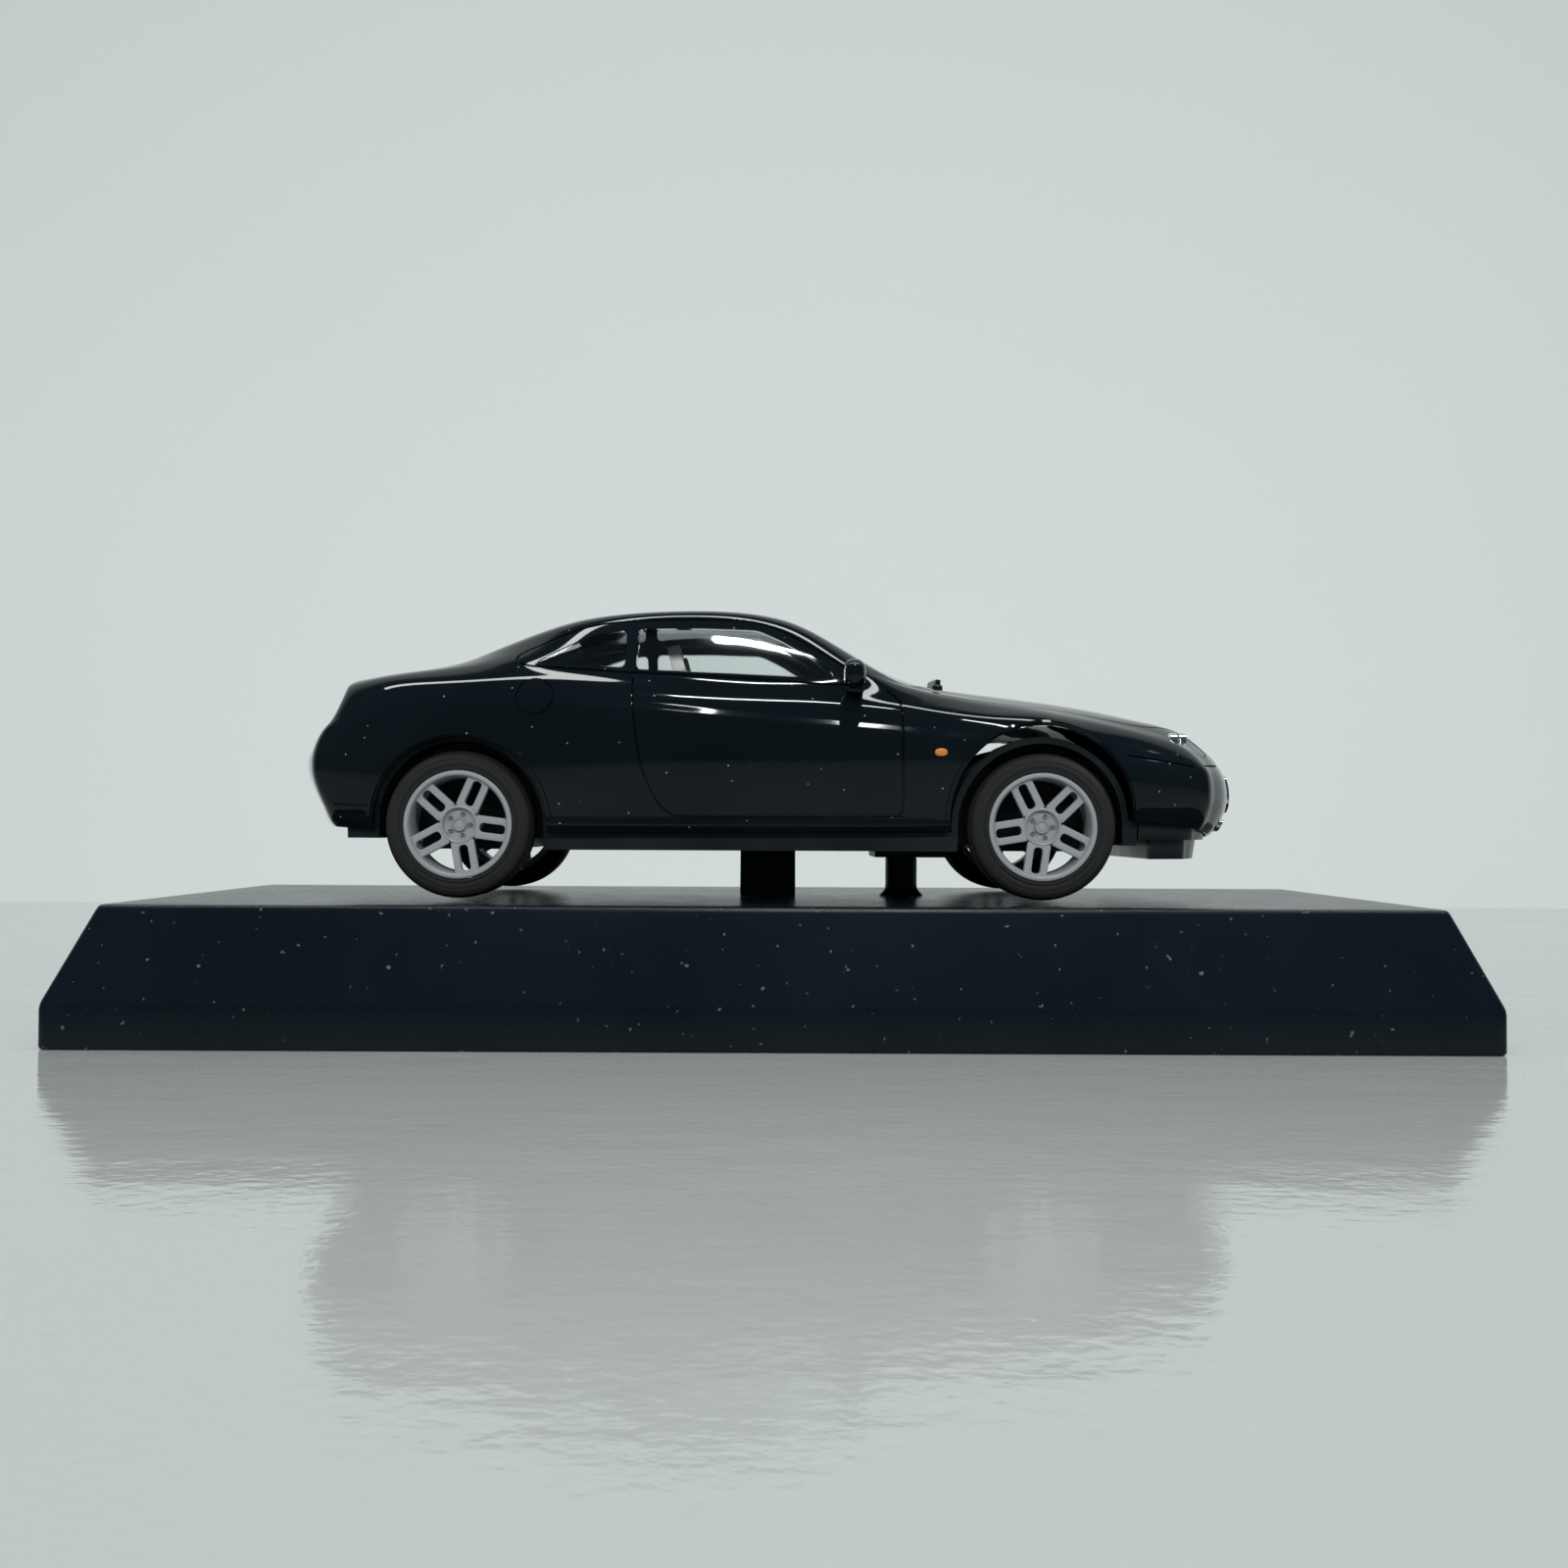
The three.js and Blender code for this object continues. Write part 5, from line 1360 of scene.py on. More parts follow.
SEAMS = (
    Seam(Projection.SIDE, DOOR_SEAM),
    Seam(Projection.TOP, BONNET_SEAM),
    Seam(Projection.TOP, BOOT_SEAM, depth=0.22),
    Seam(Projection.SIDE, [(25.7, 9.95), (26.5, 9.82), (28.76, 9.5), (30.6, 9.2)], depth=0.2),
    Seam(Projection.FRONT, [(10.2, 9.3), (8.5, 9.35), (6.6, 9.4)], depth=0.2, width=0.24),
    Seam(Projection.SIDE, [(-25.6, 6.3), (-27, 6.32), (-28.7, 6.4)], depth=0.18, width=0.2),
    Seam(Projection.SIDE, [(-25.6, 5.8), (-27, 5.8), (-28.6, 5.86)], depth=0.18, width=0.2),
    Seam(Projection.TAIL, [(9.6, 11.1), (6, 11.1), (3, 11.1), (0, 11.1)], depth=0.2, width=0.24),
    Seam(Projection.TAIL, [(8.25, 14.6), (8.2, 12.8), (8, 11.1)], depth=0.2, width=0.24),
    Seam(Projection.TAIL, [(9.8, 6.3), (5, 6.3), (0, 6.3)], depth=0.18, width=0.2),
    Seam(Projection.SIDE, FUEL_FLAP, (Side.RIGHT,), 0.18, 0.16, True),
)
DOOR_GLASS = [(-7.95, 15.72), (5.2, 15.15), (5.75, 15.25), (5.4, 15.75), (3.95, 16.72),
              (1.95, 17.9), (0.4, 18.62), (-3.5, 18.74), (-7.95, 18.7)]
QUARTER_GLASS = [(-15.0, 16.16), (-8.72, 15.84), (-8.72, 18.62), (-10.3, 18.4), (-12, 17.85),
                 (-13.6, 17.05)]
WINDSCREEN = [(-5.15, -8.4), (-5.15, 8.4), (4.7, 10.1), (5.6, 6.6), (5.75, 0), (5.6, -6.6),
              (4.7, -10.1)]
REAR_SCREEN = [(-4.4, -6.9), (-4.4, 6.9), (4.1, 7.2), (4.1, -7.2)]
HEADLAMP_CENTRE = (31.0, 7.6, 10.9)
HEADLAMP_HALVES = (1.35, 2.3)
HEADLAMP_TURNS = (0.5, 0.75)  # outwards and up from facing up, in radians
# Openings in the nose and tail: half width, lowest, highest, radius of the corners.
GRILLE = (3.1, 6.1, 8.9, 1.0)
LOWER_GRILLE = (5.2, 4.75, 5.55, 0.35)
TAIL_STRIP = (9.6, 12.2, 13.1, 0.4)
NOSE, TAIL = 29, -26  # where cuts into the nose and the tail end
FIT = 0.05  # clearance of a piece in its opening
OFF_SKIN = 2e-6  # metres from the uncut surface at which a point is no longer on it
NEARLY_LEVEL = 0.9  # cosine of how far a face may lean from the uncut surface
PIPE_Y, PIPE_Z, PIPE_RADIUS = 7.0, 4.95, 0.5


def screen_cut(outline: Points, centre: Sequence[float], tilt: float, depth: float, grow: float = 0,
               corner: float = 1.1) -> Solid:
    """Pushes a screen's outline square through the sloping glass.

    Args:
        outline: The screen's corners, down its slope and across.
        centre: Its middle.
        tilt: Its slope, in degrees.
        depth: How far to either side of the glass the cut goes.
        grow: How much larger than the outline it is.
        corner: Radius of its corners.

    Returns:
        The cutting solid.
    """
    flat = np.asarray(outline, float)
    flat = flat * (1 + grow / np.abs(flat).max(0))
    cut = prism(rounded(flat, corner), -depth, depth, 2)
    return cut.moved(Matrix.Translation(centre) @ Matrix.Rotation(math.radians(tilt), 4, "Y"))


def side_cut(outline: Points, side: Side, grow: float = 0, corner: float = 0.45) -> Solid:
    """Pushes a window's outline across one side of the car.

    Args:
        outline: The window's corners, x and z.
        side: Which side it is on.
        grow: How much larger than the outline the cut is.
        corner: Radius of its corners.

    Returns:
        The cutting solid.
    """
    flat = np.asarray(outline, float)
    middle = flat.mean(0)
    away = flat - middle
    flat = middle + away * (1 + grow / np.abs(away).max(0))
    low, high = sorted((side.value * 5, side.value * 20))
    return prism(rounded(flat, corner, 6), low, high, 1)


def end_cut(shape: Sequence[float], low: float, high: float, grow: float = 0) -> Solid:
    """Pushes a rounded outline, as seen from the front or the tail, along X.

    Args:
        shape: Half its width, its lowest and highest, and the radius of its corners.
        low: Where the cut starts.
        high: Where it ends.
        grow: How much larger than the outline it is.

    Returns:
        The cutting solid.
    """
    half, z0, z1, corner = shape
    outline = [(-half - grow, z0 - grow), (half + grow, z0 - grow), (half + grow, z1 + grow),
               (-half - grow, z1 + grow)]
    return prism(rounded(outline, corner + grow, 7), low, high, 0)


def lamp_cut(side: Side, grow: float = 0, depth: float = 2.0) -> Solid:
    """Pushes the headlamp's outline into the corner of the nose.

    Args:
        side: Which side it is on.
        grow: How much larger than the outline the cut is.
        depth: How far to either side of the lens it goes.

    Returns:
        The cutting solid.
    """
    cut = prism(ellipse((0, 0), [h + grow for h in HEADLAMP_HALVES]), -depth, depth, 2)
    x, y, z = HEADLAMP_CENTRE
    out, up = HEADLAMP_TURNS
    turn = Matrix.Rotation(side.value * out, 4, "Z") @ Matrix.Rotation(up, 4, "Y")
    return cut.moved(Matrix.Translation((x, side.value * y, z)) @ turn)


WINDOW_CUTS = {
    "windscreen": lambda grow=0.0: screen_cut(WINDSCREEN, (7.4, 0, 17.6), 28.5, 2.4, grow),
    "rear_screen": lambda grow=0.0: screen_cut(REAR_SCREEN, (-17.5, 0, 18), -22.5, 2, grow),
}


@dataclass
class BodyShell:
    """The diecast body: one casting with its panel lines, openings and arch lips.

    Attributes:
        surface: The surface that it is cut from.
        well_inner: Where the wheel openings begin, from the middle.
        arches: Each arch's centre x and z, and its radius.
        lip: Width and height of the lip round an arch.
    """

    surface: BodySurface
    well_inner: float
    arches: tuple[tuple[float, float, float], ...]
    lip: tuple[float, float] = (0.34, 0.16)

    def _seam_tools(self) -> list[bpy.types.Object]:
        """Makes the bars that cut the panel lines.

        Returns:
            The bars.
        """
        tools = []
        for seam in SEAMS:
            for side in seam.sides:
                flat = cubic(seam.points, 0.3)
                if seam.closed:
                    flat = np.asarray(seam.points)
                if seam.how is not Projection.SIDE:
                    column = 1 if seam.how is Projection.TOP else 0
                    flat = flat * np.where(np.arange(2) == column, side.value, 1)
                line = self.surface.throw(flat, seam.how, side)
                tools.append(ribbon("seam", line, seam.width, seam.width * 0.45, seam.depth, 0.4,
                                    seam.closed))
        for side in BOTH:
            flat = rounded(GLASS_LINE, 0.5, 4)
            line = self.surface.throw(flat, Projection.SIDE, side)
            tools.append(ribbon("glass_line", line, 0.3, 0.16, 0.14, 0.4, True))
        return tools

    def _opening_tools(self) -> list[bpy.types.Object]:
        """Makes what cuts the windows, arches, lamps, grilles and the pipe's notch.

        Returns:
            The cutting objects.
        """
        solids = [cut() for cut in WINDOW_CUTS.values()]
        for side in BOTH:
            solids += [side_cut(DOOR_GLASS, side), side_cut(QUARTER_GLASS, side),
                       lamp_cut(side, FIT)]
            low, high = sorted((side.value * self.well_inner, side.value * 20))
            for x, z, radius in self.arches:
                arc = [(x + radius * math.cos(a), z + radius * math.sin(a))
                       for a in np.linspace(0, math.pi, 65)]
                solids.append(prism([(x + radius, 0), *arc, (x - radius, 0)], low, high, 1))
        solids += [end_cut(GRILLE, NOSE, FAR, FIT), end_cut(LOWER_GRILLE, NOSE, FAR, FIT),
                   end_cut(TAIL_STRIP, -FAR, TAIL, FIT)]
        reach = PIPE_RADIUS + 0.2
        half_round = [(PIPE_Y + reach * math.cos(a), PIPE_Z + reach * math.sin(a))
                      for a in np.linspace(0, math.pi, 17)]
        notch = [(PIPE_Y + reach, 0), *half_round, (PIPE_Y - reach, 0)]
        solids.append(prism(notch, -FAR, -28.05, 0))
        return [make_object("opening", solid) for solid in solids]

    def _lips(self) -> list[bpy.types.Object]:
        """Makes the lips that stand round the wheel arches.

        Returns:
            One lip to an arch.
        """
        width, height = self.lip
        lips = []
        for side in BOTH:
            for x, z, radius in self.arches:
                reach = radius + width / 2 + 0.03
                start = math.asin(max(-1.0, (5.4 - z) / reach))
                arc = np.array([(x + reach * math.cos(a), z + reach * math.sin(a))
                                for a in np.linspace(start, math.pi - start, 72)])
                line = self.surface.throw(arc, Projection.SIDE, side)
                lips.append(smooth(ribbon("lip", line, width * 0.55, width, 0.12, height), 50))
        return lips

    def build(self) -> bpy.types.Object:
        """Cuts the body and gives its skin the uncut surface's normals.

        Returns:
            The body.
        """
        shell = self.surface.skin.copy()
        shell.data = self.surface.skin.data.copy()
        bpy.context.scene.collection.objects.link(shell)
        tools = [self.surface.form(self.surface.wall)] + self._opening_tools() + self._seam_tools()
        carve(shell, tools)
        body = joined("body_casting", [shell, *self._lips()])
        self._steady_normals(body)
        return dress(body, PAINT, Body.CAR, ["body_shell"])

    def _steady_normals(self, shell: bpy.types.Object) -> None:
        """Keeps reflections clean next to cuts, by normals read off the uncut surface.

        Args:
            shell: The cut body.
        """
        mesh = shell.data
        smooth(shell, 28)
        skin = self.surface.skin.data
        found = []
        for vertex in mesh.vertices:
            spot, _, face, gap = self.surface.tree.find_nearest(vertex.co)
            if gap > OFF_SKIN:
                found.append(None)
                continue
            normal = Vector()
            for corner in skin.polygons[face].vertices:
                near = skin.vertices[corner]
                normal += near.normal / ((near.co - spot).length + 1e-6) ** 2
            found.append(normal.normalized())
        loops = [(0.0, 0.0, 0.0)] * len(mesh.loops)
        for face in mesh.polygons:
            ends = [found[v] for v in face.vertices]
            if None in ends or min(face.normal.dot(n) for n in ends) < NEARLY_LEVEL:
                continue
            for loop, normal in zip(face.loop_indices, ends):
                loops[loop] = tuple(normal)
        mesh.normals_split_custom_set(loops)


# ---------------------------------------------------------------- repeats
class Repeat:
    """A Geometry Nodes tree that repeats a seed piece round an axis or along a row.

    Attributes:
        tree: The tree.
        inputs: The identifier of each of its named inputs.
    """

    SOCKETS = {
        "Seed": "NodeSocketObject", "Count": "NodeSocketInt", "Step": "NodeSocketVector",
        "Axis": "NodeSocketVector", "Turn": "NodeSocketFloat", "Centre": "NodeSocketVector",
        "Finish": "NodeSocketMaterial",
    }

    def __init__(self) -> None:
        """Builds the tree once: copies stepped along a line, each turned a little further."""
        self.tree = bpy.data.node_groups.new("repeat", "GeometryNodeTree")
        face = self.tree.interface
        self.inputs = {name: face.new_socket(name, in_out="INPUT", socket_type=kind).identifier
                       for name, kind in self.SOCKETS.items()}
        face.new_socket("Geometry", in_out="OUTPUT", socket_type="NodeSocketGeometry")
        given = self._node("NodeGroupInput")
        seed = self._node("GeometryNodeObjectInfo", Object=given.outputs["Seed"])
        line = self._node("GeometryNodeMeshLine", Count=given.outputs["Count"],
                          Offset=given.outputs["Step"])
        index = self._node("GeometryNodeInputIndex")
        angle = self._node("ShaderNodeMath")
        angle.operation = "MULTIPLY"
        self.tree.links.new(index.outputs[0], angle.inputs[0])
        self.tree.links.new(given.outputs["Turn"], angle.inputs[1])
        turn = self._node("FunctionNodeAxisAngleToRotation", Axis=given.outputs["Axis"],
                          Angle=angle.outputs[0])
        copies = self._node("GeometryNodeInstanceOnPoints", Points=line.outputs[0],
                            Instance=seed.outputs["Geometry"], Rotation=turn.outputs[0])
        moved = self._node("GeometryNodeTransform", Geometry=copies.outputs[0],
                           Translation=given.outputs["Centre"])
        real = self._node("GeometryNodeRealizeInstances", Geometry=moved.outputs[0])
        dressed = self._node("GeometryNodeSetMaterial", Geometry=real.outputs[0],
                             Material=given.outputs["Finish"])
        self._node("NodeGroupOutput", Geometry=dressed.outputs[0])

    def _node(self, kind: str, **links: bpy.types.NodeSocket) -> bpy.types.Node:
        """Adds a node.

        Args:
            kind: The node's type.
            links: What is linked to its inputs, by name.

        Returns:
            The node.
        """
        made = self.tree.nodes.new(kind)
        for name, socket in links.items():
            self.tree.links.new(socket, made.inputs[name])
        return made

    def _run(self, name: str, **values: object) -> bpy.types.Object:
        """Runs the tree once, and removes the seed.

        Args:
            name: The new object's name.
            values: The tree's inputs, by name.

        Returns:
            The copies as one plain mesh.
        """
        made = bpy.data.objects.new(name, bpy.data.meshes.new(name))
        bpy.context.scene.collection.objects.link(made)
        modifier = made.modifiers.new("repeat", "NODES")
        modifier.node_group = self.tree
        for key, value in values.items():
            modifier[self.inputs[key]] = value
        settle(made)
        bpy.data.objects.remove(values["Seed"])
        return made

    def ring(self, name: str, seed: bpy.types.Object, count: int, centre: Sequence[float],
             finish: Finish, axis: Sequence[float] = (0.0, 1.0, 0.0)) -> bpy.types.Object:
        """Spreads copies of a seed evenly round an axis.

        Args:
            name: The new object's name.
            seed: What is copied, drawn about the origin.
            count: How many there are.
            centre: A point of the axis, in metres.
            finish: What they are made of.
            axis: The axis's direction.

        Returns:
            The copies as one plain mesh.
        """
        return self._run(name, Seed=seed, Count=count, Step=(0.0, 0.0, 0.0), Axis=axis,
                         Turn=2 * math.pi / count, Centre=[float(c) for c in centre],
                         Finish=finish.make())

    def row(self, name: str, seed: bpy.types.Object, count: int, step: Sequence[float],
            finish: Finish) -> bpy.types.Object:
        """Makes copies of a seed in a row, the first where the seed is.

        Args:
            name: The new object's name.
            seed: What is copied.
            count: How many there are.
            step: From each to the next, in millimetres.
            finish: What they are made of.

        Returns:
            The copies as one plain mesh.
        """
        return self._run(name, Seed=seed, Count=count, Step=[s * MM for s in step],
                         Axis=(0.0, 0.0, 1.0), Turn=0.0, Centre=(0.0, 0.0, 0.0),
                         Finish=finish.make())


REPEAT = Repeat()


def painted(piece: bpy.types.Object, finish: Finish) -> bpy.types.Object:
    """Gives a part of a piece its own material before it is joined to the rest.

    Args:
        piece: The part.
        finish: What it is made of.

    Returns:
        The same part.
    """
    piece.data.materials.clear()
    piece.data.materials.append(finish.make())
    return piece


def rounded_block(low: Sequence[float], high: Sequence[float], edge: float,
                  turn: Matrix | None = None) -> bpy.types.Object:
    """Makes a box with rounded edges, turned about its middle.

    Args:
        low: Its lowest corner.
        high: Its highest corner.
        edge: Width of the rounding.
        turn: How it is turned, if it is.

    Returns:
        The box as an object.
    """
    middle = [(a + b) / 2 for a, b in zip(low, high)]
    solid = block([a - m for a, m in zip(low, middle)], [b - m for b, m in zip(high, middle)])
    solid = solid.moved(Matrix.Translation(middle) @ (turn or Matrix.Identity(4)))
    return soften(make_object("block", solid), edge, 3)


def egg(centre: Sequence[float], halves: Sequence[float], power: float = 2.5,
        sides: int = 32) -> Solid:
    """Makes a closed rounded form.

    Args:
        centre: Its middle.
        halves: Half its length, width and height.
        power: Two for an ellipsoid, more for a squarer form.
        sides: Faces round it.

    Returns:
        The closed solid.
    """
    def bent(value: float) -> float:
        """A sine or cosine under the form's power."""
        return math.copysign(abs(value) ** (2 / power), value)

    rings = []
    for v in np.linspace(-math.pi / 2 + 0.02, math.pi / 2 - 0.02, sides // 2):
        rings.append(np.array([
            (centre[0] + halves[0] * bent(math.cos(v)) * bent(math.cos(u)),
             centre[1] + halves[1] * bent(math.sin(v)),
             centre[2] + halves[2] * bent(math.cos(v)) * bent(math.sin(u)))
            for u in np.linspace(0, 2 * math.pi, sides, endpoint=False)]))
    return loft(rings)


# ---------------------------------------------------------------- plinth and posts
@dataclass
class Plinth:
    """The hollow moulded plinth, with posts on it.

    Attributes:
        wall: Thickness of the moulding.
        band: Height of its upright rim.
        slope: How far the sloping sides come in.
        corner: Radius of its upright corners.
        edge: Radius of its other edges.
        ribs: How many ribs cross its inside.
        rib_pitch: From each to the next.
    """

    wall: float = 1.8
    band: float = 2.8
    slope: float = 2.67
    corner: float = 0.8
    edge: float = 0.28
    ribs: int = 7
    rib_pitch: float = 12

    def _ring(self, inset: float, z: float, centre: np.ndarray, halves: np.ndarray) -> np.ndarray:
        """Draws one level of the plinth's outside or inside.

        Args:
            inset: How far it is in from the plinth's widest.
            z: Its height.
            centre: The plinth's middle, x and y.
            halves: Half the plinth's length and width.

        Returns:
            Points round it.
        """
        hx, hy = halves - inset
        plan = rounded([(-hx, -hy), (hx, -hy), (hx, hy), (-hx, hy)], self.corner, 7) + centre
        return np.column_stack([plan, np.full(len(plan), z)])

    def build(self) -> bpy.types.Object:
        """Lofts the outside down to the foot and up inside, and adds bosses and ribs.

        Returns:
            The plinth.
        """
        low, high = (np.array(c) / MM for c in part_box("plinth"))
        centre, halves, top = (low + high)[:2] / 2, (high - low)[:2] / 2, high[2]
        e, band, slope, wall = self.edge, self.band, self.slope, self.wall
        run = slope / (top - band)
        # Inset and height, from the ceiling inside, round the foot, to the top outside.
        profile = [
            (slope + wall + 3, top - wall), (slope + wall, top - wall), (wall + 0.1, band),
            (wall, band - 0.4), (wall, 0.15), (wall - 0.15, 0), (0.2, 0), (0.06, 0.06), (0, 0.2),
            (0, band - e), (0.02, band - e / 3), (run * e / 2, band + e / 3), (run * e, band + e),
            (slope - run * e * 1.3, top - e * 1.3), (slope - run * 0.3 * e, top - 0.45 * e),
            (slope + 0.25 * e, top - 0.12 * e), (slope + 0.8 * e, top), (slope + 3, top),
        ]
        rings = [self._ring(inset, z, centre, halves) for inset, z in profile]
        parts = [smooth(make_loose("shell", loft(rings)), 35)]
        for node in ("rear_display_screw", "front_display_screw"):
            x = box_middle(node).x / MM
            root = top - wall + 0.3
            boss = turned([(1.5, 1.0), (2.1, 1.0), (2.3, root), (1.5, root)], (x, 0, 0), 2, 40)
            parts.append(smooth(make_loose("boss", boss)))
        reach = halves[1] - slope - wall - 0.3
        first = -self.rib_pitch * (self.ribs - 1) / 2
        rib = block((first - 0.4, -reach, top - wall - 2.6), (first + 0.4, reach, top - wall + 0.2))
        parts.append(REPEAT.row("ribs", make_loose("rib", rib), self.ribs,
                                (self.rib_pitch, 0, 0), PLINTH_PLASTIC))
        for part in parts:
            painted(part, PLINTH_PLASTIC)
        return dress(joined("plinth_moulding", parts), PLINTH_PLASTIC, Body.CAR, ["plinth"])


@dataclass
class Posts:
    """The square and the round post that carry the car.

    Attributes:
        rear_half: Half the square post's width.
        front_radius: The round post's radius.
        foot_radius: Radius of its flared foot.
    """

    rear_half: float = 2.05
    front_radius: float = 1.18
    foot_radius: float = 1.65

    def build(self) -> None:
        """Makes both posts between the plinth and the chassis."""
        for node, square in (("rear_post", True), ("front_post", False)):
            low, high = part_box(node)
            (x, y, _), z0, z1 = (low + high) / 2 / MM, low.z / MM, high.z / MM
            if square:
                rings = []
                for h, z in ((self.rear_half, z0), (self.rear_half, z0 + 0.3),
                             (self.rear_half - 0.02, z1)):
                    plan = rounded([(-h, -h), (h, -h), (h, h), (-h, h)], 0.35, 5) + (x, y)
                    rings.append(np.column_stack([plan, np.full(len(plan), z)]))
                solid = loft(rings)
            else:
                r, f = self.front_radius, self.foot_radius
                solid = turned([(0.7, z0), (f, z0), (f - 0.06, z0 + 0.12), (r + 0.16, z0 + 0.35),
                                (r + 0.03, z0 + 0.6), (r, z0 + 0.9), (r, z1 - 0.08),
                                (r - 0.08, z1), (0.7, z1)], (x, y, 0), 2, 48)
            piece = make_loose(node + "_moulding", solid)
            if square:
                soften(piece, 0.08, 2, 40)
            dress(smooth(piece), POST_PLASTIC, Body.CAR, [node])


# ---------------------------------------------------------------- windows
@dataclass
class Glazing:
    """The clear moulding: panes that fill the openings nearly flush.

    Attributes:
        surface: The surface that they follow.
        sunk: How far under it they lie.
        thick: Their thickness.
        gap: The clearance round them.
    """

    surface: BodySurface
    sunk: float = 0.05
    thick: float = 0.45
    gap: float = 0.06

    @staticmethod
    def _cuts(grow: float) -> Solid:
        """Makes every window's outline one cutting solid.

        Args:
            grow: How much larger than the openings the outlines are.

        Returns:
            The cutting solid.
        """
        solids = [cut(grow) for cut in WINDOW_CUTS.values()]
        for side in BOTH:
            solids += [side_cut(DOOR_GLASS, side, grow), side_cut(QUARTER_GLASS, side, grow)]
        return solids[0].join(*solids[1:])

    def build(self) -> bpy.types.Object:
        """Makes the moulding.

        Returns:
            The moulding.
        """
        pane = self.surface.band(self._cuts(-self.gap), self.sunk, self.sunk + self.thick)
        pane = painted(smooth(pane, 30), GLASS)
        return dress(joined("clear_window_moulding", [pane]), GLASS, Body.CAR, ["glazing"])


# ---------------------------------------------------------------- cabin
@dataclass
class Cabin:
    """Seats, dashboard, steering wheel and door cards.

    Attributes:
        surface: The body's surface, which the dashboard ends under.
        seat_x: Where the front seats' cushions have their middle.
        spacing: Distance between the two front seats.
        floor: The cabin's floor.
        dash_x: The dashboard's rear edge.
    """

    surface: BodySurface
    seat_x: float = -0.6
    spacing: float = 10.2
    floor: float = 7.05
    dash_x: float = 7.0

    @staticmethod
    def _panel(width: float, height: float, depth: float, bolster: float, pleats: int) -> Solid:
        """An upholstered panel standing in the YZ plane, its face towards +X.

        Args:
            width: Along Y.
            height: Along Z, from nought.
            depth: Thickness along X.
            bolster: How far the side bolsters stand proud.
            pleats: How many sewn pleats cross the middle.

        Returns:
            The closed solid.
        """
        rings = []
        across = np.linspace(-1, 1, 25)
        for v in np.linspace(0, 1, 8 * pleats + 1):
            taper = 1 - 0.1 * v ** 4
            edge = (1 - (2 * v - 1) ** 10) ** 0.5
            front, back = [], []
            for u in across:
                side = (1 - abs(u) ** 6) ** 0.5
                rise = bolster * math.exp(-((abs(u) - 0.74) / 0.16) ** 2)
                seam = 0.16 * math.exp(-((abs(u) - 0.5) / 0.035) ** 2)
                pleat = 0.09 * abs(math.sin(math.pi * v * pleats)) ** 0.6 if abs(u) < 0.47 else 0
                x = depth / 2 + (rise + pleat - seam) * edge
                front.append((x * side * edge, u * width / 2 * taper, v * height))
                back.append((-depth / 2 * side * edge, u * width / 2 * taper, v * height))
            rings.append(np.array(front + back[::-1]))
        return loft(rings)

    def _seat(self, side: Side) -> None:
        """Makes a front seat.

        Args:
            side: Which side it stands on.
        """
        y = side.value * self.spacing / 2
        lean = Matrix.Rotation(math.radians(-15), 4, "Y")
        back = self._panel(4.7, 6.7, 1.1, 0.55, 6)
        back = back.moved(Matrix.Translation((self.seat_x - 2.7, y, self.floor + 2.2)) @ lean)
        flat = Matrix.Rotation(math.radians(-84), 4, "Y")
        cushion = self._panel(4.7, 5.4, 1.3, 0.5, 5)
        cushion = cushion.moved(Matrix.Translation((self.seat_x + 2.9, y, self.floor + 1.7)) @ flat)
        base = rounded_block((self.seat_x - 2.6, y - 2.1, self.floor + 0.02),
                             (self.seat_x + 2.5, y + 2.1, self.floor + 1.3), 0.25)
        head_at = Matrix.Translation((self.seat_x - 4.9, y, self.floor + 9.9)) @ lean
        outlines = (  # the headrest, the hole through it, and the insert in the hole
            ([(-1.35, -1.05), (1.35, -1.05), (1.2, 1.05), (-1.2, 1.05)], 0.5, 6, 0.45),
            ([(-0.75, -0.5), (0.75, -0.5), (0.65, 0.5), (-0.65, 0.5)], 0.25, 5, 1),
            ([(-0.8, -0.55), (0.8, -0.55), (0.7, 0.55), (-0.7, 0.55)], 0.25, 5, 0.2),
        )
        solids = [prism(rounded(corners, radius, steps), -deep, deep, 0)
                  for corners, radius, steps, deep in outlines]
        head, hole, insert = [make_object("head", solid.moved(head_at)) for solid in solids]
        soften(carve(head, [hole]), 0.12, 2)
        soften(insert, 0.06)
        stalks = [turned([(0, -1.9), (0.12, -1.9), (0.12, -0.9), (0, -0.9)], (0, s, 0), 2, 12)
                  for s in (-0.6, 0.6)]
        stalk = smooth(make_object("stalks", stalks[0].join(stalks[1]).moved(head_at)))
        light = [smooth(make_object("back", back), 40), smooth(make_object("cushion", cushion), 40)]
        pieces = [painted(piece, CABIN_LIGHT) for piece in light]
        pieces += [painted(base, CABIN_DARK), painted(head, CABIN_LIGHT),
                   painted(insert, CABIN_DARK), painted(stalk, CABIN_DARK)]
        dress(joined("seat_" + side.hand, pieces), CABIN_LIGHT, Body.CAR,
              ["front_seat_" + side.hand])

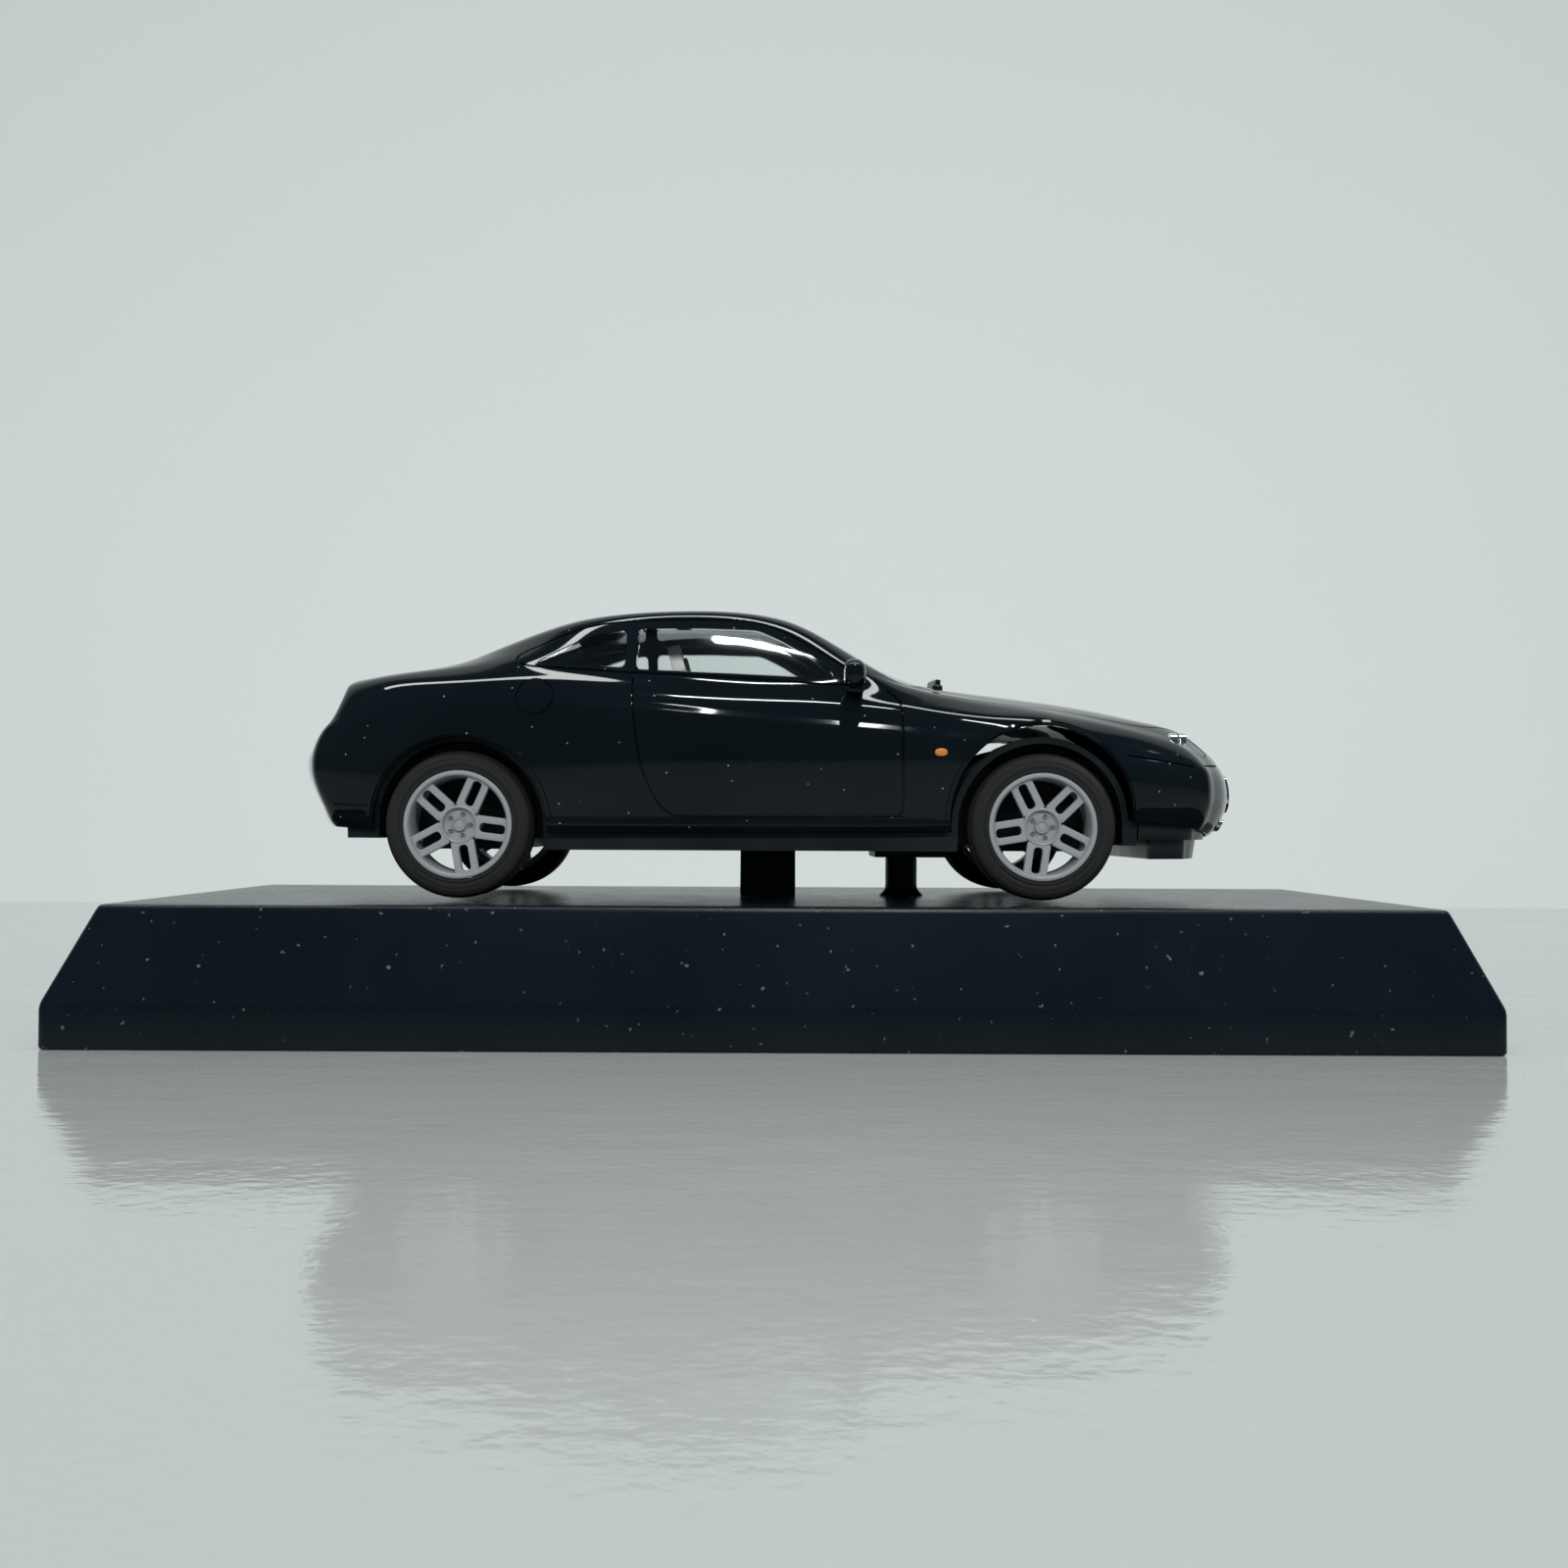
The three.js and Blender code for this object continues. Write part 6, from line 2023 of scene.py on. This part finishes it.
    def _bench(self) -> None:
        """Makes the rear bench, with a pad and a back to each side."""
        low, high = (np.array(PLACE.back(c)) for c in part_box("rear_bench"))
        width = (high[1] - low[1]) / 2 - 0.3
        parts = []
        for s in (-1, 1):
            y = s * (width / 2 + 0.15)
            lean = Matrix.Rotation(math.radians(-12), 4, "Y")
            back = self._panel(width, 6.2, 1.1, 0.4, 5)
            parts.append(back.moved(
                Matrix.Translation((low[0] + 1.9, y, low[2] + 1.6)) @ lean))
            flat = Matrix.Rotation(math.radians(-85), 4, "Y")
            cushion = self._panel(width, 4.2, 1.6, 0.35, 4)
            parts.append(cushion.moved(
                Matrix.Translation((high[0] + 0.1, y, low[2] + 1.7)) @ flat))
        pieces = [painted(smooth(make_object("pad", part), 40), CABIN_LIGHT) for part in parts]
        dress(joined("rear_bench_upholstery", pieces), CABIN_LIGHT, Body.CAR, ["rear_bench"])

    def _dashboard(self) -> None:
        """Makes the dashboard with its dials and vents, the console and the gear lever."""
        x, y = self.dash_x, self.spacing / 2
        outline = rounded([(x + 1.9, 10.5), (x + 2.7, 10.5), (x + 2.7, 14.55), (x + 1.6, 14.6),
                           (x + 0.2, 14.0), (x, 13.2), (x + 0.5, 12.3)], 0.5, 5)
        top = carve(make_object("dash", prism(outline, -14, 14, 1)), [self.surface.form(2.0)],
                    "INTERSECT")
        pieces = [painted(soften(top, 0.1, 2, 50), CABIN_DARK)]
        hood = rounded_block((x - 0.35, y - 2.1, 13.35), (x + 1.7, y + 2.1, 14.75), 0.5)
        pieces.append(painted(hood, CABIN_DARK))
        for offset in (-0.85, 0.85):
            dial = turned([(0, 0), (0.62, 0), (0.66, 0.08), (0.74, 0.08), (0.78, -0.1), (0, -0.1)],
                          (0, 0, 0), 0, 32)
            at = (Matrix.Translation((x - 0.4, y + offset, 14.0))
                  @ Matrix.Rotation(math.pi, 4, "Z"))
            pieces.append(painted(smooth(make_object("dial", dial.moved(at))), PLATED))
        console = rounded_block((x - 6.5, -1.1, self.floor), (x + 2.0, 1.1, 9.6), 0.35)
        stack = rounded_block((x + 0.1, -1.5, 9), (x + 2.2, 1.5, 13.6), 0.3,
                              turn=Matrix.Rotation(math.radians(12), 4, "Y"))
        slat = make_object("slat", block((x - 0.12, -1.1, 13.0), (x + 0.2, 1.1, 13.1)))
        vents = REPEAT.row("vents", slat, 4, (0, 0, 0.2), PLATED)
        lever = turned([(0, 9.4), (0.13, 9.4), (0.1, 10.9), (0.34, 11.0), (0.4, 11.25),
                        (0.3, 11.5), (0, 11.55)], (x - 3.2, 0, 0), 2, 24)
        pieces += [painted(console, CABIN_DARK), painted(stack, CABIN_DARK), vents,
                   painted(smooth(make_object("lever", lever)), CABIN_DARK)]
        dress(joined("dashboard_and_console", pieces), CABIN_DARK, Body.CAR, ["dashboard"])

    def _wheel(self) -> None:
        """Makes the steering wheel on its column."""
        radius, thick = 2.55, 0.24
        ring = turned([(radius + thick * math.cos(a), thick * math.sin(a))
                       for a in np.linspace(0, 2 * math.pi, 16, endpoint=False)], (0, 0, 0), 2, 64)
        hub = egg((0, 0, 0), (0.85, 0.75, 0.4), 3)
        column = turned([(0, -1.5), (0.32, -1.5), (0.26, 0), (0, 0)], (0, 0, 0), 2, 24)
        spoke = block((-0.2, 0, -0.1), (0.2, radius, 0.1))
        at = (Matrix.Translation((self.dash_x - 1.43, self.spacing / 2, 12.9))
              @ Matrix.Rotation(math.radians(-66), 4, "Y"))
        pieces = [smooth(make_object("ring", solid.moved(at))) for solid in (ring, column, hub)]
        for degrees in (90, -90, 179.99):
            turn = at @ Matrix.Rotation(math.radians(degrees), 4, "Z")
            pieces.append(soften(make_object("spoke", spoke.moved(turn)), 0.07))
        dress(joined("steering_wheel_moulding", [painted(p, CABIN_DARK) for p in pieces]),
              CABIN_DARK, Body.CAR, ["steering_wheel"])

    def _trim(self) -> None:
        """Makes the door cards' armrests and pads, and the mirror inside the windscreen."""
        pieces = []
        for side in BOTH:
            low, high = sorted((side.value * 10.35, side.value * 11.2))
            armrest = rounded_block((-5.5, low, 10.2), (5.2, high, 11.3), 0.3)
            low, high = sorted((side.value * 10.6, side.value * 11.3))
            card = rounded_block((-6.2, low, 8.0), (6.2, high, 13.6), 0.25)
            pieces += [painted(armrest, CABIN_LIGHT), painted(card, CABIN_DARK)]
        mirror = rounded_block((4.9, -1.4, 17.0), (5.2, 1.4, 17.7), 0.13)
        pieces.append(painted(mirror, CABIN_DARK))
        dress(joined("cabin_trim", pieces), CABIN_DARK)

    def build(self) -> None:
        """Makes everything in the cabin."""
        for side in BOTH:
            self._seat(side)
        self._bench()
        self._dashboard()
        self._wheel()
        self._trim()


# ---------------------------------------------------------------- front, tail and side trim
@dataclass
class FrontEnd:
    """Headlamps, grilles and chin spoiler.

    Attributes:
        surface: The body's surface, which they follow.
        bar_pitch: From each bar of the grille to the next.
        lamps: Each lamp's y and z behind its lens, and its radius.
    """

    surface: BodySurface
    bar_pitch: float = 0.44
    lamps: tuple[tuple[float, float, float], ...] = ((6.5, 11.05, 0.72), (8.45, 10.95, 0.72))

    def _lamps(self, side: Side) -> None:
        """Makes a headlamp's lens and what is behind it.

        Args:
            side: Which side it is on.
        """
        lens = smooth(self.surface.band(lamp_cut(side, -0.02), 0.04, 0.34), 30)
        dress(joined("lamp_lens_" + side.hand, [painted(lens, LENS)]), LENS, Body.CAR,
              ["headlamp_lens_" + side.hand])
        bowl = soften(self.surface.band(lamp_cut(side, -0.04), 0.95, 1.6), 0.04)
        pieces = [painted(bowl, SATIN_BLACK)]
        for y, z, radius in self.lamps:
            (hit, _), = self.surface.throw(np.array([(side.value * y, z)]), Projection.FRONT, side)
            at = PLACE.back(hit) - np.array([0.62, 0, 0])
            dish = turned([(0, -0.9), (radius, -0.3), (radius, 0.16), (radius - 0.12, 0.2),
                           (radius - 0.2, 0.0), (radius * 0.5, -0.32), (0, -0.42)], at, 0, 36)
            bulb = egg(at - np.array([0.15, 0, 0]), (0.36, 0.3, 0.3), 2, 24)
            pieces += [painted(smooth(make_object("dish", dish)), PLATED),
                       painted(smooth(make_object("bulb", bulb)), LENS)]
        dress(joined("lamp_reflector_" + side.hand, pieces), PLATED, Body.CAR,
              ["headlamp_reflector_" + side.hand])

    def _grille(self, name: str, node: str, shape: Sequence[float], w: float, count: int,
                upright: bool) -> None:
        """Makes a plated grille in its opening.

        Args:
            name: The piece's name.
            node: The CAD node that it is shown instead of.
            shape: The opening.
            w: Width of its frame.
            count: How many bars it has.
            upright: True if they stand, False if they lie.
        """
        half, z0, z1, corner = shape
        inner = (half - w, z0 + w, z1 - w, max(corner - w, 0.08))
        ring = carve(make_object("frame", end_cut(shape, NOSE, FAR)),
                     [make_object("hole", end_cut(inner, NOSE - 1, FAR))])
        ring = carve(ring, [self.surface.form(-0.22, None, 3)], "INTERSECT")
        ring = carve(ring, [self.surface.form(0.7)])
        pieces = [painted(soften(ring, 0.06, 2, 50), PLATED)]
        middle = (z0 + z1) / 2
        outline = (half - w / 2, z0 + w / 2, z1 - w / 2, corner)
        back = make_object("back", end_cut(outline, NOSE, FAR))
        back = carve(back, [self.surface.form(0.62, 0.0, 3)], "INTERSECT")
        pieces.append(painted(smooth(carve(back, [self.surface.form(0.95)])), SATIN_BLACK))
        if upright:
            for y in np.linspace(-half + w, half - w, count + 2)[1:-1]:
                spread = np.array([(y, z) for z in np.linspace(inner[1], inner[2], 4)])
                line = self.surface.throw(spread, Projection.FRONT, Side.LEFT)
                slat = smooth(ribbon("slat", line, 0.09, 0.12, 0.6, -0.08))
                pieces.append(painted(slat, PLATED))
        else:
            end = inner[0] + 0.1
            spread = np.array([(y, middle) for y in np.linspace(-end, end, 25)])
            line = self.surface.throw(spread, Projection.FRONT, Side.LEFT)
            bar = ribbon("bar", line, 0.15, 0.22, 0.6, -0.02)
            bar.data.transform(Matrix.Translation((0, 0, -self.bar_pitch * MM * (count - 1) / 2)))
            pieces.append(smooth(REPEAT.row("bars", bar, count, (0, 0, self.bar_pitch), PLATED)))
        dress(joined(name, pieces), PLATED, Body.CAR, [node])

    def _chin(self) -> None:
        """Makes the strip under the intake and the lip below it."""
        inset = 1.0
        strip = carve(make_object("strip", block((26.7, -20, 4.15), (40, 20, 5.6))),
                      [self.surface.form(inset)], "INTERSECT")
        strip = carve(strip, [self.surface.form(inset + 1.4), make_object(
            "hole", end_cut(LOWER_GRILLE, NOSE, FAR, 0.08))])
        lip = carve(make_object("lip", block((27.7, -20, 2.8), (40, 20, 4.6))),
                    [self.surface.form(1.6)], "INTERSECT")
        lip = carve(lip, [self.surface.form(inset + 1.9)])
        pieces = [painted(soften(part, 0.12, 2, 40), SATIN_BLACK) for part in (strip, lip)]
        dress(joined("chin_spoiler_moulding", pieces), SATIN_BLACK, Body.CAR, ["chin_spoiler"])

    def build(self) -> None:
        """Makes the front end."""
        for side in BOTH:
            self._lamps(side)
        self._grille("grille_plated", "front_grille", GRILLE, 0.36, 5, False)
        self._grille("intake_plated", "lower_grille", LOWER_GRILLE, 0.14, 17, True)
        self._chin()


@dataclass
class TailEnd:
    """Lamp strip and tail pipe.

    Attributes:
        surface: The body's surface, which the strip follows.
    """

    surface: BodySurface

    def build(self) -> None:
        """Makes the tail's pieces."""
        strip = smooth(self.surface.band(end_cut(TAIL_STRIP, -FAR, TAIL), 0.03, 0.6), 35)
        pieces = [painted(strip, RED_LENS)]
        for y in (-8.2, -6.4, -4.6, 4.6, 6.4, 8.2):
            spread = np.array([(y, z) for z in np.linspace(12.25, 13.05, 5)])
            line = self.surface.throw(spread, Projection.TAIL, Side.LEFT)
            pieces.append(painted(ribbon("divider", line, 0.12, 0.12, 0.2, 0.02), SATIN_BLACK))
        dress(joined("tail_lamp_lenses", pieces), RED_LENS, Body.CAR, ["tail_lamp_strip"])
        low, high = (PLACE.back(c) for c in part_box("tail_pipe"))
        r, length, mouth = PIPE_RADIUS, high[0] - low[0], (low[0], PIPE_Y, PIPE_Z)
        pipe = turned([(r, 0), (r, length), (r - 0.14, length), (r - 0.14, 0.8), (r - 0.12, 0.1),
                       (r - 0.06, 0)], mouth, 0, 40)
        back = turned([(0, 0.9), (r - 0.12, 0.9), (r - 0.12, 1.1), (0, 1.1)], mouth, 0, 32)
        pieces = [painted(smooth(make_object("pipe", pipe)), PLATED),
                  painted(smooth(make_object("back", back)), SATIN_BLACK)]
        dress(joined("tail_pipe_plated", pieces), PLATED, Body.CAR, ["tail_pipe"])


@dataclass
class SideTrim:
    """Door mirrors, repeaters and wipers.

    Attributes:
        surface: The body's surface, which they stand on.
        mirror: The middle of the left mirror's head.
        repeater: A repeater's x and z.
        wipers: Each wiper's word in node names, and its pivot's and tip's x and y.
    """

    surface: BodySurface
    mirror: tuple[float, float, float] = (6.95, 14.1, 15.25)
    repeater: tuple[float, float] = (12.87, 10.02)
    wipers: tuple[tuple[str, tuple[float, float], tuple[float, float]], ...] = (
        ("left", (13.3, 2.2), (11.3, 8.6)), ("right", (13.3, -5.6), (12.6, 1.2)))

    def _mirror(self, side: Side) -> None:
        """Makes a door mirror.

        Args:
            side: Which side it is on.
        """
        x, y, z = self.mirror
        head = make_object("head", egg((x, side.value * y, z), (0.82, 1.42, 1.02), 2.5, 40))
        cut = make_object("cut", block((x - 3, -20, z - 3), (x - 0.6, 20, z + 3)))
        carve(head, [cut])
        glass = egg((x - 0.6, side.value * y, z), (0.06, 0.9, 0.6), 3, 32)
        outline = [(x - 0.5, z - 1.15), (x + 0.75, z - 1.2), (x + 0.55, z - 0.3),
                   (x - 0.35, z - 0.2)]
        foot = prism(rounded(outline, 0.2, 4), *sorted((side.value * 11.6, side.value * y)), 1)
        pieces = [painted(soften(head, 0.08, 3, 50), PAINT),
                  painted(smooth(make_object("glass", glass)), PLATED),
                  painted(soften(make_object("foot", foot), 0.1, 2, 40), PAINT)]
        dress(joined("mirror_" + side.hand, pieces), PAINT, Body.CAR,
              ["door_mirror_" + side.hand])

    def _repeater(self, side: Side) -> None:
        """Makes the lamp on a front wing.

        Args:
            side: Which side it is on.
        """
        (hit, _), = self.surface.throw(np.array([self.repeater]), Projection.SIDE, side)
        spot = PLACE.back(hit)
        lens = make_object("repeater_lens_" + side.hand, egg(spot, (0.43, 0.12, 0.27), 2.4, 28))
        dress(smooth(lens), AMBER, Body.CAR, ["side_repeater_" + side.hand])

    def _wiper(self, hand: str, pivot: Sequence[float], tip: Sequence[float]) -> None:
        """Makes a wiper that lies on the windscreen's foot.

        Args:
            hand: Its word in node names.
            pivot: The pivot's x and y.
            tip: The tip's x and y.
        """
        run = np.linspace(0, 1, 15)[:, None]
        start, end = np.array(pivot), np.array(tip)
        line = self.surface.throw(start + (end - start) * run, Projection.TOP, Side.LEFT)
        arm = soften(ribbon("arm", line[:8], 0.34, 0.42, -0.12, 0.8), 0.07)
        blade = soften(ribbon("blade", line[3:], 0.2, 0.12, 0.0, 0.3), 0.05)
        spot = PLACE.back(line[0][0])
        cap = turned([(0, -0.2), (0.4, -0.2), (0.38, 0.3), (0.28, 0.4), (0, 0.43)], spot, 2, 28)
        pieces = [painted(p, SATIN_BLACK) for p in (arm, blade, smooth(make_object("cap", cap)))]
        dress(joined("wiper_arm_" + hand, pieces), SATIN_BLACK, Body.CAR, ["wiper_" + hand])

    def build(self) -> None:
        """Makes the trim."""
        for side in BOTH:
            self._mirror(side)
            self._repeater(side)
        for hand, pivot, tip in self.wipers:
            self._wiper(hand, pivot, tip)


# ---------------------------------------------------------------- wheels
@dataclass
class Wheelset:
    """A pair of wheels on their axle.

    Attributes:
        body: The body that they turn with.
        end: The axle's word in node names.
        spoke: Direction of the first pair of spokes, in degrees from +X towards +Z.
        rim_radius: Where the tyre sits.
        pairs: How many pairs of spokes a rim has.
        nuts: How many wheel nuts it has.
        blocks: How many blocks of tread go round each side of a tyre.
    """

    body: Body
    end: str
    spoke: float
    rim_radius: float = 3.68
    pairs: int = 5
    nuts: int = 5
    blocks: int = 64

    def _spokes(self, side: Side, centre: np.ndarray) -> bpy.types.Object:
        """Makes pairs of spokes, dished towards the hub, each round a long slot.

        Args:
            side: Which side the wheel is on.
            centre: Its middle, in the car's drawing.

        Returns:
            All the wheel's spokes.
        """
        outline = rounded([(1.12, -0.8), (3.34, -0.8), (3.34, 0.8), (1.12, 0.8)], 0.15, 10)
        slot = rounded([(1.42, -0.31), (3.2, -0.31), (3.2, 0.31), (1.42, 0.31)], 0.3, 10)

        def at(flat: np.ndarray, depth: float) -> np.ndarray:
            """Puts an outline on the wheel's dished face.

            Args:
                flat: Points along and across the spokes.
                depth: How far they lie behind the face.

            Returns:
                Points about the wheel's middle.
            """
            dish = 0.28 * np.clip((3.3 - flat[:, 0]) / 2.2, 0, 1) ** 1.5
            angle = math.radians(self.spoke)
            x = flat[:, 0] * math.cos(angle) - flat[:, 1] * math.sin(angle)
            z = flat[:, 0] * math.sin(angle) + flat[:, 1] * math.cos(angle)
            return np.column_stack([x, side.value * (1.42 - dish - depth), z])

        petal = loft([at(outline, 0), at(slot, 0), at(slot, 0.55), at(outline, 0.55)], True)
        return REPEAT.ring("spokes", soften(make_loose("petal", petal), 0.09, 3, 40), self.pairs,
                           centre * MM + PLACE.origin, RIM_SILVER)

    def _rim(self, side: Side, centre: np.ndarray) -> None:
        """Makes a rim with its hub, spokes and nuts.

        Args:
            side: Which side the wheel is on.
            centre: Its middle, in the car's drawing.
        """
        r, s = self.rim_radius, side.value
        barrel = [(r, 1.6), (r - 0.02, 1.69), (r - 0.1, 1.74), (r - 0.22, 1.74), (r - 0.33, 1.66),
                  (r - 0.38, 1.5), (r - 0.46, 1.1), (r - 0.5, 0.2), (r - 0.5, -1.2),
                  (r - 0.38, -1.6), (r - 0.2, -1.72), (r, -1.7)]
        hub = [(0, -0.9), (1.3, -0.9), (1.34, 1.0), (1.3, 1.17), (1.2, 1.22), (1.12, 1.16),
               (1.08, 0.86), (0.5, 0.8), (0.47, 1.02), (0.43, 1.08), (0.38, 1.08), (0.34, 0.98),
               (0.31, 1.0), (0, 1.06)]
        pieces = []
        for profile, sides, degrees in ((barrel, 128, 40), (hub, 72, 30)):
            part = turned([(a, s * h) for a, h in profile], centre, 1, sides)
            pieces.append(painted(smooth(make_object("part", part), degrees), RIM_SILVER))
        nut = prism(ellipse((0.75, 0), (0.15, 0.15), 6), *sorted((s * 0.75, s * 1.05)), 1)
        seed = soften(make_loose("nut", nut), 0.03)
        pieces += [self._spokes(side, centre),
                   REPEAT.ring("nuts", seed, self.nuts, centre * MM + PLACE.origin, ZINC)]
        dress(joined(f"wheel_rim_{self.end}_{side.hand}", pieces), RIM_SILVER, self.body,
              [f"rim_{self.end}_{side.hand}"])

    def _tyre(self, side: Side, centre: np.ndarray) -> None:
        """Makes a tyre with its side walls and tread.

        Args:
            side: Which side the wheel is on.
            centre: Its middle, in the car's drawing.
        """
        r, top = self.rim_radius + 0.03, PLACE.tyre_radius
        half = [(r, 1.62), (r + 0.12, 1.7), (r + 0.2, 1.72), (r + 0.24, 1.66), (r + 0.3, 1.66),
                (r + 0.36, 1.74), (r + 0.6, 1.77), (r + 0.66, 1.72), (r + 0.7, 1.72),
                (r + 0.76, 1.76), (top - 0.36, 1.7), (top - 0.2, 1.58), (top - 0.14, 1.45),
                (top - 0.1, 1.1), (top - 0.08, 0.98), (top, 0.96), (top, 0.62),
                (top - 0.14, 0.58), (top - 0.14, 0.44), (top, 0.4)]
        profile = half + [(a, -h) for a, h in reversed(half)]
        tyre = smooth(make_object("carcass", turned(profile, centre, 1, 144)), 50)
        tread = [(0.16, 1.02), (0.16, 1.5), (0.1, 1.6), (-0.02, 1.6), (-0.08, 1.5), (-0.08, 1.02)]
        pieces = [painted(tyre, RUBBER)]
        for sign in (1, -1):
            rings = []
            for radius, grow in ((top - 0.32, 0.0), (top - 0.02, -0.02)):
                rings.append(np.array([
                    (a - 0.04, sign * (h + grow), radius - max(0.0, h - 1.3) * 0.55)
                    for a, h in tread]))
            pieces.append(REPEAT.ring("treads", make_loose("tread", loft(rings)), self.blocks,
                                      centre * MM + PLACE.origin, RUBBER))
        dress(joined(f"tyre_tread_{self.end}_{side.hand}", pieces), RUBBER, self.body,
              [f"tyre_{self.end}_{side.hand}"])

    def build(self) -> None:
        """Makes both wheels; the axle keeps its own shape."""
        for side in BOTH:
            middle = box_middle(f"rim_{self.end}_{side.hand}")
            centre = PLACE.back(middle)
            centre[1] = side.value * PLACE.track / 2
            self._rim(side, centre)
            self._tyre(side, centre)


CARRIED_OVER = {
    "chassis_plate": CHASSIS_PLASTIC, "interior_tub": CABIN_DARK, "front_axle": ZINC,
    "rear_axle": ZINC, "rear_display_screw": ZINC, "front_display_screw": ZINC,
    "rear_body_screw": ZINC, "front_body_screw": ZINC,
}


def dress_frame() -> None:
    """Gives the pieces that keep the frame's shape their finishes, and reports them."""
    for name, finish in CARRIED_OVER.items():
        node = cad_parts[name]
        node.data.materials.clear()
        node.data.materials.append(finish.make())
        LOG.info("%s: as in the frame, in %s", name, finish.name)


def main() -> None:
    """Builds the studio and then the object, piece by piece."""
    logging.basicConfig(level=logging.INFO, format="%(name)s: %(message)s")
    Studio().build()
    Plinth().build()
    Posts().build()
    surface = BodySurface()
    half = PLACE.wheelbase / 2
    arches = ((-half, 5.0, 6.0), (half, 5.6, 6.3))
    BodyShell(surface, PLACE.track / 2 - 2.4, arches).build()
    Glazing(surface).build()
    Cabin(surface).build()
    FrontEnd(surface).build()
    TailEnd(surface).build()
    SideTrim(surface).build()
    bpy.data.objects.remove(surface.skin)
    Wheelset(Body.REAR, "rear", 65).build()
    Wheelset(Body.FRONT, "front", 45).build()
    dress_frame()


if __name__ == "__main__":
    main()
